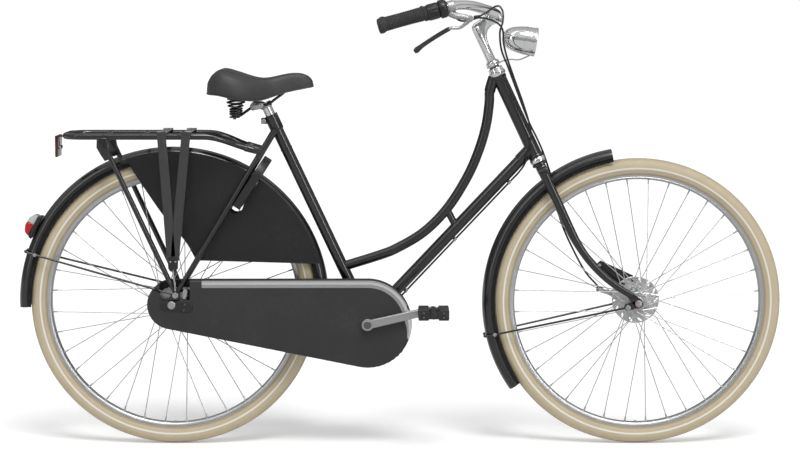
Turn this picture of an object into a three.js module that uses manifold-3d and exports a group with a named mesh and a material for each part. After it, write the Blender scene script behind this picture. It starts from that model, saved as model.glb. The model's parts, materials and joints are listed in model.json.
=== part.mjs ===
// A Dutch city bicycle with a curved top tube, closed chain case, sprung saddle and tube carrier.
// Lengths in millimetres, angles in degrees. +X is forwards, +Z up, and the rider's right side is -Y.
import * as THREE from "three";
import { mergeVertices } from "three/addons/utils/BufferGeometryUtils.js";
import Module from "manifold-3d";

const wasm = await Module();
wasm.setup();

// Layout of the bicycle
const rearAxleX = -562.5;
const tyreRadius = 357.5;
const wheelGap = 438; // between the two tyres
const wheelbase = wheelGap + 2 * tyreRadius;
const headAngle = 64.8;
const headReach = 112; // ahead of the front tyre's rear edge
const headDrop = 12; // under the top of the tyre
const bracketClearance = 125; // ahead of the rear tyre
const bracketDrop = 47.5; // under the axles
const seatSetback = 241;
const seatRise = 512;
const lowerHeadX = rearAxleX + wheelbase - tyreRadius + headReach;
const lowerHeadZ = 2 * tyreRadius - headDrop;
const bottomBracketX = rearAxleX + tyreRadius + bracketClearance;
const bottomBracketZ = tyreRadius - bracketDrop;
const seatTopX = bottomBracketX - seatSetback;
const seatTopZ = bottomBracketZ + seatRise;
const gap = 0.3; // between pieces that touch
const overrun = 4; // how far a cut runs past what it cuts
const room = 1; // round a piece that moves, or over a seam that another piece covers
const fullTurn = 360;
const weldTolerance = 0.001;

// Counts of facets
const wheelSteps = 36;
const tubeSides = 12;
const rodSides = 8;
const wireSides = 6;
const turnedSides = 16;
const barSteps = 11;
const topTubeSteps = 17;
const bladeSteps = 10;
const bladeSides = 8;
const barSides = 10;
const loopSteps = 12;
const lampShares = [[0, 0], [0.4, 0.05], [0.66, 0.17], [0.84, 0.36], [0.95, 0.62], [1, 0.9], [1, 1]];

// Wheels
const tyreWidth = 40;
const tyreDepth = 38.5;
const tyreSeatRadius = tyreRadius - tyreDepth;
const treadWidth = 10;
const rimDepth = 14;
const rimInnerRadius = tyreSeatRadius - rimDepth;
const rimWidth = 25;
const rimWellWidth = 12;
const rimWallHeight = 10;
const spokeCount = 36;
const spokeCrossAngle = 60;
const spokeRadius = 1.1;
const spokeHeadOffset = 2.4;
const spokeFootDepth = 4;
const frontHubBodyRadius = 15;
const frontFlangeRadius = 27;
const frontFlangeRightY = -33;
const frontFlangeLeftY = 12;
const frontHubRightY = -40;
const frontHubLeftY = 18;
const rearHubBodyRadius = 24;
const rearFlangeRadius = 36;
const rearFlangeRightY = -27;
const rearFlangeLeftY = 30;
const rearHubRightY = -34;
const rearHubLeftY = 42;
const flangeThickness = 7.8;
const axleRadius = 5;
const axleNutRadius = 9;
const axleNutLength = 7;
const valveRadius = 3;
const valveLength = 26;
const valveAngle = -90;

// Frame tubes
const headTubeRadius = 17;
const headTubeBore = 13.4;
const headTubeBottom = 14;
const headTubeTop = 240;
const headCupRadius = 20.5;
const headCupHeight = 11;
const headConeRadius = 18;
const headConeHeight = 9;
const downTubeRadius = 14.3;
const downTubeHeadOffset = 42;
const topTubeRadius = 12.3;
const topTubeShares = [
  [0.954, 0.996], [0.924, 0.923], [0.92, 0.859], [0.896, 0.745], [0.841, 0.617], [0.752, 0.48], [0.605, 0.323],
  [0.428, 0.201], [0.226, 0.118], [0.092, 0.081],
];
const topTubeEnd = [[-50.03, 138.01], [-65.4, 133.18]]; // from the bottom bracket, inside the seat tube at last
const topTubeFrontReach = 98; // behind the lower end of the head tube
const topTubeFrontRise = 214;
const topTubeRearRise = 124;
const topTubeFrontX = lowerHeadX - topTubeFrontReach;
const topTubeFrontZ = lowerHeadZ + topTubeFrontRise;
const topTubeRearX = bottomBracketX;
const topTubeRearZ = bottomBracketZ + topTubeRearRise;
const braceRadius = 9;
const braceTopShares = [0.6177, 0.2961];
const braceFootShare = 0.5405; // of the down tube, from the bottom bracket
const seatTubeRadius = 14.3;
const seatTubeBoreDepth = 330;
const seatLugRadius = 17;
const seatLugHeight = 42;
const seatBoltHeadRadius = 6;
const seatBoltDrop = 16;
const seatEarReach = 12;
const shellRadius = 20.5;
const shellHalfWidth = 34;
const shellBore = 15;
const chainStayRadius = 8.5;
const chainStayTipRadius = 6.5;
const chainStayShellY = 27;
const chainStayMidShare = 0.45;
const chainStayMidY = 45;
const seatStayRadius = 8;
const seatStayTipRadius = 6;
const seatStayAhead = 12; // of the seat tube's top
const seatStayDrop = 36;
const seatStayTopX = seatTopX + seatStayAhead;
const seatStayTopZ = seatTopZ - seatStayDrop;
const seatStayTopY = 19;
const seatStayMidX = -366;
const seatStayMidZ = 692;
const seatStayMidY = 38.5;
const dropoutInnerY = 64;
const dropoutThickness = 6;
const dropoutRadius = 15;
const eyeX = 10;
const eyeZ = 25;
const eyeBoltRadius = 4;
const eyeBoltHeadRadius = 8;
const eyeBoltHeadLength = 6;
const eyeBoltEndY = 91;
const eyeRadius = 9;

// Fork, in the steering frame: X across the axis to the front, Z up along it from the lower headset
const steererRadius = 12.7;
const steererBore = 11.6;
const steererBoreDepth = 105;
const lockNutBottom = 269;
const lockNutTop = 277;
const lockNutRadius = 17;
const crownTop = -6;
const crownShoulder = -14;
const crownBottom = -30;
const crownHalfWidth = 47;
const crownNeckHalfWidth = 19;
const crownLength = 26;
const crownRaceTop = 1.5;
const bladeTopLength = 22;
const bladeTopWidth = 17;
const bladeTipRadius = 7.5;
const bladeTopY = 37.5;
const bladeTipY = 55;
const bladeStraight = 190;
const bladeEnd = 392;
const bladeBend = 331.6;
const frontDropoutInnerY = 50;
const frontDropoutThickness = 5;
const frontDropoutRadius = 12;
const frontEyeX = -27;
const frontEyeZ = -9;

// Stem and handlebar
const quillRadius = 11.1;
const quillBottom = 185;
const stemRise = 97.6;
const clampReach = 44.8;
const clampHeight = lockNutTop + stemRise;
const clampLift = 22.6;
const quillTop = clampHeight - clampLift;
const clampRadius = 17;
const clampHalfWidth = 22;
const clampBoltReach = 4;
const stemNeckRadius = 15;
const barRadius = 11.1;
const barSweep = 254.3;
const barHalfWidth = 284;
const barRise = 100.9;
const barShares = [
  [0.015, 0.211, 0.037], [0.039, 0.387, 0.14], [0.034, 0.563, 0.277], [-0.034, 0.722, 0.423],
  [-0.139, 0.838, 0.559], [-0.248, 0.91, 0.649], [-0.318, 0.9487, 0.7025], [-0.349, 0.951, 0.716],
  [-0.674, 0.9755, 0.858], [-1, 1, 1],
];
const gripLength = 114;
const gripRadius = 15.5;
const gripEndRadius = 18.5;
const gripEndLength = 9;
const shifterLength = 30;
const shifterRadius = 19;
const shifterHousingLength = 19;
const shifterHousingRadius = 20.5;

// Brake lever, in the steering frame
const leverPivotX = -10;
const leverPivotY = -258;
const leverPivotRise = 26.4;
const leverPivotZ = clampHeight + leverPivotRise;
const leverShares = [
  [0, 0, 0], [-0.196, -0.006, -0.6], [-0.355, -0.012, -0.05], [-0.6, -0.02, -0.25], [-0.85, -0.03, -0.62],
  [-1, -0.04, -1],
];
const leverReach = 152;
const leverDrop = 15;
const leverRadius = 5.2;
const leverTipRadius = 7;
const leverBossRadius = 8;
const leverBossHalfWidth = 5;
const leverPinRadius = 3;
const mountEarThickness = 3;
const mountCollarRadius = 15;
const mountCollarHalfLength = 9;

// Head lamp
const lampRadius = 35.5;
const lampLength = 85;
const lampWall = 2;
const lampAim = 9;
const lampFrontX = 119.5;
const lampFrontZ = 273.4;
const lampLensRadius = 32;
const lampLensThickness = 4;
const lampLensDepth = 3;
const bracketThickness = 3;
const bracketRodRadius = 4.5;
const bracketBottom = 265.2;
const bracketRingRadius = 18;

// Front roller brake
const discRadius = 59;
const discInnerY = 22.5;
const discThickness = 5;
const discBossRadius = 26;
const discBossOuterY = 46;
const discSlots = 14;
const discSlotInnerRadius = 38;
const discSlotOuterRadius = 52;
const discSlotWidth = 6;
const discBossTopRadius = 23;
const reactionArmThickness = 4;
const reactionArmY = 32.5;
const reactionArmOutline = [[-22, -6], [12, 20], [-5, 60], [-88, 98], [-102, 84]];
const camDepth = 7;
const camRadius = 10;
const camTipRadius = 5;
const brakeLeverX = -88;
const brakeLeverZ = 22;

// Fenders
const fenderClearance = 28.5;
const fenderRadius = tyreRadius + fenderClearance;
const fenderHalfWidth = 27.5;
const fenderDepth = 20;
const fenderWall = 1.6;
const fenderSteps = 20;
const frontFenderStart = 100;
const frontFenderEnd = 215;
const rearFenderStart = -5;
const rearFenderEnd = 182;
const stayRadius = 2.6;
const frontStayAngle = 192.8;
const rearStayAngle = 161;

// Skirt guards
const guardThickness = 1.5;
const guardInset = 10;
const guardOuterRadius = fenderRadius - guardInset;
const guardStart = 15;
const guardEnd = 108;
const guardShares = [[-0.078, 0.603], [0.081, 0.409], [0.153, 0.288], [0.186, 0.281]];
const guardNotchRadius = 268;
const guardSlotReach = 44;
const guardSlotWidth = 21;
const guardNotchWidth = 46;

// Ring lock, across the wheel in front of the seat stays
const lockAngle = 56.9;
const lockBoltInset = 12.5;
const lockBoltCentre = tyreRadius - lockBoltInset;
const lockBoltBend = 46;
const lockBoltRadius = 4.5;
const lockChannelRadius = 5.3;
const lockArchRise = 13;
const lockArchCentre = lockBoltCentre + lockArchRise;
const lockArchRadius = 55;
const lockMouthRadius = 36.5;
const lockFootDrop = 50;
const lockThickness = 15;
const lockBoltTip = -50;
const lockBoltTail = 62;
const lockTravel = 90;
const lockEndRoom = 4;
const lockKnobReach = 17;
const lockKnobWidth = 7;
const lockKnobInset = 6;

// Chain case and drive
const caseFrontRadius = 109;
const caseRearRadius = 61;
const caseOuterY = -80;
const caseSplitY = -56.5;
const caseInnerY = -36.5;
const caseWall = 1.6;
const caseSpindleHole = 22;
const caseHubHole = 33;
const notchFrontX = 45;
const notchRearX = 30;
const notchBottomZ = 10;
const trimWidth = 18;
const trimThickness = 1;
const trimRearX = -488;
const trimEndAngle = -20;
const trimTopAngle = 90;
const trimSteps = 10;
const chainPitch = 12.7;
const ringTeeth = 38;
const sprocketTeeth = 19;
const toothHeight = 4;
const toothDepth = 3.9;
const sprocketThickness = 2.8;
const chainLineY = -47.5;
const chainPlateHeight = 8;
const chainHalfWidth = 4.6;
const chainSlotHalfWidth = 1.9;
const chainBackThickness = 0.8;
const ringBoreRadius = 15.2;
const ringWindows = 5;
const windowInnerCentre = 44;
const windowInnerRadius = 14;
const windowOuterCentre = 54;
const windowOuterRadius = 15;
const sprocketBoreRadius = 11;
const driverRadius = 20;
const coasterBossLength = 8;
const coasterArmLength = 120;
const coasterArmDrop = 8;
const coasterArmRadius = 12;
const coasterArmTipRadius = 7;
const coasterArmThickness = 4;

// Cranks and pedals
const crankLength = 166;
const crankAngle = 12.9;
const crankInnerY = 84;
const crankThickness = 13;
const crankTipRadius = 11;
const crankHubRadius = 14.8;
const spindleRadius = 8;
const pedalAxleRadius = 6;
const pedalLength = 92;
const pedalWidth = 74;
const pedalHeight = 27;
const pedalCoreRadius = 10;
const pedalBlockShare = 0.34;
const pedalEndThickness = 5;
const pedalClearance = 4;

// Saddle and seat post
const seatPostRadius = 12.7;
const seatPostInsert = 190;
const seatPostTopZ = 847;
const clampBlockLength = 34;
const clampBlockHalfWidth = 27;
const clampBlockHeight = 22;
const clampBlockX = -352;
const clampBlockZ = 845;
const clampSleeveBottom = 8;
const clampSleeveTop = 34;
const clampSleeveWall = 4;
const clampBoltLength = 5;
const railRoomLength = 60;
const railRoomRise = 15;
const railHeelLength = 22;
const railFlatLength = 12;
const railRise = 3;
const railRadius = 3.5;
const railY = 20;
const saddleNoseX = -215.6;
const saddleTailX = -479.5;
const saddleTopZ = 938;
const saddleHeight = 84;
const saddleHalfWidth = 106;
// station, half width, crown height, skirt height, crown rounding, each a share of the saddle's sizes
const saddleShares = [
  [0, 0.28, 0.4, 0.16], [0.045, 0.62, 0.78, 0.06], [0.13, 0.9, 0.99, 0.02], [0.22, 1, 1, 0.04],
  [0.34, 0.93, 0.88, 0.02], [0.46, 0.66, 0.76, 0], [0.58, 0.4, 0.72, 0.05], [0.7, 0.27, 0.76, 0.13],
  [0.82, 0.235, 0.84, 0.2], [0.93, 0.2, 0.8, 0.28], [1, 0.08, 0.58, 0.38],
];
const saddlePivotX = -292;
const saddlePivotZ = 867.2;
const springX = -406;
const springY = 52;
const springBottomZ = 819;
const springTopZ = 855.5;
const springTopRadius = 18;
const springBottomRadius = 11;
const springWire = 2.2;
const springTurns = 4;
const springSteps = 8;
const springSides = 5;

// Carrier
const carrierZ = 773;
const carrierRearX = -834;
const carrierBendX = -467;
const carrierFrontX = -362;
const carrierFrontZ = 738;
const carrierHalfWidth = 80;
const carrierFrontHalfWidth = 44;
const carrierTubeRadius = 8;
const carrierCorner = 45;
const carrierBarRadius = 4;
const carrierBarRise = 2;
const carrierNoseLength = 22;
const carrierNoseRise = 7;
const carrierBendLength = 30;
const carrierBarShares = [0.3, 0.55, 0.8];
const legTopX = -721;
const legRadius = 6.5;
const legEyeY = 75.5;
const legEyeThickness = 5;
const stayEyeY = 82;
const stayEyeThickness = 5.4;
const strapWidth = 22;
const strapThickness = 2.5;
const strapFrontX = -523;
const strapRearX = -582;
const strapPlateX = -557;
const strapPlateZ = 457;
const strapY = 91;
const reflectorWidth = 70;
const reflectorHeight = 54;
const reflectorThickness = 9;
const reflectorTopZ = 773;

// Tail lamp
const tailAngle = 151.5;
const tailReach = 29;
const tailLength = 62;
const tailHalfWidth = 22;
const tailBaseReach = 10;

// Kickstand, folded back under the left chain stay
const standPivotX = -130;
const standPivotY = 52;
const standPivotZ = 277;
const standLegRadius = 7;
const standFootRadius = 9.5;
const standLegLength = 280;
const standFootLength = 30;
const standHubRadius = 12;
const standHubLength = 14;
const standPinRadius = 4.5;
const standFolded = [-0.99, 0.05, 0.03];
const standDown = [-0.3, 0.17, -0.939];
const standBracketRadius = 8;
const standBracketRise = 5;
const standHeadLength = 3;

// Cables. Their routes are points chosen by hand: the brake cable's in the steering frame, the gear cable's
// from the lower headset at first and from the rear axle at last.
const cableRadius = 2.4;
const frontCableRoute = [
  [8, -243, 411], [22, -236, 402], [45, -200, 392], [64, -165, 392], [70, -125, 381], [62, -75, 355], [47, -42, 335],
  [33, -30, 295], [30, -25, 250], [26, -22, 200], [20, -20, 110], [21, -10, 60], [21, 12, 22], [19, 34, -8],
  [14, 51, -50], [0, 54, -105], [-11, 53, -165], [-13, 49.5, -228], [-9, 47, -300], [3.5, 43, -345],
  [4.6, 42, -354],
];
const gearCableStart = [
  [-216, -249, 362], [-203, -236, 349], [-183, -224, 331], [-155, -190, 337], [-130, -150, 352],
  [-105, -112, 343], [-95, -88, 328], [-92, -68, 297], [-82, -54, 259], [-65, -43, 212], [-43, -38, 152],
  [-26, -36, 97], [-23, -34, 62], [-32, -25, 25], [-36, -14, -1], [-51, -4, -24],
];
const cableDrop = 19;
const cableShares = [0.83, 0.5, 0.2, 0.1];
const gearCableEnd = [
  [520.5, 22, -21.5], [500.5, 38, -22.5], [467.5, 45, -26.5], [432.5, 48, -23.5], [352.5, 52, -17.5],
  [265.5, 56, -9.5], [142.5, 66, -3.5], [62.5, 73, 2.5], [30.5, 80, 8.5], [12.5, 86, 4.5], [0, 82, 0],
];

// Colours of the finishes
const black = finish(0x131313, 0.22, 0.1);
const dull = finish(0x1b1b1c, 0.7, 0);
const cream = finish(0xc4b79a, 0.85, 0);
const silver = finish(0xb9bcc0, 0.35, 0.9);
const chrome = finish(0xd8dadd, 0.12, 1);
const red = finish(0xa01512, 0.2, 0);
const clear = finish(0xe8ecee, 0.08, 0);

function finish(color, roughness, metalness) {
  return new THREE.MeshStandardMaterial({ color, roughness, metalness });
}

const radians = THREE.MathUtils.degToRad;
const at = (x, y, z) => new THREE.Vector3(x, y, z);
const mix = THREE.MathUtils.lerp;

// A closed geometry as a solid, with its faces turned outwards.
function solidOf(geometry) {
  const loose = geometry.index ? geometry.toNonIndexed() : geometry.clone();
  const bare = new THREE.BufferGeometry().setAttribute("position", loose.getAttribute("position"));
  const merged = mergeVertices(bare, weldTolerance);
  const faces = [];
  for (let i = 0; i < merged.index.count; i += 3) {
    const [a, b, c] = [0, 1, 2].map((k) => merged.index.getX(i + k));
    if (a !== b && b !== c && a !== c) faces.push([a, b, c]);
  }
  const build = (list) =>
    new wasm.Manifold(
      new wasm.Mesh({
        numProp: 3,
        vertProperties: merged.attributes.position.array,
        triVerts: new Uint32Array(list.flat()),
      }),
    );
  const solid = build(faces);
  return solid.volume() < 0 ? build(faces.map(([a, b, c]) => [a, c, b])) : solid;
}

// A solid as a geometry with flat facets.
function geometryOf(solid) {
  const mesh = solid.getMesh();
  const indexed = new THREE.BufferGeometry();
  indexed.setAttribute("position", new THREE.BufferAttribute(new Float32Array(mesh.vertProperties), 3));
  indexed.setIndex(Array.from(mesh.triVerts));
  const flat = indexed.toNonIndexed();
  flat.computeVertexNormals();
  return flat;
}

// The corner radius of a faceted hole that a round bar of the radius passes through with the gap.
const boreFor = (radius, sides = turnedSides) => (radius + gap) / Math.cos(Math.PI / sides);

const join = (...solids) => solids.reduce((sum, next) => sum.add(next));
const cut = (solid, ...tools) => tools.reduce((left, tool) => left.subtract(tool), solid);

// A regular polygon that a circle of the radius just fits inside of, corner to corner.
function ringShape(radius, sides, flatness = 1) {
  const shape = new THREE.Shape();
  for (let i = 0; i < sides; i++) {
    const angle = ((i + 0.5) / sides) * 2 * Math.PI;
    const corner = [radius * Math.cos(angle), radius * flatness * Math.sin(angle)];
    if (i === 0) shape.moveTo(...corner);
    else shape.lineTo(...corner);
  }
  shape.closePath();
  return shape;
}

// A straight round bar between two points, with a radius at each end.
function rod(from, to, radius, endRadius = radius, sides = rodSides) {
  const along = to.clone().sub(from);
  const shape = new THREE.CylinderGeometry(endRadius, radius, along.length(), sides);
  const turn = new THREE.Quaternion().setFromUnitVectors(at(0, 1, 0), along.normalize());
  shape.applyQuaternion(turn);
  const middle = from.clone().add(to).multiplyScalar(0.5);
  shape.translate(middle.x, middle.y, middle.z);
  return solidOf(shape);
}

// A round bar along Y through a place in X and Z.
function pin(x, z, low, high, radius, sides = rodSides) {
  return rod(at(x, low, z), at(x, high, z), radius, radius, sides);
}

// A round bar of one radius that follows a smooth curve through points.
function pipe(points, radius, steps, sides = rodSides) {
  const extrudePath = new THREE.CatmullRomCurve3(points, false, "centripetal");
  const shape = ringShape(radius, sides);
  return solidOf(new THREE.ExtrudeGeometry(shape, { extrudePath, steps, bevelEnabled: false }));
}

// A round bar through points, bent only at them.
function bent(points, radius, sides = rodSides) {
  const leg = (i) => points[i + 1].clone().sub(points[i]).normalize();
  const last = points.length - 1;
  let side = leg(0).cross(at(0, 0, 1)).normalize();
  const rings = points.map((point, i) => {
    const along = leg(Math.max(0, i - 1)).add(leg(Math.min(last - 1, i))).normalize();
    side = side.clone().addScaledVector(along, -side.dot(along)).normalize();
    const other = along.clone().cross(side);
    return Array.from({ length: sides }, (_, k) => {
      const turn = ((k + 0.5) / sides) * 2 * Math.PI;
      const onSide = point.clone().addScaledVector(side, radius * Math.cos(turn));
      return onSide.addScaledVector(other, radius * Math.sin(turn));
    });
  });
  return loft(rings);
}

// A skin over rings of points, closed at both ends, or round on itself.
function loft(rings, closed = false) {
  const size = rings[0].length;
  const positions = [];
  const face = (a, b, c) => positions.push(...a.toArray(), ...b.toArray(), ...c.toArray());
  const spans = closed ? rings.length : rings.length - 1;
  for (let i = 0; i < spans; i++) {
    const here = rings[i];
    const next = rings[(i + 1) % rings.length];
    for (let j = 0; j < size; j++) {
      const k = (j + 1) % size;
      face(here[j], here[k], next[k]);
      face(here[j], next[k], next[j]);
    }
  }
  if (!closed) {
    for (const [ring, flip] of [[rings[0], true], [rings[rings.length - 1], false]]) {
      for (const [a, b, c] of capFaces(ring)) {
        if (flip) face(ring[c], ring[b], ring[a]);
        else face(ring[a], ring[b], ring[c]);
      }
    }
  }
  const skin = new THREE.BufferGeometry();
  skin.setAttribute("position", new THREE.BufferAttribute(new Float32Array(positions), 3));
  return solidOf(skin);
}

// The triangles that close a flat ring of points.
function capFaces(ring) {
  const first = ring[1].clone().sub(ring[0]).normalize();
  const normal = at(0, 0, 0);
  ring.forEach((p, i) => {
    const q = ring[(i + 1) % ring.length];
    normal.add(p.clone().sub(ring[0]).cross(q.clone().sub(ring[0])));
  });
  const second = normal.normalize().clone().cross(first);
  const flat = ring.map((p) => {
    const from = p.clone().sub(ring[0]);
    return new THREE.Vector2(from.dot(first), from.dot(second));
  });
  return THREE.ShapeUtils.triangulateShape(flat, []);
}

// A profile of [radius, height] pairs turned about the Y axis. A flat facet looks straight down.
function turned(profile, sides = turnedSides, closed = true) {
  const points = profile.map(([r, y]) => new THREE.Vector2(r, y));
  if (closed) points.push(points[0].clone());
  return solidOf(new THREE.LatheGeometry(points, sides, Math.PI / sides));
}

// A turned piece stood on a point, with its Y axis along a direction.
function placed(solid, origin, direction = at(0, 1, 0)) {
  const turn = new THREE.Quaternion().setFromUnitVectors(at(0, 1, 0), direction.clone().normalize());
  const matrix = new THREE.Matrix4().compose(origin, turn, at(1, 1, 1));
  return solid.transform(Array.from(matrix.elements));
}

// An outline in X and Z as a plate between two heights of Y.
function plate(outline, lowY, highY, holes = []) {
  const shape = new THREE.Shape(outline.map(([x, z]) => new THREE.Vector2(x, z)));
  shape.holes = holes.map((hole) => new THREE.Path(hole.map(([x, z]) => new THREE.Vector2(x, z))));
  const solid = new THREE.ExtrudeGeometry(shape, { depth: highY - lowY, bevelEnabled: false });
  solid.rotateX(Math.PI / 2);
  solid.translate(0, highY, 0);
  return solidOf(solid);
}

const block = (x, y, z, sizeX, sizeY, sizeZ) =>
  solidOf(new THREE.BoxGeometry(sizeX, sizeY, sizeZ).translate(x, y, z));

const arc = (x, z, radius, from, to, steps) =>
  Array.from({ length: steps + 1 }, (_, i) => {
    const angle = radians(mix(from, to, i / steps));
    return [x + radius * Math.cos(angle), z + radius * Math.sin(angle)];
  });

// The outline round two circles, drawn as a belt lies round two pulleys.
function beltOutline(x1, z1, r1, x2, z2, r2, steps) {
  const along = Math.atan2(z2 - z1, x2 - x1);
  const lean = Math.acos((r1 - r2) / Math.hypot(x2 - x1, z2 - z1));
  const deg = THREE.MathUtils.radToDeg;
  const low = deg(along - lean);
  const high = deg(along + lean);
  return [...arc(x2, z2, r2, low, high, steps), ...arc(x1, z1, r1, high, low + fullTurn, steps)];
}

const group = new THREE.Group();
const steering = new THREE.Group();
const frontAxle = new THREE.Group();
const rearAxle = new THREE.Group();
steering.position.set(lowerHeadX, 0, lowerHeadZ);
steering.rotation.y = radians(headAngle - 90);
rearAxle.position.set(rearAxleX, 0, tyreRadius);
frontAxle.position.set(rearAxleX + wheelbase, 0, tyreRadius);
group.add(steering, frontAxle, rearAxle);

function add(parent, name, solid, material) {
  const mesh = new THREE.Mesh(geometryOf(solid), material);
  mesh.name = name;
  parent.add(mesh);
}

// Points along the steering axis, seen from the whole bicycle.
const headTilt = radians(headAngle);
const onHead = (x, y, z) =>
  at(
    lowerHeadX + x * Math.sin(headTilt) - z * Math.cos(headTilt),
    y,
    lowerHeadZ + x * Math.cos(headTilt) + z * Math.sin(headTilt),
  );
const headUp = onHead(0, 0, 1).sub(onHead(0, 0, 0));
const seatFoot = at(bottomBracketX, 0, bottomBracketZ);
const seatUp = at(seatTopX - bottomBracketX, 0, seatTopZ - bottomBracketZ).normalize();
const seatHead = at(seatTopX, 0, seatTopZ);
const up = at(0, 0, 1);
const across = at(0, 1, 0);

// The wheels: tyre, rim, and a hub with its spokes
const facetStretch = 1 / Math.cos(Math.PI / wheelSteps);

function tyre() {
  const middle = mix(tyreSeatRadius, tyreRadius, 0.48);
  const half = tyreWidth / 2;
  const seat = tyreSeatRadius + gap;
  const profile = [
    [seat, -rimWidth / 2], [middle, -half], [mix(seat, tyreRadius, 0.82), -half * 0.75],
    [tyreRadius, -treadWidth / 2], [tyreRadius, treadWidth / 2], [mix(seat, tyreRadius, 0.82), half * 0.75],
    [middle, half], [seat, rimWidth / 2],
  ];
  return turned(profile.map(([r, y]) => [r * facetStretch, y]), wheelSteps);
}

function rim() {
  const wall = rimInnerRadius + rimWallHeight * 0.4;
  const half = rimWidth / 2;
  const profile = [
    [rimInnerRadius, -rimWellWidth / 2], [wall, -half], [tyreSeatRadius, -half],
    [tyreSeatRadius, half], [wall, half], [rimInnerRadius, rimWellWidth / 2],
  ];
  const hoop = turned(profile.map(([r, y]) => [r * facetStretch, y]), wheelSteps);
  const angle = radians(valveAngle);
  const reach = (r) => at(r * Math.cos(angle), 0, r * Math.sin(angle));
  return join(hoop, rod(reach(rimInnerRadius + overrun), reach(rimInnerRadius - valveLength), valveRadius));
}

// Each spoke leans a fixed angle round the hub, and pulls from alternate flanges and both ways.
function spokes(rightY, leftY, flangeRadius) {
  const holeRadius = flangeRadius - spokeFootDepth;
  const made = [];
  for (let i = 0; i < spokeCount; i++) {
    const rimAngle = radians(((i + 0.5) * fullTurn) / spokeCount);
    const pull = Math.floor(i / 2) % 2 ? 1 : -1;
    const hubAngle = rimAngle + pull * radians(spokeCrossAngle);
    const y = (i % 2 ? leftY : rightY) + pull * spokeHeadOffset;
    const foot = at(holeRadius * Math.cos(hubAngle), y, holeRadius * Math.sin(hubAngle));
    const end = rimInnerRadius * facetStretch - gap - spokeRadius * 0.2;
    const rimY = (i % 2 ? 1 : -1) * rimWellWidth * 0.2;
    const tip = at(end * Math.cos(rimAngle), rimY, end * Math.sin(rimAngle));
    made.push(rod(foot, tip, spokeRadius, spokeRadius, 3));
  }
  return join(...made);
}

function hub(right, left, bodyRadius, flangeRadius, flangeRight, flangeLeft) {
  const bore = axleRadius + gap;
  const half = flangeThickness / 2;
  const profile = [
    [bore, right], [bodyRadius * 0.8, right], [bodyRadius, flangeRight - half - weldTolerance],
    [flangeRadius, flangeRight - half], [flangeRadius, flangeRight + half], [bodyRadius, flangeRight + half],
    [bodyRadius, flangeLeft - half], [flangeRadius, flangeLeft - half], [flangeRadius, flangeLeft + half],
    [bodyRadius, flangeLeft + half], [bodyRadius * 0.8, left], [bore, left],
  ];
  return join(turned(profile, tubeSides), spokes(flangeRight, flangeLeft, flangeRadius));
}

add(frontAxle, "front_tyre", tyre(), cream);
add(frontAxle, "front_rim", rim(), silver);
add(
  frontAxle,
  "front_hub",
  hub(frontHubRightY, frontHubLeftY, frontHubBodyRadius, frontFlangeRadius, frontFlangeRightY, frontFlangeLeftY),
  silver,
);
add(rearAxle, "rear_tyre", tyre(), cream);
add(rearAxle, "rear_rim", rim(), silver);
add(
  rearAxle,
  "rear_hub",
  hub(rearHubRightY, rearHubLeftY, rearHubBodyRadius, rearFlangeRadius, rearFlangeRightY, rearFlangeLeftY),
  silver,
);

// An axle with a hexagon nut outside each dropout
function axle(innerY, thickness) {
  const nutStart = innerY + thickness + gap;
  const nutEnd = nutStart + axleNutLength;
  const shaft = rod(at(0, -nutEnd, 0), at(0, nutEnd, 0), axleRadius);
  const nuts = [-1, 1].map((side) =>
    rod(at(0, side * nutStart, 0), at(0, side * nutEnd, 0), axleNutRadius, axleNutRadius, 6),
  );
  return join(shaft, ...nuts);
}

// Head tube with its pressed headset cups
function headTube() {
  const cupTop = headTubeTop + headCupHeight;
  const profile = [
    [headTubeBore, headTubeBottom - headCupHeight], [headCupRadius, headTubeBottom - headCupHeight],
    [headCupRadius, headTubeBottom], [headTubeRadius, headTubeBottom + weldTolerance], [headTubeRadius, headTubeTop],
    [headCupRadius, headTubeTop], [headCupRadius, cupTop], [headConeRadius, cupTop + weldTolerance],
    [headConeRadius, cupTop + headConeHeight], [headTubeBore, cupTop + headConeHeight],
  ];
  return placed(turned(profile), onHead(0, 0, 0), headUp);
}
function headClear() {
  const span = (low, high, radius) =>
    rod(onHead(0, 0, low), onHead(0, 0, high), boreFor(radius), boreFor(radius), turnedSides);
  return join(
    span(headTubeBottom, headTubeTop, headTubeRadius),
    span(headTubeBottom - headCupHeight - gap, headTubeBottom + gap, headCupRadius),
    span(headTubeTop - gap, headTubeTop + headCupHeight + overrun * 2, headCupRadius),
  );
}
add(group, "head_tube", headTube(), black);

// Bottom bracket shell, bored for the crank spindle
function bottomShell() {
  const bore = boreFor(spindleRadius, tubeSides);
  const profile = [
    [bore, -shellHalfWidth], [shellRadius, -shellHalfWidth], [shellRadius, shellHalfWidth], [bore, shellHalfWidth],
  ];
  return placed(turned(profile, tubeSides), seatFoot);
}
function shellClear() {
  const radius = boreFor(shellRadius);
  const end = (side) => at(bottomBracketX, side * (shellHalfWidth + overrun), bottomBracketZ);
  return rod(end(-1), end(1), radius, radius, turnedSides);
}

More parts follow.
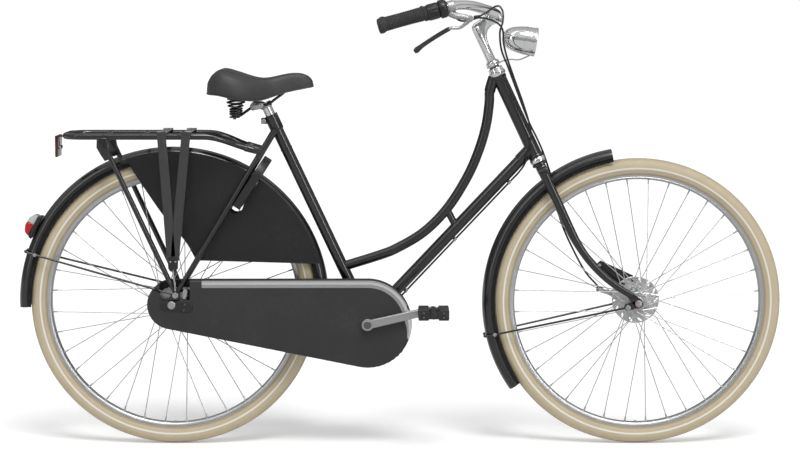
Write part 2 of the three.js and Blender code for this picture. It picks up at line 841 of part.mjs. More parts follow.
// Seat tube, bored for the seat post, with the bottom bracket shell, its lug, clamp ears and bolt
const seatTubeBar = (radius) => rod(seatFoot, seatHead, radius, radius, tubeSides);
const seatTubeClear = () => seatTubeBar(boreFor(seatTubeRadius, tubeSides));
function seatTubeInShell() {
  const rise = seatFoot.clone().addScaledVector(seatUp, shellBore + overrun);
  const past = seatFoot.clone().addScaledVector(seatUp, shellRadius + overrun);
  return rod(rise, past, seatTubeRadius, seatTubeRadius, tubeSides);
}
function seatTube() {
  const lugFoot = seatHead.clone().addScaledVector(seatUp, -seatLugHeight);
  const boreFoot = seatHead.clone().addScaledVector(seatUp, -seatTubeBoreDepth);
  const boreTop = seatHead.clone().addScaledVector(seatUp, overrun);
  const bolt = seatHead.clone().addScaledVector(seatUp, -seatBoltDrop);
  bolt.x -= seatLugRadius + seatEarReach / 2;
  const side = (y) => at(bolt.x, y, bolt.z);
  const ears = block(bolt.x, 0, bolt.z, seatEarReach * 2, seatLugRadius, seatEarReach * 1.4);
  const screw = rod(side(-seatLugRadius), side(seatLugRadius), seatBoltHeadRadius);
  const lug = rod(lugFoot, seatHead, seatLugRadius, seatLugRadius, tubeSides);
  const tube = join(seatTubeBar(seatTubeRadius), lug, ears, screw);
  const bore = boreFor(seatPostRadius, tubeSides);
  const solid = join(cut(tube, shellClear()), seatTubeInShell(), bottomShell());
  return cut(solid, rod(boreFoot, boreTop, bore, bore, tubeSides));
}
add(group, "seat_tube", seatTube(), black);

// Down tube, from the bottom bracket to the lower end of the head tube
const downTop = onHead(0, 0, downTubeHeadOffset);
const downTubeBar = (radius) => rod(seatFoot, downTop, radius, radius, tubeSides);
add(
  group,
  "down_tube",
  cut(downTubeBar(downTubeRadius), shellClear(), headClear(), seatTubeClear()),
  black,
);

// Curved top tube with the short brace to the down tube
const topTubePoint = ([x, z]) =>
  at(mix(topTubeRearX, topTubeFrontX, x), 0, mix(topTubeRearZ, topTubeFrontZ, z));
const topTubePoints = [
  ...topTubeShares.map(topTubePoint),
  ...topTubeEnd.map(([x, z]) => at(bottomBracketX + x, 0, bottomBracketZ + z)),
];
function topTube() {
  const curve = pipe(topTubePoints, topTubeRadius, topTubeSteps, tubeSides);
  const brace = rod(topTubePoint(braceTopShares), seatFoot.clone().lerp(downTop, braceFootShare), braceRadius);
  return cut(
    join(curve, brace),
    headClear(),
    seatTubeClear(),
    downTubeBar(boreFor(downTubeRadius, tubeSides)),
  );
}
add(group, "top_tube", topTube(), black);

// The kickstand's pivot: along its folded leg, and out along its axis
const standAxis = at(...standFolded).cross(at(...standDown)).normalize();
const standPivot = at(standPivotX, standPivotY, standPivotZ);
const standLegWay = at(...standFolded).normalize();
const onStand = (along, out) =>
  standPivot.clone().addScaledVector(standLegWay, along).addScaledVector(standAxis, -out);

// Rear stays. Each chain stay carries its dropout and the bolt that the carrier and fender stay hang on.
const axlePoint = (x, y, z) => at(rearAxleX + x, y, tyreRadius + z);
function chainStay(side) {
  const start = at(bottomBracketX, side * chainStayShellY, bottomBracketZ);
  const plateY = dropoutInnerY + dropoutThickness / 2;
  const end = axlePoint(0, side * plateY, 0);
  const middle = start.clone().lerp(end, chainStayMidShare);
  middle.y = side * chainStayMidY;
  const tip = middle.clone().lerp(end, 0.955);
  const stay = join(
    rod(start, middle, chainStayRadius, chainStayRadius, tubeSides),
    rod(middle, tip, chainStayRadius, chainStayTipRadius, tubeSides),
  );
  const low = side < 0 ? -dropoutInnerY - dropoutThickness : dropoutInnerY;
  const outline = beltOutline(0, 0, dropoutRadius, eyeX, eyeZ, eyeRadius, 5).map(([x, z]) => [
    rearAxleX + x,
    tyreRadius + z,
  ]);
  const dropout = plate(outline, low, low + dropoutThickness);
  const bolt = join(
    pin(rearAxleX + eyeX, tyreRadius + eyeZ, side * dropoutInnerY, side * eyeBoltEndY, eyeBoltRadius),
    pin(
      rearAxleX + eyeX, tyreRadius + eyeZ, side * (eyeBoltEndY - eyeBoltHeadLength), side * eyeBoltEndY,
      eyeBoltHeadRadius,
    ),
  );
  const hole = rod(axlePoint(0, -eyeBoltEndY, 0), axlePoint(0, eyeBoltEndY, 0), axleRadius + gap);
  const trimmed = cut(stay, shellClear(), seatTubeClear());
  const whole = join(trimmed, dropout, bolt);
  return cut(side > 0 ? join(whole, standBracket()) : whole, hole);
}

function seatStay(side) {
  const plateY = dropoutInnerY + dropoutThickness / 2;
  const top = at(seatStayTopX, side * seatStayTopY, seatStayTopZ);
  const middle = at(seatStayMidX, side * seatStayMidY, seatStayMidZ);
  const foot = axlePoint(eyeX, side * plateY, eyeZ);
  const back = middle.clone().sub(foot).normalize();
  const end = foot.clone().addScaledVector(back, eyeRadius + gap);
  const stay = join(
    rod(top, middle, seatStayRadius, seatStayRadius, tubeSides),
    rod(middle, end, seatStayRadius, seatStayTipRadius, tubeSides),
  );
  return cut(stay, seatTubeBar(boreFor(seatLugRadius, tubeSides)));
}
for (const [name, side] of [["right", -1], ["left", 1]]) {
  add(group, "chain_stay_" + name, chainStay(side), black);
}
for (const [name, side] of [["right", -1], ["left", 1]]) {
  add(group, "seat_stay_" + name, seatStay(side), black);
}

// Fork: steerer with crown and locknut, and two raked blades with dropouts
function steerer() {
  const profile = [
    [0, crownBottom + gap], [steererRadius, crownBottom + gap], [steererRadius, lockNutBottom],
    [lockNutRadius, lockNutBottom + weldTolerance], [lockNutRadius, lockNutTop], [steererBore, lockNutTop],
    [steererBore, lockNutTop - steererBoreDepth], [0, lockNutTop - steererBoreDepth],
  ];
  const tube = placed(turned(profile, turnedSides, false), at(0, 0, 0), up);
  const race = rod(at(0, 0, crownTop), at(0, 0, crownRaceTop), headConeRadius, headConeRadius, turnedSides);
  const half = [
    [crownHalfWidth, crownShoulder], [crownHalfWidth, crownBottom],
    [bladeTopY - bladeTopWidth / 2 - room, crownBottom], [fenderHalfWidth - 2 * room, crownBottom + room],
  ];
  const mirrored = half.map(([y, z]) => [-y, z]).reverse();
  const outline = [[-crownNeckHalfWidth, crownTop], [crownNeckHalfWidth, crownTop], ...half, ...mirrored];
  const crown = plate(outline, -crownLength / 2, crownLength / 2).rotate([0, 0, 90]);
  return join(tube, race, crown);
}

// The blade's centre line: straight down from the crown, then on an arc to the front.
function bladeCentre(depth) {
  const past = Math.max(0, depth - bladeStraight);
  return bladeBend - Math.sqrt(bladeBend * bladeBend - past * past);
}

function forkBlade(side) {
  const top = -crownBottom + gap;
  const rings = Array.from({ length: bladeSteps + 1 }, (_, i) => {
    const share = i / bladeSteps;
    const depth = mix(top, bladeEnd, share);
    const y = side * mix(bladeTopY, bladeTipY, share);
    const halfLength = mix(bladeTopLength / 2, bladeTipRadius, share);
    const halfWidth = mix(bladeTopWidth / 2, bladeTipRadius, share);
    const past = Math.max(0, depth - bladeStraight);
    const lean = Math.asin(past / bladeBend);
    return Array.from({ length: bladeSides }, (__, k) => {
      const angle = (k / bladeSides) * 2 * Math.PI;
      const x = halfLength * Math.cos(angle);
      return at(
        bladeCentre(depth) + x * Math.cos(lean), y + halfWidth * Math.sin(angle), -depth + x * Math.sin(lean),
      );
    });
  });
  return loft(rings);
}

function frontDropout(side) {
  const low = side < 0 ? -frontDropoutInnerY - frontDropoutThickness : frontDropoutInnerY;
  const tip = onHead(bladeCentre(bladeEnd - bladeTipRadius), 0, bladeTipRadius - bladeEnd);
  const centre = frontAxle.position;
  const seat = [tip.x - centre.x, tip.z - centre.z];
  const outline = beltOutline(0, 0, frontDropoutRadius, ...seat, bladeTipRadius, 4);
  const main = plate(outline, low, low + frontDropoutThickness);
  const eye = plate(
    beltOutline(0, 0, frontDropoutRadius * 0.8, frontEyeX, frontEyeZ, eyeRadius, 4),
    low,
    low + frontDropoutThickness,
  );
  const outer = side * (frontDropoutInnerY + frontDropoutThickness);
  const boltEnd = outer + side * (stayEyeThickness + eyeBoltHeadLength + 2 * gap);
  const bolt = join(
    pin(frontEyeX, frontEyeZ, outer, boltEnd, eyeBoltRadius),
    pin(frontEyeX, frontEyeZ, boltEnd - side * eyeBoltHeadLength, boltEnd, eyeRadius * 0.8),
  );
  const hole = rod(at(0, -eyeBoltEndY, 0), at(0, eyeBoltEndY, 0), axleRadius + gap);
  return cut(join(main, eye, bolt), hole);
}

// The dropout is drawn at the axle, so the blade is brought there to be joined to it.
function bladeWithDropout(side) {
  const matrix = new THREE.Matrix4().makeRotationY(steering.rotation.y).setPosition(steering.position);
  matrix.premultiply(new THREE.Matrix4().makeTranslation(frontAxle.position.clone().negate()));
  const blade = forkBlade(side).transform(Array.from(matrix.elements));
  return join(blade, frontDropout(side));
}
add(steering, "fork_steerer", steerer(), black);
add(frontAxle, "fork_blade_right", bladeWithDropout(-1), black);
add(frontAxle, "fork_blade_left", bladeWithDropout(1), black);

// Quill stem with its forward clamp
function stem() {
  const quill = rod(at(0, 0, quillBottom), at(0, 0, quillTop), quillRadius, quillRadius, turnedSides);
  const neck = rod(at(0, 0, lockNutTop + gap), at(0, 0, quillTop), quillRadius + room, stemNeckRadius, tubeSides);
  const shoulder = rod(
    at(0, 0, quillTop - stemNeckRadius), at(clampReach, 0, clampHeight), stemNeckRadius, stemNeckRadius * 0.8,
    tubeSides,
  );
  const alongBar = (half, radius) => pin(clampReach, clampHeight, -half, half, radius, turnedSides);
  const clamp = alongBar(clampHalfWidth, clampRadius);
  const boltX = clampReach + clampRadius;
  const boltFoot = at(boltX, 0, clampHeight - clampRadius - clampBoltReach);
  const bolt = rod(boltFoot, at(boltX, 0, clampHeight + clampRadius), eyeBoltRadius);
  const bore = alongBar(barHalfWidth, boreFor(barRadius + gap));
  return cut(join(quill, neck, shoulder, clamp, bolt), bore);
}

function barPoint([x, y, z], side) {
  return at(clampReach + x * barSweep, side * y * barHalfWidth, clampHeight + z * barRise);
}
// One half of the bar's centre line: straight in the clamp, bent, and straight again under the grip
function barHalf(side) {
  const bend = barShares.map((share) => barPoint(share, side));
  const grip = bend.splice(-2);
  const start = at(clampReach, side * clampHalfWidth, clampHeight);
  const curve = new THREE.CatmullRomCurve3([start, ...bend], false, "centripetal");
  return [...curve.getSpacedPoints(barSteps), grip[1]];
}
add(steering, "stem", stem(), chrome);
add(steering, "handlebar", bent([...barHalf(-1).reverse(), ...barHalf(1)], barRadius, barSides), chrome);

// Grips and twist shifter on the straight ends of the bar
const barEnd = (side) => barPoint(barShares[barShares.length - 1], side);
const barAlong = (side) => barPoint(barShares[barShares.length - 2], side).sub(barEnd(side)).normalize();
function sleeve(profile, start, side) {
  return placed(turned(profile, tubeSides), barEnd(side).addScaledVector(barAlong(side), start), barAlong(side));
}
function grip(side) {
  const bore = boreFor(barRadius, tubeSides);
  return sleeve(
    [
      [0, -gripEndLength / 2], [gripEndRadius * 0.8, -gripEndLength / 2], [gripEndRadius, 0],
      [gripEndRadius, gripEndLength * 0.6], [gripRadius, gripEndLength], [gripRadius * 0.95, gripLength * 0.5],
      [gripRadius, gripLength - gripEndLength], [gripEndRadius * 0.95, gripLength - gripEndLength / 2],
      [gripEndRadius * 0.95, gripLength], [bore, gripLength], [bore, -gap], [0, -gap],
    ],
    0,
    side,
  );
}
add(steering, "grip_right", grip(-1), dull);
add(steering, "grip_left", grip(1), dull);

function ringSleeve(radius, length, start, side) {
  const bore = boreFor(barRadius, tubeSides);
  const profile = [
    [bore, 0], [radius * 0.92, 0], [radius, length * 0.12], [radius, length * 0.88], [radius * 0.92, length],
    [bore, length],
  ];
  return sleeve(profile, start, side);
}
function shifterHousing() {
  const start = gripLength + gap + shifterLength + gap;
  const body = ringSleeve(shifterHousingRadius, shifterHousingLength, start, -1);
  const middle = barEnd(-1).addScaledVector(barAlong(-1), start + shifterHousingLength / 2);
  const reach = at(shifterHousingLength * 0.7, shifterHousingRadius * 0.95, -shifterHousingRadius * 1.1);
  const exit = middle.clone().add(reach);
  const bore = boreFor(barRadius + 3 * gap, tubeSides);
  const inner = rod(barEnd(-1), barEnd(-1).addScaledVector(barAlong(-1), start * 2), bore, bore, tubeSides);
  return cut(join(body, rod(middle, exit, shifterHousingLength * 0.35, shifterHousingLength * 0.28)), inner);
}
add(steering, "twist_shifter", ringSleeve(shifterRadius, shifterLength, gripLength + gap, -1), dull);
add(steering, "shifter_housing", shifterHousing(), dull);

// Brake lever on its mount, which is clamped round the bar
const leverPivot = at(leverPivotX, leverPivotY, leverPivotZ);
function brakeLever() {
  const points = leverShares.map(([x, y, z]) =>
    leverPivot.clone().add(at(x * leverReach, y * leverReach, z * leverDrop)),
  );
  const acrossPivot = (half, radius) =>
    pin(leverPivotX, leverPivotZ, leverPivotY - half, leverPivotY + half, radius);
  const tip = points[points.length - 1];
  const nearTip = points[points.length - 2];
  const boss = acrossPivot(leverBossHalfWidth, leverBossRadius);
  const hole = acrossPivot(leverBossHalfWidth + overrun, leverPinRadius + gap);
  const knob = rod(nearTip.clone().lerp(tip, 0.5), tip, leverRadius, leverTipRadius);
  return cut(join(pipe(points, leverRadius, loopSteps, wireSides), boss, knob), hole);
}

function leverMount() {
  const near = barPoint(barShares[4], -1);
  const far = barPoint(barShares[5], -1);
  const along = far.clone().sub(near).normalize();
  const centre = near.clone().lerp(far, 0.6);
  const onCollar = (distance) => centre.clone().addScaledVector(along, distance);
  const alongBar = (half, radius, sides) => rod(onCollar(-half), onCollar(half), radius, radius, sides);
  const collar = alongBar(mountCollarHalfLength, mountCollarRadius, tubeSides);
  const earY = leverBossHalfWidth + gap;
  const ears = [-1, 1].map((side) => {
    const low = leverPivot.y + (side < 0 ? -earY - mountEarThickness : earY);
    const foot = leverPivot.clone().setY(low + mountEarThickness / 2);
    const arm = rod(foot, centre, leverBossRadius * 0.5, undefined, wireSides);
    const eye = pin(leverPivotX, leverPivotZ, low, low + mountEarThickness, leverBossRadius);
    const swing = pin(leverPivotX, leverPivotZ, leverPivotY - earY, leverPivotY + earY, leverBossRadius + room);
    return cut(join(arm, eye), swing);
  });
  const pinHalf = earY + mountEarThickness;
  const pivotPin = pin(leverPivotX, leverPivotZ, leverPivotY - pinHalf, leverPivotY + pinHalf, leverPinRadius);
  const bore = alongBar(mountCollarHalfLength + overrun, boreFor(barRadius + 4 * gap), turnedSides);
  return cut(join(collar, ...ears, pivotPin), bore);
}
add(steering, "brake_lever", brakeLever(), silver);
add(steering, "brake_lever_mount", leverMount(), silver);

// Head lamp: a bullet shell on a bracket held under the locknut, and its lens
const lampTilt = radians(headAngle - 90 - lampAim);
const lampAxis = at(Math.cos(lampTilt), 0, Math.sin(lampTilt));
const lampFront = at(lampFrontX, 0, lampFrontZ);
function lampShell() {
  const outer = lampShares.map(([radius, along]) => [lampRadius * radius, lampLength * (along - 1)]);
  const inner = [
    [lampRadius - lampWall, 0], [lampRadius - lampWall, -lampLength * 0.12], [lampRadius * 0.7, -lampLength * 0.5],
    [0, -lampLength * 0.75],
  ];
  const shell = placed(turned([...outer, ...inner], turnedSides, false), lampFront, lampAxis);
  const upright = (low, high, radius) => rod(at(0, 0, low), at(0, 0, high), radius, radius, turnedSides);
  const armZ = bracketBottom + bracketThickness / 2;
  const whole = placed(turned([...outer, [0, 0]], turnedSides, false), lampFront, lampAxis);
  const arm = bent(
    [
      at(bracketRingRadius * 0.6, 0, armZ), at(bracketRingRadius * 1.4, 0, armZ),
      at(lampFrontX * 0.45, 0, mix(bracketBottom, lampFrontZ, -0.6)),
      lampFront.clone().addScaledVector(lampAxis, -lampLength * 0.3).add(at(0, 0, -lampRadius - room)),
    ],
    bracketRodRadius,
    wireSides,
  );
  return cut(
    join(shell, cut(arm, whole), upright(bracketBottom, bracketBottom + bracketThickness, bracketRingRadius)),
    upright(bracketBottom - overrun * 4, bracketBottom + overrun * 4, steererRadius + gap),
    upright(lockNutBottom - gap, lockNutTop + gap, lockNutRadius + room),
    upright(headTubeTop, bracketBottom - gap, headCupRadius + room),
  );
}
function lampLens() {
  const edge = lampRadius - lampWall - gap;
  const profile = [
    [0, -lampLensDepth - lampLensThickness], [edge, -lampLensDepth - lampLensThickness / 2], [edge, -lampLensDepth],
    [lampLensRadius * 0.6, room - lampLensDepth * 0.5], [0, room],
  ];
  return placed(turned(profile, turnedSides, false), lampFront, lampAxis);
}
add(steering, "headlamp_shell", lampShell(), chrome);
add(steering, "headlamp_lens", lampLens(), clear);

// Fenders: a channel bent along a circle, with a fork-leg or axle stay on each
function fender(start, end) {
  const half = fenderHalfWidth;
  const outer = [[-1, -1], [-0.84, -0.26], [0, 0], [0.84, -0.26], [1, -1]];
  const section = [
    ...outer.map(([y, r]) => [y * half, r * fenderDepth]),
    ...outer.map(([y, r]) => [y * (half - fenderWall), r * fenderDepth - (1 + r) * fenderWall]).reverse(),
  ];
  const rings = Array.from({ length: fenderSteps + 1 }, (_, i) => {
    const angle = radians(mix(start, end, i / fenderSteps));
    return section.map(([y, r]) => {
      const radius = fenderRadius + r;
      return at(radius * Math.cos(angle), y, radius * Math.sin(angle));
    });
  });
  return loft(rings);
}
add(frontAxle, "front_fender", fender(frontFenderStart, frontFenderEnd), black);
add(rearAxle, "rear_fender", fender(rearFenderStart, rearFenderEnd), black);

function stayEdge(angle, side, radius) {
  const a = radians(angle);
  return at(radius * Math.cos(a), side * (fenderHalfWidth + gap + stayRadius), radius * Math.sin(a));
}

// A wire stay: an eye at each dropout bolt, two legs, and a bow over the outside of the fender
function fenderStay(angle, eyeAtX, eyeAtZ, eyeY) {
  const a = radians(angle);
  const radial = at(Math.cos(a), 0, Math.sin(a));
  const sideY = fenderHalfWidth + gap + stayRadius;
  const edge = (side, radius) => stayEdge(angle, side, radius);
  const legs = [-1, 1].map((side) => {
    const low = side < 0 ? -eyeY - stayEyeThickness / 2 : eyeY - stayEyeThickness / 2;
    const plateEye = pin(eyeAtX, eyeAtZ, low, low + stayEyeThickness, eyeRadius * 0.9);
    const foot = at(eyeAtX, side * (eyeY + 2 * gap), eyeAtZ);
    const top = edge(side, fenderRadius - fenderDepth * 0.5);
    const high = low + stayEyeThickness + overrun;
    const hole = pin(eyeAtX, eyeAtZ, low - overrun, high, boreFor(eyeBoltRadius, rodSides));
    const leg = rod(foot, top, stayRadius, stayRadius, wireSides);
    const tip = rod(top, edge(side, fenderRadius + stayRadius), stayRadius * 1.05, stayRadius * 1.05, wireSides);
    return cut(join(plateEye, leg, tip), hole);
  });
  const bowY = sideY + stayRadius * 0.5;
  const bowRadius = fenderRadius + gap + stayRadius;
  const over = (side) => radial.clone().multiplyScalar(bowRadius).setY(side * bowY);
  return join(...legs, rod(over(-1), over(1), stayRadius, stayRadius, wireSides));
}
const frontStayY = frontDropoutInnerY + frontDropoutThickness + gap + stayEyeThickness / 2;
add(frontAxle, "front_fender_stay", fenderStay(frontStayAngle, frontEyeX, frontEyeZ, frontStayY), black);
add(rearAxle, "rear_fender_stay", fenderStay(rearStayAngle, eyeX, eyeZ, stayEyeY), black);

// Skirt guard: a thin panel on each side of the rear wheel, hung on the fender's edge
function skirtGuard(side) {
  const edge = arc(0, 0, guardOuterRadius, guardStart, guardEnd, 16);
  const inner = guardShares.map(([x, z]) => [x * guardOuterRadius, z * guardOuterRadius]);
  const y = fenderHalfWidth + gap;
  const low = side < 0 ? -y - guardThickness : y;
  const panel = plate([...edge, ...inner], low, low + guardThickness);
  const a = radians(lockAngle);
  const through = (radius, size) => {
    const from = at(Math.cos(a) * radius, -fenderRadius, Math.sin(a) * radius);
    return rod(from, from.clone().setY(fenderRadius), size, size, tubeSides);
  };
  const slot = [0, 0.5, 1].map((share) => guardNotchRadius + share * guardSlotReach);
  return cut(
    panel,
    through(guardNotchRadius, guardNotchWidth / 2),
    ...slot.map((r) => through(r, guardSlotWidth / 2)),
    through(lockBoltCentre + lockBoltBend, guardSlotWidth),
  );
}
add(rearAxle, "skirt_guard_right", skirtGuard(-1), black);
add(rearAxle, "skirt_guard_left", skirtGuard(1), black);

// Chain case: an outer and an inner cover that meet on the chain line, and a bright strip on top
const caseZ = bottomBracketZ - tyreRadius;
const caseX = bottomBracketX - rearAxleX;
const caseOutline = (inset, steps = 12) =>
  beltOutline(0, 0, caseRearRadius - inset, caseX, caseZ, caseFrontRadius - inset, steps);
const stayTool = (side) => {
  const start = at(caseX, side * chainStayShellY, caseZ);
  const end = at(0, side * (dropoutInnerY + dropoutThickness / 2), 0);
  const middle = start.clone().lerp(end, chainStayMidShare);
  middle.y = side * chainStayMidY;
  const radius = boreFor(chainStayRadius + 2, tubeSides);
  return join(rod(start, middle, radius, radius, tubeSides), rod(middle, end, radius, radius, tubeSides));
};
function caseCover(faceY, rimY) {
  const low = Math.min(faceY, rimY);
  const high = Math.max(faceY, rimY);
  const inward = Math.sign(rimY - faceY) * caseWall;
  const inside = [faceY + inward, rimY + inward * overrun];
  const hollow = plate(caseOutline(caseWall), Math.min(...inside), Math.max(...inside));
  const tray = cut(plate(caseOutline(0), low, high), hollow);
  const spindle = pin(caseX, caseZ, low - overrun, high + overrun, caseSpindleHole, turnedSides);
  return cut(tray, spindle);
}
function caseOuter() {
  const notch = [
    [-notchRearX, notchBottomZ], [notchFrontX, notchBottomZ], [notchFrontX, caseFrontRadius],
    [-notchRearX, caseFrontRadius],
  ];
  const stayRoom = stayRadius * 2.2;
  return cut(
    caseCover(caseOuterY, caseSplitY - gap),
    plate(notch, caseOuterY - overrun, caseSplitY + overrun),
    rod(at(eyeX, -stayEyeY, eyeZ), stayEdge(rearStayAngle, -1, fenderRadius), stayRoom, stayRoom, wireSides),
  );
}
function caseInner() {
  const axleHole = pin(0, 0, caseOuterY, 0, caseHubHole, turnedSides);
  return cut(caseCover(caseInnerY, caseSplitY), axleHole, stayTool(-1));
}
add(rearAxle, "chain_case_outer", caseOuter(), black);
add(rearAxle, "chain_case_inner", caseInner(), black);

function caseTrim() {
  const top = arc(caseX, caseZ, caseFrontRadius - trimThickness, trimEndAngle, trimTopAngle, trimSteps);
  const rear = trimRearX - rearAxleX;
  const lowTop = arc(caseX, caseZ, caseFrontRadius - trimWidth, trimTopAngle, trimEndAngle, trimSteps);
  const slope = (x) => mix(caseRearRadius, caseZ + caseFrontRadius, x / caseX) - trimThickness;
  const outline = [...top, [rear, slope(rear)], [rear, slope(rear) - trimWidth + trimThickness], ...lowTop];
  return plate(outline, caseOuterY - gap - trimThickness, caseOuterY - gap);
}
add(rearAxle, "chain_case_trim", caseTrim(), chrome);

// Chainring, sprocket and chain
const pitchRadius = (teeth) => chainPitch / 2 / Math.sin(Math.PI / teeth);
function toothed(teeth) {
  const root = pitchRadius(teeth) - toothDepth;
  const tip = pitchRadius(teeth) + toothHeight;
  return Array.from({ length: teeth }, (_, i) =>
    [[0.2, root], [0.5, tip], [0.8, root]].map(([share, radius]) => {
      const angle = ((i + share) / teeth) * 2 * Math.PI;
      return [radius * Math.cos(angle), radius * Math.sin(angle)];
    }),
  ).flat();
}
const boreOutline = (radius) =>
  arc(0, 0, radius, 0, fullTurn * (1 - 1 / turnedSides), turnedSides - 1).reverse();
const ringLow = chainLineY - sprocketThickness / 2;
function chainring() {
  const windows = Array.from({ length: ringWindows }, (_, i) => {
    const angle = (i * fullTurn) / ringWindows;
    const [inner] = arc(0, 0, windowInnerCentre, angle, angle, 1);
    const [outer] = arc(0, 0, windowOuterCentre, angle, angle, 1);
    return beltOutline(...inner, windowInnerRadius, ...outer, windowOuterRadius, 2).reverse();
  });
  const holes = [boreOutline(ringBoreRadius), ...windows];
  return plate(toothed(ringTeeth), ringLow, ringLow + sprocketThickness, holes);
}
add(group, "chainring", placed(chainring(), seatFoot), silver);
function sprocket() {
  const bore = boreOutline(sprocketBoreRadius);
  const disc = plate(toothed(sprocketTeeth), ringLow, ringLow + sprocketThickness, [bore]);
  const bossTop = rearHubRightY - gap;
  const boss = cut(
    pin(0, 0, ringLow, bossTop, driverRadius, turnedSides),
    pin(0, 0, ringLow - overrun, bossTop + overrun, sprocketBoreRadius, turnedSides),
  );
  return join(disc, boss);
}
add(rearAxle, "rear_sprocket", sprocket(), silver);

function chain() {
  const loop = beltOutline(0, 0, pitchRadius(sprocketTeeth), caseX, caseZ, pitchRadius(ringTeeth), 12);
  const inside = -chainPlateHeight / 2;
  const bridge = toothHeight + gap * 4;
  const back = bridge + chainBackThickness;
  const section = [
    [inside, -chainHalfWidth], [back, -chainHalfWidth], [back, chainHalfWidth], [inside, chainHalfWidth],
    [inside, chainSlotHalfWidth], [bridge, chainSlotHalfWidth],
    [bridge, -chainSlotHalfWidth], [inside, -chainSlotHalfWidth],
  ];
  const rings = loop.map(([x, z], i) => {
    const [px, pz] = loop[(i + loop.length - 1) % loop.length];
    const [nx, nz] = loop[(i + 1) % loop.length];
    const out = at(nz - pz, 0, px - nx).normalize();
    return section.map(([r, y]) => at(x + out.x * r, chainLineY + y, z + out.z * r));
  });
  return loft(rings, true);
}
add(rearAxle, "chain", chain(), silver);

// Cranks on their spindle, with block pedals
const spindleEnd = crankInnerY + crankThickness * 0.8;
function crank(side) {
  const angle = radians(crankAngle) + (side > 0 ? Math.PI : 0);
  const end = [crankLength * Math.cos(angle), crankLength * Math.sin(angle)];
  const low = side < 0 ? -crankInnerY - crankThickness : crankInnerY;
  const outline = beltOutline(0, 0, crankTipRadius, ...end, crankTipRadius * 0.85, 5);
  const arm = plate(outline, low, low + crankThickness);
  const outer = crankInnerY + crankThickness;
  const bossIn = side < 0 ? -ringLow - sprocketThickness - room : crankInnerY - overrun;
  const boss = pin(0, 0, side * bossIn, side * (outer + room), crankHubRadius, turnedSides);
  const tip = outer + pedalLength + pedalClearance * 1.5;
  const inEnd = at(end[0], side * (outer - overrun), end[1]);
  const axleBar = rod(inEnd, inEnd.clone().setY(side * tip), pedalAxleRadius, pedalAxleRadius * 0.9);
  const whole = join(arm, boss, axleBar);
  if (side > 0) return placed(join(whole, pin(0, 0, -spindleEnd, spindleEnd, spindleRadius)), seatFoot);
  return placed(cut(whole, pin(0, 0, 0, -spindleEnd - gap, boreFor(spindleRadius, rodSides))), seatFoot);
}
function pedal(side) {
  const angle = radians(crankAngle) + (side > 0 ? Math.PI : 0);
  const x = crankLength * Math.cos(angle);
  const z = crankLength * Math.sin(angle);
  const start = crankInnerY + crankThickness + pedalClearance;
  const middle = side * (start + pedalLength / 2);
  const blockWidth = pedalWidth * pedalBlockShare;
  const blockLength = pedalLength - 2 * pedalEndThickness + room;
  const blocks = [-1, 1].map((k) =>
    block(x + (k * (pedalWidth - blockWidth)) / 2, middle, z, blockWidth, blockLength, pedalHeight),
  );
  const ends = [-1, 1].map((k) => {
    const y = middle + (k * (pedalLength - pedalEndThickness)) / 2;
    return block(x, y, z, pedalWidth * 0.8, pedalEndThickness, pedalHeight * 0.7);
  });
  const core = pin(x, z, middle - pedalLength / 2, middle + pedalLength / 2, pedalCoreRadius);
  const bore = pin(x, z, middle - pedalLength, middle + pedalLength, boreFor(pedalAxleRadius, rodSides));
  return placed(cut(join(...blocks, ...ends, core), bore), seatFoot);
}
for (const [name, side] of [["right", -1], ["left", 1]]) {
  add(group, "crank_" + name, crank(side), silver);
  add(group, "pedal_" + name, pedal(side), dull);
}

// Seat post, saddle clamp, sprung saddle
function seatPost() {
  const share = (seatPostTopZ - seatTopZ) / seatUp.z;
  const top = seatHead.clone().addScaledVector(seatUp, share);
  const foot = seatHead.clone().addScaledVector(seatUp, -seatPostInsert);
  return rod(foot, top, seatPostRadius, seatPostRadius, tubeSides);
}

const railFoot = at(springX, 0, springBottomZ - 2 * railRadius);
function saddleFrame() {
  const rails = [-1, 1].map((side) =>
    bent(
      [
        at(springX, side * springY, railFoot.z),
        at(springX + railHeelLength, side * springY * 0.8, railFoot.z + room),
        at(clampBlockX - railFlatLength, side * railY, clampBlockZ - railRise),
        at(clampBlockX + railFlatLength, side * railY, clampBlockZ + railRise),
        at(mix(clampBlockX, saddlePivotX, 0.7), side * railY * 0.7, mix(clampBlockZ, saddlePivotZ, 0.5)),
        at(saddlePivotX, side * railY * 0.35, saddlePivotZ),
      ],
      railRadius,
      wireSides,
    ),
  );
  const reach = springY + springBottomRadius;
  const back = pin(springX, railFoot.z, -reach, reach, railRadius * 1.3);
  const pads = [-1, 1].map((side) => {
    const foot = at(springX, side * springY, railFoot.z - 2 * room);
    return rod(foot, foot.clone().setZ(springBottomZ - springWire - gap), springBottomRadius + springWire);
  });
  const nose = pin(saddlePivotX, saddlePivotZ, -railY * 0.6, railY * 0.6, railRadius);
  return join(...rails, back, ...pads, nose);
}
function saddleClamp() {
  const body = block(clampBlockX, 0, clampBlockZ, clampBlockLength, clampBlockHalfWidth * 2, clampBlockHeight);
  const boltEnd = clampBlockHalfWidth + clampBoltLength;
  const bolt = pin(clampBlockX, clampBlockZ, -boltEnd, boltEnd, clampBlockHeight * 0.35, wireSides);
  const collar = rod(
    seatHead.clone().addScaledVector(seatUp, clampSleeveBottom),
    seatHead.clone().addScaledVector(seatUp, clampSleeveTop),
    seatPostRadius + clampSleeveWall,
    undefined,
    tubeSides,
  );
  return join(body, bolt, collar, seatPost());
}
const saddleRails = saddleFrame();
const railRoom = [-1, 1].map((side) =>
  rod(
    at(clampBlockX - railRoomLength, side * railY, clampBlockZ - railRoomRise),
    at(clampBlockX + railRoomLength, side * railY, clampBlockZ + railRoomRise),
    railRadius * 1.5,
  ),
);
add(group, "saddle_frame", saddleRails, black);
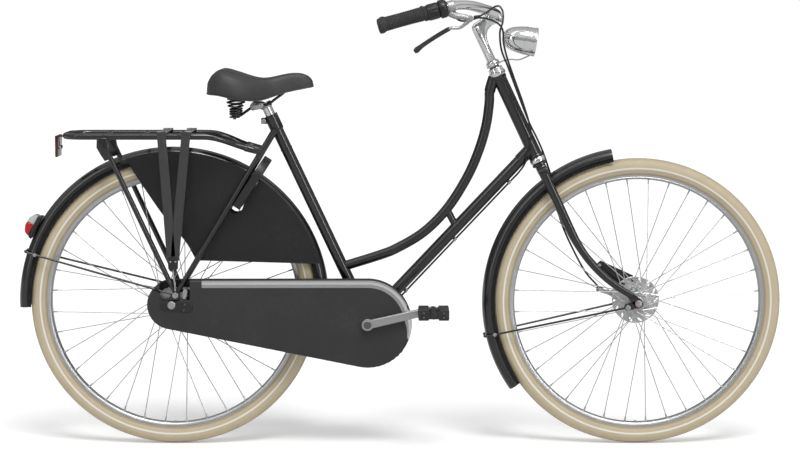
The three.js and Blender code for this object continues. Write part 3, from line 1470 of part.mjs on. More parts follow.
add(group, "seat_post", cut(saddleClamp(), ...railRoom, saddleRails), chrome);

function spring(side) {
  const count = springTurns * springSteps;
  const centre = at(springX, side * springY, 0);
  const centreLine = (t) => {
    const angle = t * springTurns * 2 * Math.PI;
    const radius = mix(springBottomRadius, springTopRadius, t);
    const z = mix(springBottomZ + gap, springTopZ, t);
    return at(centre.x + radius * Math.cos(angle), centre.y + radius * Math.sin(angle), z);
  };
  const rings = Array.from({ length: count + 1 }, (_, i) => {
    const t = i / count;
    const p = centreLine(t);
    const ahead = centreLine(Math.min(1, t + 0.01)).sub(centreLine(Math.max(0, t - 0.01))).normalize();
    const outward = at(p.x - centre.x, p.y - centre.y, 0).normalize();
    const other = ahead.clone().cross(outward).normalize();
    return Array.from({ length: springSides }, (__, k) => {
      const angle = (k / springSides) * 2 * Math.PI;
      const onSide = p.clone().addScaledVector(outward, springWire * Math.cos(angle));
      return onSide.addScaledVector(other, springWire * Math.sin(angle));
    });
  });
  return loft(rings);
}
add(group, "saddle_spring_right", spring(-1), black);
add(group, "saddle_spring_left", spring(1), black);

function saddleTop() {
  const rings = saddleShares.map(([station, width, crown, skirt]) => {
    const x = mix(saddleTailX, saddleNoseX, station);
    const half = width * saddleHalfWidth;
    const top = saddleTopZ - saddleHeight * (1 - crown);
    const low = saddleTopZ - saddleHeight * (1 - skirt);
    const profile = [[0, 1], [0.5, 0.95], [0.85, 0.74], [1, 0.42], [0.97, 0.1], [0.8, 0.0], [0.4, 0.12]];
    const sideUp = profile.map(([y, z]) => at(x, y * half, mix(low, top, z)));
    const sideDown = profile.slice(1).map(([y, z]) => at(x, -y * half, mix(low, top, z))).reverse();
    return [...sideUp, at(x, 0, mix(low, top, 0.14)), ...sideDown];
  });
  return loft(rings);
}
add(group, "saddle_top", saddleTop(), dull);


// Rear axle, with the coaster brake's arm along the left chain stay
function rearAxleSet() {
  const plateY = rearHubLeftY + gap;
  const boss = pin(0, 0, plateY, plateY + coasterBossLength, driverRadius, tubeSides);
  const outline = beltOutline(0, 0, coasterArmRadius, coasterArmLength, -coasterArmDrop, coasterArmTipRadius, 4);
  const arm = plate(outline, plateY, plateY + coasterArmThickness);
  return join(axle(dropoutInnerY, dropoutThickness), boss, arm);
}
add(rearAxle, "rear_axle", rearAxleSet(), silver);

// Front axle with the roller brake on it: a slotted cooling disc, a boss, the reaction arm and the cam lever
function frontBrake() {
  const drum = turned(
    [
      [0, frontHubLeftY + gap], [discBossRadius, frontHubLeftY + gap], [discBossRadius, discInnerY],
      [discRadius, discInnerY + weldTolerance], [discRadius, discInnerY + discThickness],
      [discBossRadius, discInnerY + discThickness + weldTolerance], [discBossTopRadius, discBossOuterY],
      [0, discBossOuterY],
    ],
    turnedSides,
    false,
  );
  const middle = (discSlotInnerRadius + discSlotOuterRadius) / 2;
  const slots = Array.from({ length: discSlots }, (_, i) => {
    const angle = ((i + 0.5) * fullTurn) / discSlots;
    const length = discSlotOuterRadius - discSlotInnerRadius;
    const bar = block(middle, discInnerY, 0, length, discThickness * 4, discSlotWidth);
    return bar.rotate([0, angle, 0]);
  });
  const arm = plate(reactionArmOutline, reactionArmY, reactionArmY + reactionArmThickness);
  const camY = discBossOuterY - camDepth;
  const camOutline = beltOutline(0, 0, camRadius, brakeLeverX, brakeLeverZ, camTipRadius, 3);
  const cam = plate(camOutline, camY, camY + reactionArmThickness);
  return join(cut(drum, ...slots), arm, cam, axle(frontDropoutInnerY, frontDropoutThickness));
}
add(frontAxle, "front_brake", frontBrake(), silver);

// Ring lock: a horseshoe body with a curved channel for its bolt
const lockUp = at(Math.cos(radians(lockAngle)), 0, Math.sin(radians(lockAngle)));
const lockBack = at(-lockUp.z, 0, lockUp.x);
function lockPlaced(solid) {
  const matrix = new THREE.Matrix4().makeBasis(across, lockBack, lockUp);
  matrix.setPosition(lockUp.clone().multiplyScalar(lockBoltCentre));
  return solid.transform(Array.from(matrix.elements));
}
function bend(radius, from, to, steps, sides) {
  const middle = Array.from({ length: steps + 1 }, (_, i) => radians(mix(from, to, i / steps)));
  return loft(
    middle.map((a) =>
      Array.from({ length: sides }, (_, k) => {
        const turn = ((k + 0.5) / sides) * 2 * Math.PI;
        const r = lockBoltBend + radius * Math.cos(turn);
        return at(r * Math.cos(a), radius * Math.sin(turn), r * Math.sin(a));
      }),
    ),
  );
}
function lockBody() {
  const archZ = lockArchCentre - lockBoltCentre;
  const footZ = archZ - lockFootDrop;
  const outer = arc(0, archZ, lockArchRadius, 0, 180, 10);
  const inner = arc(0, archZ, lockMouthRadius, 180, 0, 8);
  const outline = [
    [lockArchRadius, footZ], ...outer, [-lockArchRadius, footZ], [-lockMouthRadius, footZ], ...inner,
    [lockMouthRadius, footZ],
  ];
  const body = plate(outline, -lockThickness / 2, lockThickness / 2);
  const tailEnd = lockBoltTail + lockEndRoom;
  const slotEnd = lockBoltTail - lockTravel - 3 * lockEndRoom;
  const left = bend(lockChannelRadius, lockBoltTip - lockTravel * 0.2, tailEnd, 8, rodSides);
  const tipEnd = lockBoltTip - lockTravel - 2 * lockEndRoom;
  const right = bend(lockChannelRadius, tipEnd, lockBoltTip - lockTravel * 0.7, 4, rodSides);
  const slotHalf = lockKnobWidth / 2 + 1;
  const slot = plate(
    [
      ...arc(0, 0, lockBoltBend, slotEnd, tailEnd, 8),
      ...arc(0, 0, lockBoltBend * 1.7, tailEnd, slotEnd, 8),
    ],
    -slotHalf,
    slotHalf,
  );
  return lockPlaced(cut(body, left, right, slot));
}
function lockBolt() {
  const bar = bend(lockBoltRadius, lockBoltTip, lockBoltTail, 10, rodSides);
  const a = radians(lockBoltTail - lockKnobInset);
  const knobAt = (r) => at(r * Math.cos(a), 0, r * Math.sin(a));
  const knob = rod(knobAt(lockBoltBend), knobAt(lockBoltBend + lockKnobReach), lockKnobWidth / 2);
  return lockPlaced(join(bar, knob));
}
add(rearAxle, "ring_lock", lockBody(), dull);
add(rearAxle, "ring_lock_bolt", lockBolt(), silver);

// Tube carrier: a loop on two legs, with cross bars
function carrier() {
  const corner = arc(carrierRearX + carrierCorner, carrierHalfWidth - carrierCorner, carrierCorner, 90, 180, 4);
  const rail = (side) => [
    at(carrierFrontX, side * carrierFrontHalfWidth, carrierFrontZ),
    at(carrierFrontX - carrierNoseLength, side * carrierFrontHalfWidth * 1.04, carrierFrontZ + carrierNoseRise),
    at(
      mix(carrierFrontX, carrierBendX, 0.8), side * mix(carrierFrontHalfWidth, carrierHalfWidth, 0.78),
      mix(carrierFrontZ, carrierZ, 0.86),
    ),
    at(carrierBendX, side * carrierHalfWidth * 0.97, carrierZ - room),
    at(carrierBendX - carrierBendLength, side * carrierHalfWidth, carrierZ),
    ...corner.map(([x, y]) => at(x, side * y, carrierZ)),
  ];
  const loop = bent([...rail(-1), ...rail(1).reverse()], carrierTubeRadius);
  const bars = carrierBarShares.map((share) => {
    const x = mix(carrierRearX, carrierBendX, share);
    const end = at(x, carrierHalfWidth, carrierZ + carrierBarRise);
    return rod(end.clone().setY(-carrierHalfWidth), end, carrierBarRadius, undefined, wireSides);
  });
  const foot = axlePoint(eyeX, 0, eyeZ);
  const legs = [-1, 1].map((side) => {
    const low = side < 0 ? -legEyeY - legEyeThickness / 2 : legEyeY - legEyeThickness / 2;
    const eye = rod(foot.clone().setY(low), foot.clone().setY(low + legEyeThickness), eyeRadius);
    const end = foot.clone().setY(side * legEyeY);
    const top = at(legTopX, side * carrierHalfWidth, carrierZ - carrierBarRise);
    const start = end.clone().lerp(top, 0.05);
    const high = low + legEyeThickness + overrun;
    const hole = rod(foot.clone().setY(low - overrun), foot.clone().setY(high), boreFor(eyeBoltRadius, rodSides));
    return cut(join(eye, rod(end, start, legEyeThickness / 2, legRadius), rod(start, top, legRadius)), hole);
  });
  return join(loop, ...bars, ...legs);
}
add(group, "carrier", carrier(), black);

// Two elastic straps over the deck, drawn together at a plate on each side
function straps() {
  const top = carrierZ + carrierTubeRadius + gap;
  const half = strapWidth / 2;
  const bands = [strapFrontX, strapRearX].map((x) =>
    block(x, 0, top + strapThickness / 2, strapWidth, strapY * 2, strapThickness),
  );
  const sides = [-1, 1].flatMap((side) => {
    const low = side < 0 ? -strapY : strapY - strapThickness;
    const band = [strapFrontX, strapRearX].map((x) =>
      plate(
        [
          [x - half, top + strapThickness], [strapPlateX - half, strapPlateZ], [strapPlateX + half, strapPlateZ],
          [x + half, top + strapThickness],
        ],
        low,
        low + strapThickness,
      ),
    );
    const y = low + strapThickness / 2;
    const end = block(strapPlateX, y, strapPlateZ, strapWidth * 1.2, strapThickness * 1.6, strapWidth * 1.6);
    const bolt = axlePoint(eyeX, 0, eyeZ);
    const hookZ = bolt.z + eyeBoltHeadRadius + gap + room;
    const hook = rod(
      at(strapPlateX, y, strapPlateZ - strapWidth * 0.7),
      at(bolt.x, side * (eyeBoltEndY - eyeBoltHeadLength / 2), hookZ),
      strapThickness,
      undefined,
      wireSides,
    );
    return [...band, end, hook];
  });
  return join(...bands, ...sides);
}
add(group, "carrier_straps", straps(), dull);

// Reflector under the carrier's rear end, and the tail lamp on the fender
function reflector() {
  const x = carrierRearX - carrierTubeRadius * Math.cos(Math.PI / rodSides) - gap;
  const lean = reflectorThickness * 0.6;
  const low = reflectorTopZ - reflectorHeight;
  const outline = [
    [x, reflectorTopZ], [x - reflectorThickness * 0.8, reflectorTopZ], [x - reflectorThickness - lean, low],
    [x - lean, low],
  ];
  return plate(outline.reverse(), -reflectorWidth / 2, reflectorWidth / 2);
}
add(group, "rear_reflector", reflector(), red);

const tailOut = at(Math.cos(radians(tailAngle)), 0, Math.sin(radians(tailAngle)));
function tailPlaced(solid) {
  const along = at(-tailOut.z, 0, tailOut.x);
  const matrix = new THREE.Matrix4().makeBasis(along, across.clone().negate(), tailOut);
  matrix.setPosition(tailOut.clone().multiplyScalar(fenderRadius + gap));
  return solid.transform(Array.from(matrix.elements));
}
function tailBase() {
  const half = tailLength / 2;
  const outline = [[-half, 0], [half, 0], [half * 0.9, tailBaseReach], [-half * 0.95, tailBaseReach]];
  return plate(outline, -tailHalfWidth, tailHalfWidth);
}
function tailLens() {
  const half = tailLength / 2;
  const low = tailBaseReach + gap;
  const outline = [
    [-half * 0.93, low], [half * 0.87, low], [half * 0.7, tailReach * 0.75], [half * 0.2, tailReach],
    [-half * 0.5, tailReach * 0.97], [-half * 0.85, tailReach * 0.7],
  ];
  return plate(outline, -tailHalfWidth * 0.92, tailHalfWidth * 0.92);
}
add(rearAxle, "tail_lamp_base", tailPlaced(tailBase()), dull);
add(rearAxle, "tail_lamp_lens", tailPlaced(tailLens()), red);

// Kickstand
function kickstand() {
  const hubEnd = (side) => onStand(0, (side * standHubLength) / 2);
  const hubRing = rod(hubEnd(-1), hubEnd(1), standHubRadius, standHubRadius, tubeSides);
  const leg = rod(onStand(0, 0), onStand(standLegLength, 0), standLegRadius, standLegRadius * 0.85);
  const ankle = onStand(standLegLength - standFootLength, 0);
  const foot = rod(ankle, onStand(standLegLength, 0), standFootRadius * 0.8, standFootRadius);
  const radius = boreFor(standPinRadius, rodSides);
  return cut(join(hubRing, leg, foot), rod(onStand(0, -standHubLength), onStand(0, standHubLength), radius));
}
add(group, "kickstand", kickstand(), dull);
function standBracket() {
  const share = (bottomBracketX - standPivotX) / (bottomBracketX - rearAxleX) / chainStayMidShare;
  const stayAt = at(standPivotX, mix(chainStayShellY, chainStayMidY, share), bottomBracketZ + standBracketRise);
  const face = -standHubLength / 2 - gap;
  const outer = standHubLength / 2 + gap;
  const post = rod(stayAt, onStand(0, face), standBracketRadius);
  const swingRadius = standHubRadius + standBracketRadius;
  const swing = rod(onStand(0, face), onStand(0, standHubLength * 2), swingRadius, swingRadius, tubeSides);
  const shaft = rod(onStand(0, face - overrun), onStand(0, outer), standPinRadius);
  const head = rod(onStand(0, outer), onStand(0, standHubLength / 2 + standHeadLength), standPinRadius * 1.6);
  const boss = rod(onStand(0, face - overrun * 2), onStand(0, face), standBracketRadius * 1.2);
  return join(cut(join(post, boss), swing), shaft, head);
}

// Cables
const downOut = at(downTop.z - seatFoot.z, 0, seatFoot.x - downTop.x).normalize();
const underDown = (share) => downTop.clone().lerp(seatFoot, 1 - share).addScaledVector(downOut, cableDrop);
const from = (x, z, route) => route.map((p) => at(x + p[0], p[1], z + p[2]));
const gearCable = [
  ...from(lowerHeadX, lowerHeadZ, gearCableStart), ...cableShares.map(underDown),
  ...from(rearAxleX, tyreRadius, gearCableEnd),
];
add(steering, "front_brake_cable", bent(from(0, 0, frontCableRoute), cableRadius, wireSides), black);
add(group, "gear_cable", bent(gearCable, cableRadius, wireSides), black);

export default group;
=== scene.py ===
import json
import math
import bpy
from mathutils import Matrix, Vector


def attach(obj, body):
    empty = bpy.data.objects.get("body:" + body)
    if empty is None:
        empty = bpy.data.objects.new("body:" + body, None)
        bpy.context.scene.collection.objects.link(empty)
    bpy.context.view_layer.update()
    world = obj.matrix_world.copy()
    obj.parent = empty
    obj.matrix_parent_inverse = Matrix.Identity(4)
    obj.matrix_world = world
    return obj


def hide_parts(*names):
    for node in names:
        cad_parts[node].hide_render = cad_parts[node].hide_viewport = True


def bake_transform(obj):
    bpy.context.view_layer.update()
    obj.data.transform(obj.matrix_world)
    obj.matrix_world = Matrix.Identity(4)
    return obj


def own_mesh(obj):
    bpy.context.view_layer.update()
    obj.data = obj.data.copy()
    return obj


# A Dutch city bicycle in a white studio. Sizes are millimetres until at() and MM make them metres.
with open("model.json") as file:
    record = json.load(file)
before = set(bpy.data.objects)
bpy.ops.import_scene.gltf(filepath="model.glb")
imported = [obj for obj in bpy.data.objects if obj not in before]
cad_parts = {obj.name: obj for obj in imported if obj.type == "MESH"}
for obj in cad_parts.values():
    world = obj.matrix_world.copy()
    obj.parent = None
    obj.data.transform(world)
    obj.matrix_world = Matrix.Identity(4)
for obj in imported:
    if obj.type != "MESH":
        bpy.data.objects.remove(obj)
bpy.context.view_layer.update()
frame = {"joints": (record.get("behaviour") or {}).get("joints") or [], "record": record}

MM = 0.001
WELD = 2e-6
LEFT = 1
RIGHT = -1
SIDES = (("right", RIGHT), ("left", LEFT))
ACROSS = Vector((0, 1, 0))
UP = Vector((0, 0, 1))
AHEAD = Vector((1, 0, 0))

joints = {joint["name"]: joint for joint in frame["joints"]}
body_of = {
    node: body
    for body, members in frame["record"]["behaviour"]["bodies"].items()
    for node in members
}


def at(x, y, z):
    return Vector((x, y, z)) * MM


# Reference places of the bicycle, read from its joints
FRONT_AXLE = Vector(joints["front_wheel_spin"]["pos_m"])
REAR_AXLE = Vector(joints["rear_wheel_spin"]["pos_m"])
BOTTOM_BRACKET = Vector(joints["crank_spin"]["pos_m"])
AT_FRONT = Matrix.Translation(FRONT_AXLE)
AT_REAR = Matrix.Translation(REAR_AXLE)
LOWER_HEAD = Vector(joints["steering"]["pos_m"])
HEAD_UP = Vector(joints["steering"]["axis"]).normalized()
HEAD_AHEAD = Vector((HEAD_UP.z, 0, -HEAD_UP.x))
SEAT_HEAD = at(-321, 0, 822)
SEAT_UP = (SEAT_HEAD - BOTTOM_BRACKET).normalized()

# Wheels
RIM_INNER = 305
SPOKES = 36
SPOKE_RADIUS = 1.2
FENDER_RADIUS = 386
FENDER_HALF_WIDTH = 27.5
FENDER_DEPTH = 20

# Frame and fork. The eye is ahead of the rear axle and above it, where fender stay and carrier are bolted on.
DOWN_TUBE_RADIUS = 14.3
TOP_TUBE_RADIUS = 12.3
SEAT_TUBE_RADIUS = 14.3
LUG_WALL = 1.5
CHAIN_STAY_LENGTH = 482.5
CHAIN_STAY_BEND = 0.45
HEAD_CLEARANCE = 15.2
SEAT_BORE = 13
EYE = (10, 25)

# Chain case
CASE_FRONT_RADIUS = 109
CASE_REAR_RADIUS = 61
CASE_OUTER_Y = -80
CASE_SPLIT_Y = -56.8
CASE_INNER_Y = -36.5
CASE_WALL = 1.6
CRANK_LENGTH = 166
CRANK_ANGLE = 12.9

# Handlebar
CLAMP_REACH = 44.8
CLAMP_HEIGHT = 374.6
BAR_RADIUS = 11.1
BAR_SWEEP = 254.3
BAR_HALF_WIDTH = 284
BAR_RISE = 100.9
BAR_SHARES = [
    (0.015, 0.211, 0.037), (0.039, 0.387, 0.14), (0.034, 0.563, 0.277), (-0.034, 0.722, 0.423),
    (-0.139, 0.838, 0.559), (-0.248, 0.91, 0.649), (-0.318, 0.9487, 0.7025), (-0.349, 0.951, 0.716),
    (-0.674, 0.9755, 0.858), (-1, 1, 1),
]
BAR_SAG = (9, 15, 19, 15, 6, 0, 0, 0, 0)
GRIP_LENGTH = 114


def on_head(x, y, z):
    """A place in the steering's own directions: x ahead of its axis, z up along it."""
    return LOWER_HEAD + (HEAD_AHEAD * x + ACROSS * y + HEAD_UP * z) * MM


def round_axle(axle, radius, angle, y=0):
    """A place on a circle round an axle, with its angle in degrees from straight ahead."""
    turn = math.radians(angle)
    return axle + at(radius * math.cos(turn), y, radius * math.sin(turn))


def mix(first, last, share):
    return first + (last - first) * share


def spread(first, last, count):
    """Evenly spread numbers from the first to the last."""
    return [mix(first, last, k / (count - 1)) for k in range(count)]


def arc(x, z, radius, first, last, count):
    """(x, z) pairs on a circle, with the angles in degrees."""
    turns = [math.radians(angle) for angle in spread(first, last, count)]
    return [(x + radius * math.cos(turn), z + radius * math.sin(turn)) for turn in turns]


def belt(x1, z1, r1, x2, z2, r2, count):
    """The outline round two circles, as a belt lies round two pulleys."""
    along = math.atan2(z2 - z1, x2 - x1)
    lean = math.acos((r1 - r2) / math.hypot(x2 - x1, z2 - z1))
    low, high = math.degrees(along - lean), math.degrees(along + lean)
    return arc(x2, z2, r2, low, high, count) + arc(x1, z1, r1, high, low + 360, count)


def through(points, count):
    """Places evenly numbered along a smooth curve through points."""
    ends = [points[0] * 2 - points[1]] + list(points) + [points[-1] * 2 - points[-2]]
    row = []
    for share in spread(0, len(points) - 1, count):
        k = min(int(share), len(points) - 2)
        t = share - k
        a, b, c, d = ends[k:k + 4]
        row.append(
            (b * 2 + (c - a) * t + (a * 2 - b * 5 + c * 4 - d) * t * t + (b * 3 - a - c * 3 + d) * t ** 3) / 2
        )
    return row


# Working in Blender's object and edit modes

def clear_selection():
    if bpy.context.object and bpy.context.object.mode != "OBJECT":
        bpy.ops.object.mode_set(mode="OBJECT")
    bpy.ops.object.select_all(action="DESELECT")


def only(piece):
    clear_selection()
    piece.select_set(True)
    bpy.context.view_layer.objects.active = piece


def edit(piece):
    only(piece)
    bpy.ops.object.mode_set(mode="EDIT")
    bpy.ops.mesh.select_mode(type="VERT")
    bpy.ops.mesh.select_all(action="SELECT")


def done():
    bpy.ops.object.mode_set(mode="OBJECT")
    return bpy.context.object


def named(name, piece=None):
    piece = piece or bpy.context.object
    piece.name = name
    piece.data.name = name
    return piece


def pick(piece, kind, test):
    """Selects the faces, edges or vertices that a test finds, and stays in edit mode."""
    only(piece)
    bpy.ops.object.mode_set(mode="EDIT")
    bpy.ops.mesh.select_mode(type=kind)
    bpy.ops.mesh.select_all(action="DESELECT")
    bpy.ops.object.mode_set(mode="OBJECT")
    parts = {"FACE": piece.data.polygons, "EDGE": piece.data.edges, "VERT": piece.data.vertices}[kind]
    for part in parts:
        part.select = bool(test(part))
    bpy.ops.object.mode_set(mode="EDIT")


def weld(piece):
    edit(piece)
    bpy.ops.mesh.remove_doubles(threshold=WELD)
    bpy.ops.mesh.normals_make_consistent(inside=False)
    return done()


def round_edges(piece, offset, segments=2, sharpness=40):
    """Rounds every sharp edge of a piece."""
    edit(piece)
    bpy.ops.mesh.select_mode(type="EDGE")
    bpy.ops.mesh.select_all(action="DESELECT")
    bpy.ops.mesh.edges_select_sharp(sharpness=math.radians(sharpness))
    bpy.ops.mesh.bevel(offset=offset * MM, segments=segments, affect="EDGES", clamp_overlap=True)
    return done()


def merge(name, pieces):
    clear_selection()
    for piece in pieces:
        piece.select_set(True)
    bpy.context.view_layer.objects.active = pieces[0]
    bpy.ops.object.join()
    return named(name)


def copy_of(piece, name, matrix):
    """A copy with a mesh of its own, brought to its place by a matrix."""
    copy = piece.copy()
    copy.data = piece.data.copy()
    copy.name = name
    bpy.context.scene.collection.objects.link(copy)
    copy.data.transform(matrix)
    if matrix.determinant() < 0:
        copy.data.flip_normals()
    return copy


def ring_of(piece, count, origin):
    """The piece and its copies, spread evenly round an axle."""
    pieces = [piece]
    for k in range(1, count):
        turn = Matrix.Rotation(2 * math.pi * k / count, 4, ACROSS)
        pieces.append(copy_of(piece, piece.name, Matrix.Translation(origin) @ turn @ Matrix.Translation(-origin)))
    return pieces


def modified(piece, kind, **settings):
    """Adds a modifier with its settings and applies it."""
    only(piece)
    modifier = piece.modifiers.new(kind.lower(), kind)
    for setting, value in settings.items():
        setattr(modifier, setting, value)
    bpy.ops.object.modifier_apply(modifier=modifier.name)
    return piece


def carve(piece, *tools):
    """Cuts the tools out of the piece."""
    for tool in tools:
        modified(piece, "BOOLEAN", operation="DIFFERENCE", solver="EXACT", object=tool)
        bpy.data.objects.remove(tool)
    return piece


def turned(name, profile, origin, axis=ACROSS, steps=96):
    """A profile of (radius, height) pairs turned about an axis. It is closed, or starts and ends on the axis."""
    axis = axis.normalized()
    side = axis.orthogonal().normalized()
    clear_selection()
    bpy.ops.mesh.primitive_circle_add(vertices=len(profile), radius=MM, fill_type="NOTHING", location=origin)
    piece = named(name)
    for vertex, (radius, height) in zip(piece.data.vertices, profile):
        vertex.co = (side * radius + axis * height) * MM
    bpy.ops.object.transform_apply()
    if profile[0][0] == 0:
        last = len(profile) - 1
        pick(piece, "EDGE", lambda edge: set(edge.vertices) == {0, last})
        bpy.ops.mesh.delete(type="EDGE")
        done()
    edit(piece)
    bpy.ops.mesh.spin(steps=steps, angle=2 * math.pi, center=origin, axis=axis, use_auto_merge=True)
    done()
    return weld(piece)


def tube(name, points, radius, shares=None, sides=20, steps=6, straight=False, closed=False):
    """A round tube along a smooth or a straight-sided line, with shares of its radius at the points."""
    clear_selection()
    bpy.ops.curve.primitive_bezier_curve_add(radius=MM)
    piece = named(name)
    curve = piece.data
    knots = curve.splines[0].bezier_points
    knots.add(len(points) - len(knots))
    for number, (knot, place) in enumerate(zip(knots, points)):
        knot.co = place
        knot.handle_left_type = "VECTOR" if straight else "AUTO"
        knot.handle_right_type = "VECTOR" if straight else "AUTO"
        knot.radius = shares[number] if shares else 1
    curve.splines[0].use_cyclic_u = closed
    curve.resolution_u = steps
    curve.bevel_depth = radius * MM
    curve.bevel_resolution = (sides - 4) // 2
    curve.use_fill_caps = not closed
    only(piece)
    bpy.ops.object.convert(target="MESH")
    return weld(bpy.context.object)


def rod(name, start, end, radius, end_radius=None, sides=24, edge=0):
    """A round bar between two places, with its end edges rounded."""
    along = end - start
    clear_selection()
    bpy.ops.mesh.primitive_cone_add(
        vertices=sides, radius1=radius * MM, radius2=(end_radius or radius) * MM, depth=along.length,
        location=(start + end) / 2, rotation=along.to_track_quat("Z", "Y").to_euler(),
    )
    piece = named(name)
    bpy.ops.object.transform_apply()
    return round_edges(piece, edge, 2, 50) if edge else piece


def across(name, place, first, last, *radii, **options):
    """A round bar across the bicycle at a place, between two distances to its left in millimetres."""
    return rod(name, place + at(0, first, 0), place + at(0, last, 0), *radii, **options)


def block(name, centre, size, edge=1.0, segments=2):
    """A box with rounded edges. Its size is in millimetres."""
    clear_selection()
    bpy.ops.mesh.primitive_cube_add(size=MM, location=centre, scale=size)
    piece = named(name)
    bpy.ops.object.transform_apply()
    return round_edges(piece, edge, segments)


def plate(name, outline, low, high, place=Matrix(), edge=0.5, segments=2):
    """An outline of (x, z) pairs as a plate between two heights of y, brought to its place by a matrix."""
    clear_selection()
    bpy.ops.mesh.primitive_circle_add(vertices=len(outline), radius=MM, fill_type="NGON")
    piece = named(name)
    for vertex, (x, z) in zip(piece.data.vertices, outline):
        vertex.co = place @ at(x, low, z)
    edit(piece)
    bpy.ops.mesh.extrude_region_move(TRANSFORM_OT_translate={"value": place.to_3x3() @ at(0, high - low, 0)})
    done()
    weld(piece)
    return round_edges(piece, edge, segments) if edge else piece


def skin(name, rows, close=False):
    """A surface through rows of places, drawn out from a grid, with its open ends filled where it is closed."""
    clear_selection()
    bpy.ops.mesh.primitive_grid_add(x_subdivisions=len(rows[0]) - 1, y_subdivisions=len(rows) - 1, size=MM)
    piece = named(name)
    places = [place for row in rows for place in row]
    for vertex, place in zip(piece.data.vertices, places):
        vertex.co = place
    edit(piece)
    bpy.ops.mesh.remove_doubles(threshold=WELD)
    if close:
        bpy.ops.mesh.fill_holes(sides=0)
    bpy.ops.mesh.normals_make_consistent(inside=False)
    return done()


def band_section(half, corner, near, far):
    """A flat band's section, half of it at a time, with its corners cut. It ends where it starts."""
    lower = [(-half, -near), (corner - half, -far), (half - corner, -far), (half, -near)]
    return lower + [(-u, -v) for u, v in lower] + lower[:1]


def ribbon(name, places, sideways, section):
    """A section swept along places, its first number square to them along a direction, its second out from it."""
    rows, last = [], len(places) - 1
    for number, place in enumerate(places):
        ahead = (places[min(number + 1, last)] - places[max(number - 1, 0)]).normalized()
        side = (sideways - ahead * sideways.dot(ahead)).normalized()
        out = side.cross(ahead).normalized()
        rows.append([place + (side * u + out * v) * MM for u, v in section])
    return skin(name, rows, close=True)


# Finishes: shader node groups that several finishes share, then one function for each family of finish

def add_node(tree, kind, inputs=None, **options):
    """A shader node with its options set and its inputs linked or set."""
    node = tree.nodes.new(kind)
    for option, value in options.items():
        setattr(node, option, value)
    for socket, value in (inputs or {}).items():
        if isinstance(value, bpy.types.NodeSocket):
            tree.links.new(value, node.inputs[socket])
        else:
            node.inputs[socket].default_value = value
    return node


def new_group(name, inputs, outputs):
    """A shader node group with named inputs, each with its kind and default, and named outputs."""
    tree = bpy.data.node_groups.new(name, "ShaderNodeTree")
    for socket, (kind, value) in inputs.items():
        made = tree.interface.new_socket(socket, in_out="INPUT", socket_type="NodeSocket" + kind)
        if value is not None:
            made.default_value = value
    for socket, kind in outputs.items():
        tree.interface.new_socket(socket, in_out="OUTPUT", socket_type="NodeSocket" + kind)
    return tree, add_node(tree, "NodeGroupInput").outputs, add_node(tree, "NodeGroupOutput")


def math_node(tree, operation, first, second=0.0, clamp=False):
    node = add_node(tree, "ShaderNodeMath", {0: first, 1: second}, operation=operation, use_clamp=clamp)
    return node.outputs[0]


def times(tree, first, second, clamp=False):
    return math_node(tree, "MULTIPLY", first, second, clamp)


def plus(tree, first, second, clamp=False):
    return math_node(tree, "ADD", first, second, clamp)


def blended(tree, factor, first, second):
    node = add_node(tree, "ShaderNodeMix", {0: factor, 6: first, 7: second}, data_type="RGBA")
    return node.outputs[2]


def noise(tree, vector, scale, detail=3.0):
    return add_node(tree, "ShaderNodeTexNoise", {"Vector": vector, "Scale": scale, "Detail": detail}).outputs[0]


def ramp(tree, value, low, high, first=0.0, second=1.0):
    """A value between low and high as a number from the first to the second."""
    node = add_node(
        tree, "ShaderNodeMapRange",
        {"Value": value, "From Min": low, "From Max": high, "To Min": first, "To Max": second},
    )
    return node.outputs[0]


def weathering_group():
    """Uneven colour, a film of dust in patches and uneven gloss."""
    tree, given, out = new_group(
        "weathering",
        {
            "Vector": ("Vector", None), "Color": ("Color", (0.5, 0.5, 0.5, 1)), "Shade": ("Float", 0.2),
            "Dust": ("Float", 0.05), "Dust Color": ("Color", (0.32, 0.3, 0.27, 1)), "Scale": ("Float", 12.0),
            "Roughness": ("Float", 0.4), "Spread": ("Float", 0.1),
        },
        {"Color": "Color", "Roughness": "Float"},
    )
    broad = noise(tree, given["Vector"], given["Scale"])
    fine = noise(tree, given["Vector"], times(tree, given["Scale"], 9.0), 5.0)
    shade = times(tree, math_node(tree, "SUBTRACT", broad, 0.5), given["Shade"])
    level = plus(tree, times(tree, shade, 2.0), 1.0)
    tinted = add_node(tree, "ShaderNodeVectorMath", {0: given["Color"], "Scale": level}, operation="SCALE").outputs[0]
    patches = times(tree, ramp(tree, broad, 0.45, 0.7), ramp(tree, fine, 0.4, 0.65))
    film = times(tree, patches, given["Dust"], clamp=True)
    tree.links.new(blended(tree, film, tinted, given["Dust Color"]), out.inputs["Color"])
    uneven = times(tree, math_node(tree, "SUBTRACT", fine, 0.5), given["Spread"])
    rough = plus(tree, plus(tree, given["Roughness"], uneven), film, clamp=True)
    tree.links.new(rough, out.inputs["Roughness"])
    return tree


def grain_group():
    """Pebbled grain, as moulded rubber, vinyl and plastic have."""
    tree, given, out = new_group(
        "pebble grain",
        {"Vector": ("Vector", None), "Scale": ("Float", 700.0), "Stretch": ("Float", 1.0)},
        {"Height": "Float"},
    )
    cells = add_node(
        tree, "ShaderNodeTexVoronoi", {"Vector": given["Vector"], "Scale": given["Scale"]}, feature="SMOOTH_F1",
    )
    wander = noise(tree, given["Vector"], times(tree, given["Scale"], 0.3))
    height = plus(tree, cells.outputs["Distance"], times(tree, wander, given["Stretch"]))
    tree.links.new(height, out.inputs["Height"])
    return tree


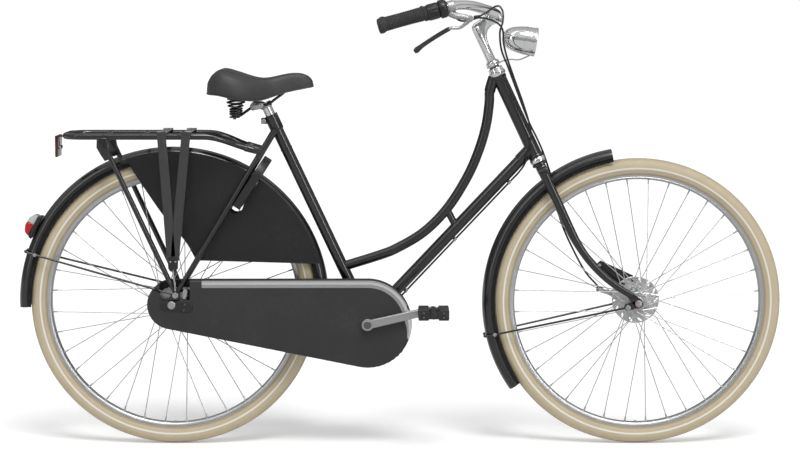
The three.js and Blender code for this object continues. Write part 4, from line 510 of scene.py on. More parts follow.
def brushed_group():
    """Fine lines of a turned or brushed metal, along the direction that the vector is drawn out in."""
    tree, given, out = new_group(
        "brushed metal",
        {"Vector": ("Vector", None), "Scale": ("Float", 60.0), "Roughness": ("Float", 0.3), "Spread": ("Float", 0.15)},
        {"Height": "Float", "Roughness": "Float"},
    )
    lines = noise(tree, given["Vector"], given["Scale"], 8.0)
    tree.links.new(lines, out.inputs["Height"])
    uneven = times(tree, math_node(tree, "SUBTRACT", lines, 0.5), given["Spread"])
    tree.links.new(plus(tree, given["Roughness"], uneven, clamp=True), out.inputs["Roughness"])
    return tree


def edge_group():
    """Where a piece's edges stand out, and are rubbed first."""
    tree, given, out = new_group(
        "rubbed edges",
        {"Vector": ("Vector", None), "Amount": ("Float", 0.3), "Scale": ("Float", 90.0)},
        {"Mask": "Float"},
    )
    edges = ramp(tree, add_node(tree, "ShaderNodeNewGeometry").outputs["Pointiness"], 0.53, 0.6)
    worn = ramp(tree, noise(tree, given["Vector"], given["Scale"]), 0.45, 0.6)
    mask = times(tree, times(tree, edges, worn), given["Amount"], clamp=True)
    tree.links.new(mask, out.inputs["Mask"])
    return tree


WEATHERING = weathering_group()
GRAIN = grain_group()
BRUSHED = brushed_group()
RUBBED = edge_group()


def use_group(tree, group, inputs):
    return add_node(tree, "ShaderNodeGroup", inputs, node_tree=group).outputs


def weathered(tree, place, color, shade, dust, roughness, spread, **more):
    return use_group(tree, WEATHERING, {
        "Vector": place, "Color": (*color, 1), "Shade": shade, "Dust": dust, "Roughness": roughness, "Spread": spread,
        **more,
    })


def wire(tree, shader, color, roughness):
    tree.links.new(color, shader.inputs["Base Color"])
    tree.links.new(roughness, shader.inputs["Roughness"])


def new_finish(name, slot, **settings):
    """An empty finish: its node tree, its shader and the object's own coordinates."""
    material = bpy.data.materials.new(name)
    material.use_nodes = True
    tree = material.node_tree
    shader = tree.nodes["Principled BSDF"]
    for socket, value in settings.items():
        shader.inputs[socket.replace("_", " ")].default_value = value
    return material, tree, shader, add_node(tree, "ShaderNodeTexCoord").outputs["Object"]


def bump(tree, shader, height, strength, depth):
    """Makes a height the shader's bump. The depth is in millimetres."""
    node = add_node(tree, "ShaderNodeBump", {"Height": height, "Strength": strength, "Distance": depth * MM})
    tree.links.new(node.outputs[0], shader.inputs["Normal"])


def coated(name, slot, color, roughness, grain=0.0, grain_scale=700.0, shade=0.2, dust=0.03, spread=0.1, **more):
    """Paint, plastic, rubber or vinyl: uneven colour, some dust and a grain of a depth in millimetres."""
    material, tree, shader, place = new_finish(name, slot, **more)
    worn = weathered(tree, place, color, shade, dust, roughness, spread)
    edge = use_group(tree, RUBBED, {"Vector": place, "Amount": 0.12})
    lighter = tuple(min(1, channel * 2 + 0.03) for channel in color)
    color_out = blended(tree, edge["Mask"], worn["Color"], (*lighter, 1))
    wire(tree, shader, color_out, worn["Roughness"])
    if grain:
        height = use_group(tree, GRAIN, {"Vector": place, "Scale": grain_scale})["Height"]
        bump(tree, shader, height, 0.6, grain)
    return material


def metal(name, slot, color, roughness, stretch=(1, 1, 1), depth=0.01, spread=0.12, dust=0.03, **more):
    """Bare or plated metal with fine lines drawn out in one direction."""
    material, tree, shader, place = new_finish(name, slot, Metallic=1.0, **more)
    drawn = add_node(tree, "ShaderNodeMapping", {"Vector": place, "Scale": stretch}).outputs[0]
    lines = use_group(tree, BRUSHED, {"Vector": drawn, "Roughness": roughness, "Spread": spread})
    worn = weathered(tree, place, color, 0.06, dust, lines["Roughness"], 0.05)
    wire(tree, shader, worn["Color"], worn["Roughness"])
    bump(tree, shader, lines["Height"], 0.25, depth)
    return material


def tyre_rubber(name, axle):
    """Cream rubber with a pale reflective line round the sidewall, darker towards the rim and the tread."""
    material, tree, shader, place = new_finish(name, "tyre_rubber")
    flat = add_node(tree, "ShaderNodeVectorMath", {0: place, 1: axle}, operation="SUBTRACT").outputs[0]
    inward = add_node(tree, "ShaderNodeVectorMath", {0: flat, 1: (1, 0, 1)}, operation="MULTIPLY").outputs[0]
    radius = add_node(tree, "ShaderNodeVectorMath", {0: inward}, operation="LENGTH").outputs["Value"]
    parts = add_node(tree, "ShaderNodeSeparateXYZ", {0: flat}).outputs
    worn = weathered(tree, place, (0.53, 0.45, 0.31), 0.12, 0.1, 0.62, 0.2, Scale=20.0)
    seat = ramp(tree, radius, 0.3235, 0.3195)
    seated = blended(tree, times(tree, seat, 0.55), worn["Color"], (0.2, 0.16, 0.11, 1))
    tread = ramp(tree, radius, 0.3515, 0.3555)
    treaded = blended(tree, times(tree, tread, 0.35), seated, (0.3, 0.25, 0.17, 1))
    line = times(tree, ramp(tree, radius, 0.3305, 0.3312), ramp(tree, radius, 0.3352, 0.3345))
    banded = blended(tree, line, treaded, (0.78, 0.76, 0.7, 1))
    smooth = times(tree, line, -0.25)
    wire(tree, shader, banded, plus(tree, worn["Roughness"], smooth, clamp=True))
    angle = math_node(tree, "ARCTAN2", parts["Z"], parts["X"])
    slant = plus(tree, times(tree, angle, 190.0), times(tree, parts["Y"], 420.0))
    sipes = times(tree, ramp(tree, math_node(tree, "SINE", slant), 0.2, 0.6), ramp(tree, radius, 0.348, 0.351))
    grain = use_group(tree, GRAIN, {"Vector": place, "Scale": 600.0})["Height"]
    height = math_node(tree, "SUBTRACT", times(tree, grain, 0.12), sipes)
    bump(tree, shader, height, 0.7, 0.5)
    return material


def elastic_web(name, slot):
    """Woven elastic: ribs along the strap and fine cross threads."""
    material, tree, shader, place = new_finish(name, slot, Sheen_Weight=0.3)
    parts = add_node(tree, "ShaderNodeSeparateXYZ", {0: place}).outputs
    across = math_node(tree, "SINE", times(tree, parts["Z"], 3600.0))
    along = math_node(tree, "SINE", times(tree, parts["X"], 2600.0))
    weave = plus(tree, times(tree, across, 0.5), along)
    worn = weathered(tree, place, (0.022, 0.022, 0.023), 0.2, 0.06, 0.72, 0.1)
    threads = blended(tree, ramp(tree, weave, -1.5, 1.5, 0.0, 0.5), worn["Color"], (0.05, 0.05, 0.052, 1))
    wire(tree, shader, threads, worn["Roughness"])
    bump(tree, shader, weave, 0.4, 0.15)
    return material


def clear_lens(name, slot, color, facet, transmission):
    """Moulded lens plastic with a pattern of small prisms behind its face."""
    material, tree, shader, place = new_finish(
        name, slot, IOR=1.49, Transmission_Weight=transmission, Metallic=0.0,
    )
    cells = add_node(
        tree, "ShaderNodeTexVoronoi", {"Vector": place, "Scale": facet, "Randomness": 0.0}, distance="CHEBYCHEV",
    )
    worn = weathered(tree, place, color, 0.08, 0.03, 0.08, 0.04)
    darker = tuple(channel * 0.55 for channel in color)
    prisms = ramp(tree, cells.outputs["Distance"], 0.2, 0.6)
    tinted = blended(tree, times(tree, prisms, 0.6), worn["Color"], (*darker, 1))
    wire(tree, shader, tinted, worn["Roughness"])
    bump(tree, shader, cells.outputs["Distance"], 0.35, 0.6)
    return material


gloss_paint = coated(
    "gloss_paint", "black_paint", (0.0028, 0.0028, 0.003), 0.3, 0.02, 320.0, dust=0.01, Coat_Weight=0.8,
    Coat_Roughness=0.04,
)
case_paint = coated("case_paint", "black_paint", (0.021, 0.021, 0.0215), 0.5, 0.03, 1500.0, shade=0.1)
guard_vinyl = coated("guard_vinyl", "black_plastic", (0.003, 0.003, 0.0032), 0.5, 0.08, 1100.0)
housing_plastic = coated("housing_plastic", "black_plastic", (0.014, 0.014, 0.015), 0.34, 0.03, 1300.0)
cable_sheath = coated("cable_sheath", "black_plastic", (0.012, 0.012, 0.013), 0.36, 0.02, 900.0)
grip_rubber = coated("grip_rubber", "dark_rubber", (0.026, 0.026, 0.027), 0.78, 0.12, 900.0, dust=0.06)
pedal_rubber = coated("pedal_rubber", "dark_rubber", (0.016, 0.016, 0.0165), 0.66, 0.08, 900.0, dust=0.08)
saddle_vinyl = coated("saddle_vinyl", "saddle_cover", (0.034, 0.033, 0.034), 0.55, 0.1, 1000.0, dust=0.05)
shadow_black = coated("shadow_black", "black_paint", (0.0015, 0.0015, 0.0015), 0.9, shade=0.0, dust=0.0)
saddle_thread = coated("saddle_thread", "saddle_cover", (0.06, 0.06, 0.062), 0.7, 0.1, 1800.0)
chrome = metal("chrome", "bright_chrome", (0.8, 0.805, 0.81), 0.09, (1, 1, 1), 0.002, 0.04, 0.01)
satin_alloy = metal("satin_alloy", "alloy", (0.46, 0.46, 0.465), 0.4, (1, 6, 1), 0.01)
rim_alloy = metal("rim_alloy", "alloy", (0.55, 0.555, 0.56), 0.34, (0.4, 9, 0.4), 0.008)
cast_alloy = metal("cast_alloy", "alloy", (0.46, 0.46, 0.465), 0.5, (3, 3, 3), 0.03)
disc_alloy = metal("disc_alloy", "alloy", (0.6, 0.6, 0.605), 0.55, (1, 1, 1), 0.002)
spoke_steel = metal("spoke_steel", "alloy", (0.68, 0.68, 0.68), 0.3, (1, 1, 1), 0.004)
plain_steel = metal("plain_steel", "steel", (0.48, 0.48, 0.49), 0.34, (4, 1, 4), 0.01)
dark_steel = metal("dark_steel", "steel", (0.16, 0.16, 0.17), 0.4, (4, 4, 4), 0.01)
strap_web = elastic_web("strap_web", "dark_rubber")
lamp_glass = clear_lens("lamp_glass", "lamp_lens", (0.95, 0.97, 0.98), 220.0, 0.85)
red_plastic = clear_lens("red_plastic", "red_lens", (0.62, 0.02, 0.015), 260.0, 0.25)
dull_red_plastic = clear_lens("dull_red_plastic", "red_lens", (0.085, 0.018, 0.016), 300.0, 0.1)
pale_plastic = clear_lens("pale_plastic", "lamp_lens", (0.72, 0.73, 0.74), 260.0, 0.3)
anodised_red = metal("anodised_red", "steel", (0.62, 0.35, 0.36), 0.3)


def dress(piece, finish, *nodes, body=None, angle=35, rides=True):
    """Shades a finished piece, gives it its finish, and makes it ride on its body."""
    only(piece)
    bpy.ops.object.transform_apply()
    bpy.ops.object.shade_smooth_by_angle(angle=math.radians(angle))
    piece.data.materials.clear()
    piece.data.materials.append(finish)
    if rides:
        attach(piece, body or body_of[nodes[0]])
    if nodes:
        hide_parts(*nodes)
    return piece


# The studio: camera, lamps, world and floor

CAMERA_PLACE = (0, -5.6, 1.1)
CAMERA_TILT = 5.63
CAMERA_LENS = 101.7
CAMERA_SENSOR = 36
SUN_POWER = 1.7
SUN_WIDTH = 24
SUN_WAY = (-0.12, 0.5, -0.86)
ROOM_LIGHT = 0.55
# The bright strips that polished pieces mirror: direction and half width in radians, and power
STRIPS = ((0.72, 0.06, 8.0), (-0.74, 0.045, 4.0))
FLOOR_PALE = 0.88
FLOOR_LESS_IN_MIRRORS = 0.28
FLOOR_GLOW = 0.22


def light_path(tree):
    """The kinds of ray, and a value that is 1 for those the camera sees, also through glass."""
    rays = add_node(tree, "ShaderNodeLightPath").outputs
    return rays, math_node(tree, "MAXIMUM", rays["Is Camera Ray"], rays["Is Transmission Ray"])


def studio():
    camera = bpy.data.objects.new("camera", bpy.data.cameras.new("camera"))
    camera.data.sensor_width = CAMERA_SENSOR
    camera.data.lens = CAMERA_LENS
    camera.location = CAMERA_PLACE
    camera.rotation_euler = (math.radians(90 - CAMERA_TILT), 0, 0)
    bpy.context.scene.collection.objects.link(camera)
    bpy.context.scene.camera = camera

    sun = bpy.data.objects.new("softbox", bpy.data.lights.new("softbox", "SUN"))
    sun.data.energy = SUN_POWER
    sun.data.angle = math.radians(SUN_WIDTH)
    sun.rotation_euler = Vector(SUN_WAY).to_track_quat("-Z", "Y").to_euler()
    bpy.context.scene.collection.objects.link(sun)

    world = bpy.data.worlds.new("studio")
    bpy.context.scene.world = world
    world.use_nodes = True
    tree = world.node_tree
    tree.nodes.clear()
    rays, seen = light_path(tree)
    place = add_node(tree, "ShaderNodeTexCoord").outputs["Generated"]
    way = add_node(tree, "ShaderNodeSeparateXYZ", {0: place}).outputs
    turn = math_node(tree, "ARCTAN2", way["X"], times(tree, way["Y"], -1.0))
    room = ramp(tree, way["Y"], -0.25, 0.7, 0.32, 0.08)
    for strip, width, power in STRIPS:
        away = math_node(tree, "ABSOLUTE", math_node(tree, "SUBTRACT", turn, strip))
        band = ramp(tree, away, width * 0.8, width * 1.2, 1.0, 0.0)
        height = ramp(tree, way["Z"], -0.15, -0.05, 0.0, power)
        room = plus(tree, room, times(tree, band, height))
    room = plus(tree, room, ramp(tree, way["Z"], 0.25, 0.5, 0.0, 0.35))
    soft, mirrored, white = (
        add_node(tree, "ShaderNodeBackground", {"Color": (1, 1, 1, 1), "Strength": strength}).outputs[0]
        for strength in (ROOM_LIGHT, room, 1.0)
    )
    lit = add_node(tree, "ShaderNodeMixShader", {0: rays["Is Glossy Ray"], 1: soft, 2: mirrored}).outputs[0]
    final = add_node(tree, "ShaderNodeMixShader", {0: seen, 1: lit, 2: white}).outputs[0]
    add_node(tree, "ShaderNodeOutputWorld", {"Surface": final})

    clear_selection()
    bpy.ops.mesh.primitive_plane_add(size=60, location=(0, 0, -0.0005))
    floor = named("floor")
    material, tree, shader, _ = new_finish("studio_floor", "none", Roughness=0.9)
    shader.inputs["Specular IOR Level"].default_value = 0.0
    rays, seen = light_path(tree)
    less = times(tree, rays["Is Glossy Ray"], FLOOR_LESS_IN_MIRRORS)
    pale = math_node(tree, "SUBTRACT", FLOOR_PALE, less)
    tree.links.new(pale, shader.inputs["Base Color"])
    glowing = times(tree, seen, FLOOR_GLOW)
    glow = add_node(tree, "ShaderNodeEmission", {"Color": (1, 1, 1, 1), "Strength": glowing})
    both = add_node(tree, "ShaderNodeAddShader", {0: shader.outputs[0], 1: glow.outputs[0]})
    tree.links.new(both.outputs[0], tree.nodes["Material Output"].inputs["Surface"])
    floor.data.materials.append(material)
    bpy.context.scene.view_settings.view_transform = "Standard"


studio()


def axes(origin, x, y, z):
    """A matrix that brings pieces made at the world's origin to a place with its own directions."""
    matrix = Matrix((x, y, z)).transposed().to_4x4()
    matrix.translation = origin
    return matrix


def both(profile):
    """A profile of (radius, y) pairs and its mirror image on the other side of the middle."""
    return profile + [(radius, -y) for radius, y in reversed(profile)]


def direction(angle):
    turn = math.radians(angle)
    return Vector((math.cos(turn), 0, math.sin(turn)))


# Wheels

TYRE_SIDE = [
    (319.6, -12.6), (317, -12.6), (316.8, -13.3), (319.4, -14.6), (323.4, -16), (326.4, -17.4), (326.9, -17),
    (327.5, -17.9), (332, -19.5), (337.5, -20), (343, -19.3), (347.6, -17.2), (350.4, -15), (351.2, -15),
    (353.2, -12.4), (355.3, -9), (354.3, -8.2), (354.6, -7.4), (356.4, -6.4), (357.2, -3.4), (355.9, -2.9),
    (355.9, -2.1), (357.5, -1.5),
]
RIM_SIDE = [
    (305, -4.5), (305.3, -7), (306.6, -9.8), (309, -12), (311, -12.5), (311.5, -12.2), (312, -12.5), (318.4, -12.5),
    (319.2, -11.8),
]
FRONT_HUB = [
    (5.4, -40), (8.5, -40), (9, -39.4), (9, -37.4), (12.6, -37), (14.2, -36.4), (15, -35.2), (25.8, -34.8),
    (27, -34), (27, -32), (25.8, -31.4), (17.5, -30.8), (15.3, -28.5), (15, -24), (15, 4), (15.6, 7.5), (18, 10),
    (25.8, 10.6), (27, 11.2), (27, 13), (25.8, 13.6), (16, 14.2), (14, 16), (12, 18), (5.4, 18),
]
REAR_HUB = [
    (5.4, -34), (16, -34), (19, -32.6), (20.5, -29.4), (34.6, -28.8), (36, -28), (36, -26), (34.6, -25.2),
    (27, -24.4), (24.4, -21.4), (24, -17), (24, 20), (24.8, 24.5), (28, 27.4), (34.6, 28.2), (36, 29), (36, 31),
    (34.6, 31.8), (30, 32.6), (28.8, 36), (26, 40.5), (22, 42), (5.4, 42),
]
SPOKE_CROSS = 60
SPOKE_OFFSET = 2.4
PATTERN = 4


def spokes(end, axle, right, left, hole_radius):
    """Four spokes with their heads and nipples, and their copies round the wheel."""
    wires, nipples = [], []
    for number in range(PATTERN):
        rim_angle = (number + 0.5) * 360 / SPOKES
        pull = 1 if number // 2 else -1
        side = 1 if number % 2 else -1
        y = left if side > 0 else right
        foot = round_axle(axle, hole_radius, rim_angle + pull * SPOKE_CROSS, y + pull * SPOKE_OFFSET)
        tip = round_axle(axle, RIM_INNER + 0.4, rim_angle, side * SPOKE_OFFSET)
        through_flange = foot - ACROSS * pull * (2 * SPOKE_OFFSET + 0.6) * MM
        wires.append(tube("spoke", [through_flange, foot, tip], SPOKE_RADIUS, sides=8, straight=True))
        wires.append(rod("head", through_flange, through_flange + ACROSS * pull * 0.8 * MM, 1.9, sides=12))
        along = (foot - tip).normalized()
        nipples.append(rod("nipple", tip, tip + along * 5 * MM, 2, sides=8))
        nipples.append(rod("nipple", tip + along * 4.5 * MM, tip + along * 12 * MM, 2, 1.7, sides=8))
    wires = merge(end + "_spokes", ring_of(merge("spoke_group", wires), SPOKES // PATTERN, axle))
    nipples = merge(end + "_nipples", ring_of(merge("nipple_group", nipples), SPOKES // PATTERN, axle))
    dress(wires, spoke_steel, end + "_hub")
    dress(nipples, plain_steel, end + "_hub")


def valve(end, axle):
    down = -UP
    base = axle + down * RIM_INNER * MM
    stem = rod("stem", base - down * 3 * MM, base + down * 24 * MM, 2.6, sides=16, edge=0.3)
    nut = rod("nut", base, base + down * 3.2 * MM, 5, sides=6, edge=0.4)
    ring = rod("ring", base + down * 14 * MM, base + down * 15.4 * MM, 3.1, sides=16)
    dress(merge(end + "_valve_stem", [stem, nut, ring]), plain_steel, end + "_rim")
    cap = rod(end + "_valve_cap", base + down * 17.5 * MM, base + down * 26 * MM, 3.6, 3, sides=14, edge=0.5)
    dress(cap, housing_plastic, end + "_rim")


def wheel(end, axle, hub, right, left, hole_radius):
    dress(turned(end + "_tyre_casing", both(TYRE_SIDE), axle, steps=180), tyre_finish[end], end + "_tyre")
    dress(turned(end + "_rim_hoop", both(RIM_SIDE), axle, steps=180), rim_alloy, end + "_rim")
    dress(turned(end + "_hub_shell", hub, axle, steps=72), satin_alloy, end + "_hub")
    spokes(end, axle, right, left, hole_radius)
    valve(end, axle)


tyre_finish = {
    "front": tyre_rubber("front_tyre_rubber", FRONT_AXLE), "rear": tyre_rubber("rear_tyre_rubber", REAR_AXLE),
}
wheel("front", FRONT_AXLE, FRONT_HUB, -33, 12, 23)
wheel("rear", REAR_AXLE, REAR_HUB, -27, 30, 32)


# Frame: tubes, lugs, stays and dropouts

def head_clear(low, high):
    return rod("head_clear", on_head(0, 0, low), on_head(0, 0, high), HEAD_CLEARANCE, sides=48)


def seat_bore():
    return rod("bore", SEAT_HEAD - SEAT_UP * 0.33, SEAT_HEAD + SEAT_UP * 0.01, SEAT_BORE, sides=48)


def chain_stay_line(side):
    """A chain stay's front end, its bend and its rear end."""
    start, end = BOTTOM_BRACKET + at(0, side * 27, 0), REAR_AXLE + at(0, side * 67, 0)
    middle = mix(start, end, CHAIN_STAY_BEND)
    middle.y = side * 45 * MM
    return start, middle, end


def front_frame():
    barrel = turned(
        "head_tube_barrel",
        [
            (13.4, 14.8), (18.1, 14.8), (18.7, 15.6), (18.7, 21.5), (18, 22.8), (17, 24), (17, 229), (18, 230.4),
            (18.7, 231.6), (18.7, 238), (18.1, 238.8), (13.4, 238.8),
        ],
        LOWER_HEAD, HEAD_UP, 72,
    )
    dress(barrel, gloss_paint, "head_tube")
    lower = turned(
        "lower_headset_cup",
        [(13.4, 3), (19.4, 3), (20.4, 3.8), (20.5, 5), (20.5, 11), (19.6, 12.6), (18.6, 14.6), (13.4, 14.6)],
        LOWER_HEAD, HEAD_UP, 64,
    )
    dress(lower, chrome, "head_tube")
    upper = turned(
        "upper_headset_cup",
        [
            (13.4, 239), (18.4, 239), (19.8, 240.6), (20.5, 242), (20.5, 248.6), (19.8, 250.4), (18.4, 251),
            (18, 251.6), (18, 258), (17.2, 259.8), (13.4, 260),
        ],
        LOWER_HEAD, HEAD_UP, 64,
    )
    dress(upper, chrome, "head_tube")

    top = on_head(0, 0, 42)
    along = (BOTTOM_BRACKET - top).normalized()
    bar = rod("down_tube_bar", top, BOTTOM_BRACKET, DOWN_TUBE_RADIUS, sides=48)
    sleeve = rod("down_tube_sleeve", top, top + along * 44 * MM, DOWN_TUBE_RADIUS + LUG_WALL, sides=48, edge=0.8)
    foot = rod(
        "down_tube_foot", BOTTOM_BRACKET - along * 46 * MM, BOTTOM_BRACKET, DOWN_TUBE_RADIUS + LUG_WALL, sides=48,
        edge=0.8,
    )
    for piece in (bar, sleeve, foot):
        carve(piece, head_clear(-20, 120))
        carve(piece, rod("shell_clear", BOTTOM_BRACKET + ACROSS * 0.06, BOTTOM_BRACKET - ACROSS * 0.06, 18, sides=48))
        dress(piece, gloss_paint, "down_tube")

    shares = [
        (0.954, 0.996), (0.924, 0.923), (0.92, 0.859), (0.896, 0.745), (0.841, 0.617), (0.752, 0.48),
        (0.605, 0.323), (0.428, 0.201), (0.226, 0.118), (0.092, 0.081), (-0.153, 0.029), (-0.2, 0.019),
    ]
    points = [at(mix(-80, 247, x), 0, mix(434, 917, z)) for x, z in shares]
    curve = through(points, 45)
    bar = tube("top_tube_bar", curve, TOP_TUBE_RADIUS, sides=40, steps=2)
    carve(bar, head_clear(120, 280))
    dress(bar, gloss_paint, "top_tube")
    sleeve = tube("top_tube_sleeve", curve[:5], TOP_TUBE_RADIUS + LUG_WALL, sides=40, steps=2)
    carve(sleeve, head_clear(120, 280))
    round_edges(sleeve, 0.7, 2, 50)
    dress(sleeve, gloss_paint, "top_tube")
    dress(rod("tube_brace", at(120, 0, 581), at(141.5, 0, 540), 9, sides=32), gloss_paint, "top_tube")


def rear_frame():
    lug_foot = SEAT_HEAD - SEAT_UP * 42 * MM
    bar = rod("seat_tube_bar", BOTTOM_BRACKET, SEAT_HEAD - SEAT_UP * 2 * MM, SEAT_TUBE_RADIUS, sides=48)
    carve(bar, seat_bore())
    dress(bar, gloss_paint, "seat_tube")
    side = SEAT_UP.cross(ACROSS).normalized()
    lug = turned(
        "seat_lug",
        [(13.1, 0), (15, 0), (16.2, 1.4), (17, 4), (17, 38), (17.8, 39), (17.8, 41.4), (17.2, 42), (13.1, 42)],
        lug_foot, SEAT_UP, 64,
    )
    dress(lug, gloss_paint, "seat_tube")
    bolt = SEAT_HEAD - SEAT_UP * 16 * MM + at(-23, 0, 0)
    dress(block("seat_lug_ears", bolt + at(2, 0, 0), (18, 16, 15), 3, 3), gloss_paint, "seat_tube")
    screw = rod("screw", bolt - ACROSS * 0.017, bolt + ACROSS * 0.017, 3.4, sides=20)
    heads = [
        rod(
            "head", bolt + ACROSS * side * 0.0115, bolt + ACROSS * side * 0.0168, 6, sides=6 if side > 0 else 24,
            edge=0.7,
        )
        for side in (-1, 1)
    ]
    dress(merge("seat_bolt", [screw, *heads]), plain_steel, "seat_tube")
    collar = rod(
        "seat_tube_lug", SEAT_HEAD - SEAT_UP * 0.0935, SEAT_HEAD - SEAT_UP * 0.0895, SEAT_TUBE_RADIUS + 1, sides=48,
        edge=0.4,
    )
    carve(collar, seat_bore())
    dress(collar, gloss_paint, "seat_tube")

    shell = turned(
        "bottom_bracket_shell",
        [(9, -31), (20, -31), (20.5, -30.4), (20.5, 30.4), (20, 31), (9, 31)], BOTTOM_BRACKET, steps=64,
    )
    dress(shell, gloss_paint, "seat_tube")
    cups = [
        turned(
            "cup", [(8.6, side * 30), (18.4, side * 30), (19, side * 31.6), (18, side * 33.8), (8.6, side * 34)],
            BOTTOM_BRACKET, steps=48,
        )
        for side in (-1, 1)
    ]
    dress(merge("bottom_bracket_cups", cups), dark_steel, "seat_tube")

    for name, side in SIDES:
        start, middle, end = chain_stay_line(side)
        tip = mix(middle, end, 0.955)
        away = (middle - start).normalized()
        stay = tube(
            "chain_stay_bar_" + name,
            [
                start + away * 0.014, mix(start, middle, 0.8), mix(start, middle, 0.97), mix(middle, tip, 0.06),
                mix(middle, tip, 0.3), tip,
            ],
            8.5, [1, 1, 1, 1, 0.96, 0.77], sides=28,
        )
        dress(stay, gloss_paint, "chain_stay_" + name)
        low = -70 if side < 0 else 64
        dropout = plate(
            "rear_dropout_" + name, belt(0, 0, 15, *EYE, 9, 16), low, low + 6, AT_REAR, 0.8,
        )
        dress(dropout, gloss_paint, "chain_stay_" + name)
        eye = REAR_AXLE + at(EYE[0], 0, EYE[1])
        bolt = across("bolt", eye, side * 64, side * 88, 4, sides=20)
        head = across("head", eye, side * 85, side * 91, 8, sides=6, edge=0.9)
        dress(merge("rear_eye_bolt_" + name, [bolt, head]), plain_steel, "chain_stay_" + name)

        foot = eye + at(0, side * 67, 0)
        top = at(-309, side * 19, 786)
        bend = at(-366, side * 38.5, 692)
        back = (bend - foot).normalized()
        stay = tube(
            "seat_stay_bar_" + name,
            [
                top, mix(top, bend, 0.7), mix(top, bend, 0.94), mix(bend, foot, 0.03), mix(bend, foot, 0.2),
                foot + back * 0.0093,
            ],
            8, [1, 1, 1, 1, 0.95, 0.75], sides=28,
        )
        carve(stay, rod("lug_clear", BOTTOM_BRACKET, SEAT_HEAD, 16.8, sides=48))
        dress(stay, gloss_paint, "seat_stay_" + name)


front_frame()
rear_frame()


# Fork, headset nut, stem and handlebar

HEAD = axes(LOWER_HEAD, HEAD_AHEAD, ACROSS, HEAD_UP)
CROWN = axes(LOWER_HEAD, ACROSS, HEAD_AHEAD, HEAD_UP)
BLADE_STRAIGHT = 190
BLADE_END = 392
BLADE_BEND = 331.6


def blade_centre(depth):
    past = max(0, depth - BLADE_STRAIGHT)
    return BLADE_BEND - math.sqrt(BLADE_BEND ** 2 - past ** 2)


def blade_ring(share, side, sides=28):
    depth = mix(28, BLADE_END, share)
    y = side * mix(37.5, 55, share)
    half_length, half_width = mix(11.6, 8.4, share), mix(8.5, 7.5, share)
    lean = math.asin(max(0, depth - BLADE_STRAIGHT) / BLADE_BEND)
    ring = []
    for turn in spread(0, 2 * math.pi, sides + 1):
        x = half_length * math.cos(turn)
        ring.append(
            on_head(
                blade_centre(depth) + x * math.cos(lean), y + half_width * math.sin(turn), x * math.sin(lean) - depth,
            )
        )
    return ring


def fork():
    steerer = turned(
        "steerer_tube", [(0, -29), (12.7, -29), (12.7, 268.6), (11.6, 268.6), (11.6, 172), (0, 172)],
        LOWER_HEAD, HEAD_UP, 48,
    )
    dress(steerer, dark_steel, "fork_steerer")
    race = turned(
        "crown_race", [(12.9, -6.2), (18.6, -6.2), (18.8, -4), (18, 0.6), (16.4, 1.5), (12.9, 1.5)],
        LOWER_HEAD, HEAD_UP, 64,
    )
    dress(race, gloss_paint, "fork_steerer")
    nut = turned(
        "headset_locknut",
        [(12.8, 268.7), (16.6, 268.7), (17, 269.3), (17, 274.8), (16, 276.6), (14.6, 277), (12.8, 277)],
        LOWER_HEAD, HEAD_UP, 64,
    )
    dress(nut, chrome, "fork_steerer")
    outline = [
        (-19, -6), (19, -6), (33, -8), (42, -11.5), (46.5, -17), (47, -29.7), (28, -29.7), (25, -28.6),
        (-25, -28.6), (-28, -29.7), (-47, -29.7), (-46.5, -17), (-42, -11.5), (-33, -8),
    ]
    dress(plate("fork_crown", outline, -13, 13, CROWN, 3, 4), gloss_paint, "fork_steerer", angle=60)
    for name, side in SIDES:
        rows = [blade_ring(share, side) for share in spread(0, 1, 34)]
        dress(skin("fork_blade_bar_" + name, rows, close=True), gloss_paint, "fork_blade_" + name, angle=60)
        depth = BLADE_END - 7.5
        tip = on_head(blade_centre(depth), 0, -depth) - FRONT_AXLE
        low = -55 if side < 0 else 50
        main = plate(
            "front_dropout_" + name, belt(0, 0, 12, tip.x / MM, tip.z / MM, 7.5, 14), low, low + 5,
            AT_FRONT, 0.8,
        )
        eye = plate(
            "front_eye_" + name, belt(0, 0, 9.6, -27, -9, 9, 14), low, low + 5, AT_FRONT, 0.8,
        )
        dress(main, gloss_paint, "fork_blade_" + name)
        dress(eye, gloss_paint, "fork_blade_" + name)
        screw = FRONT_AXLE + at(-27, 0, -9)
        shaft = across("shaft", screw, side * 52, side * 66, 4, sides=18)
        head = across("head", screw, side * 61, side * 66.9, 7.2, sides=6, edge=0.8)
        dress(merge("front_eye_bolt_" + name, [shaft, head]), plain_steel, "fork_blade_" + name)


def bar_point(share, side):
    x, y, z = share
    return on_head(CLAMP_REACH + x * BAR_SWEEP, side * y * BAR_HALF_WIDTH, CLAMP_HEIGHT + z * BAR_RISE)


def bar_end(side):
    return bar_point(BAR_SHARES[-1], side)


def bar_along(side):
    return (bar_point(BAR_SHARES[-2], side) - bar_end(side)).normalized()


def on_bar(side, distance):
    """A place on the bar's straight end, as far from its tip as the distance."""
    return bar_end(side) + bar_along(side) * distance * MM


def in_clamp(y, ahead=0, high=0):
    """A place in the bar's clamp: to the side, ahead of its middle and above it."""
    return on_head(CLAMP_REACH + ahead, y, CLAMP_HEIGHT + high)


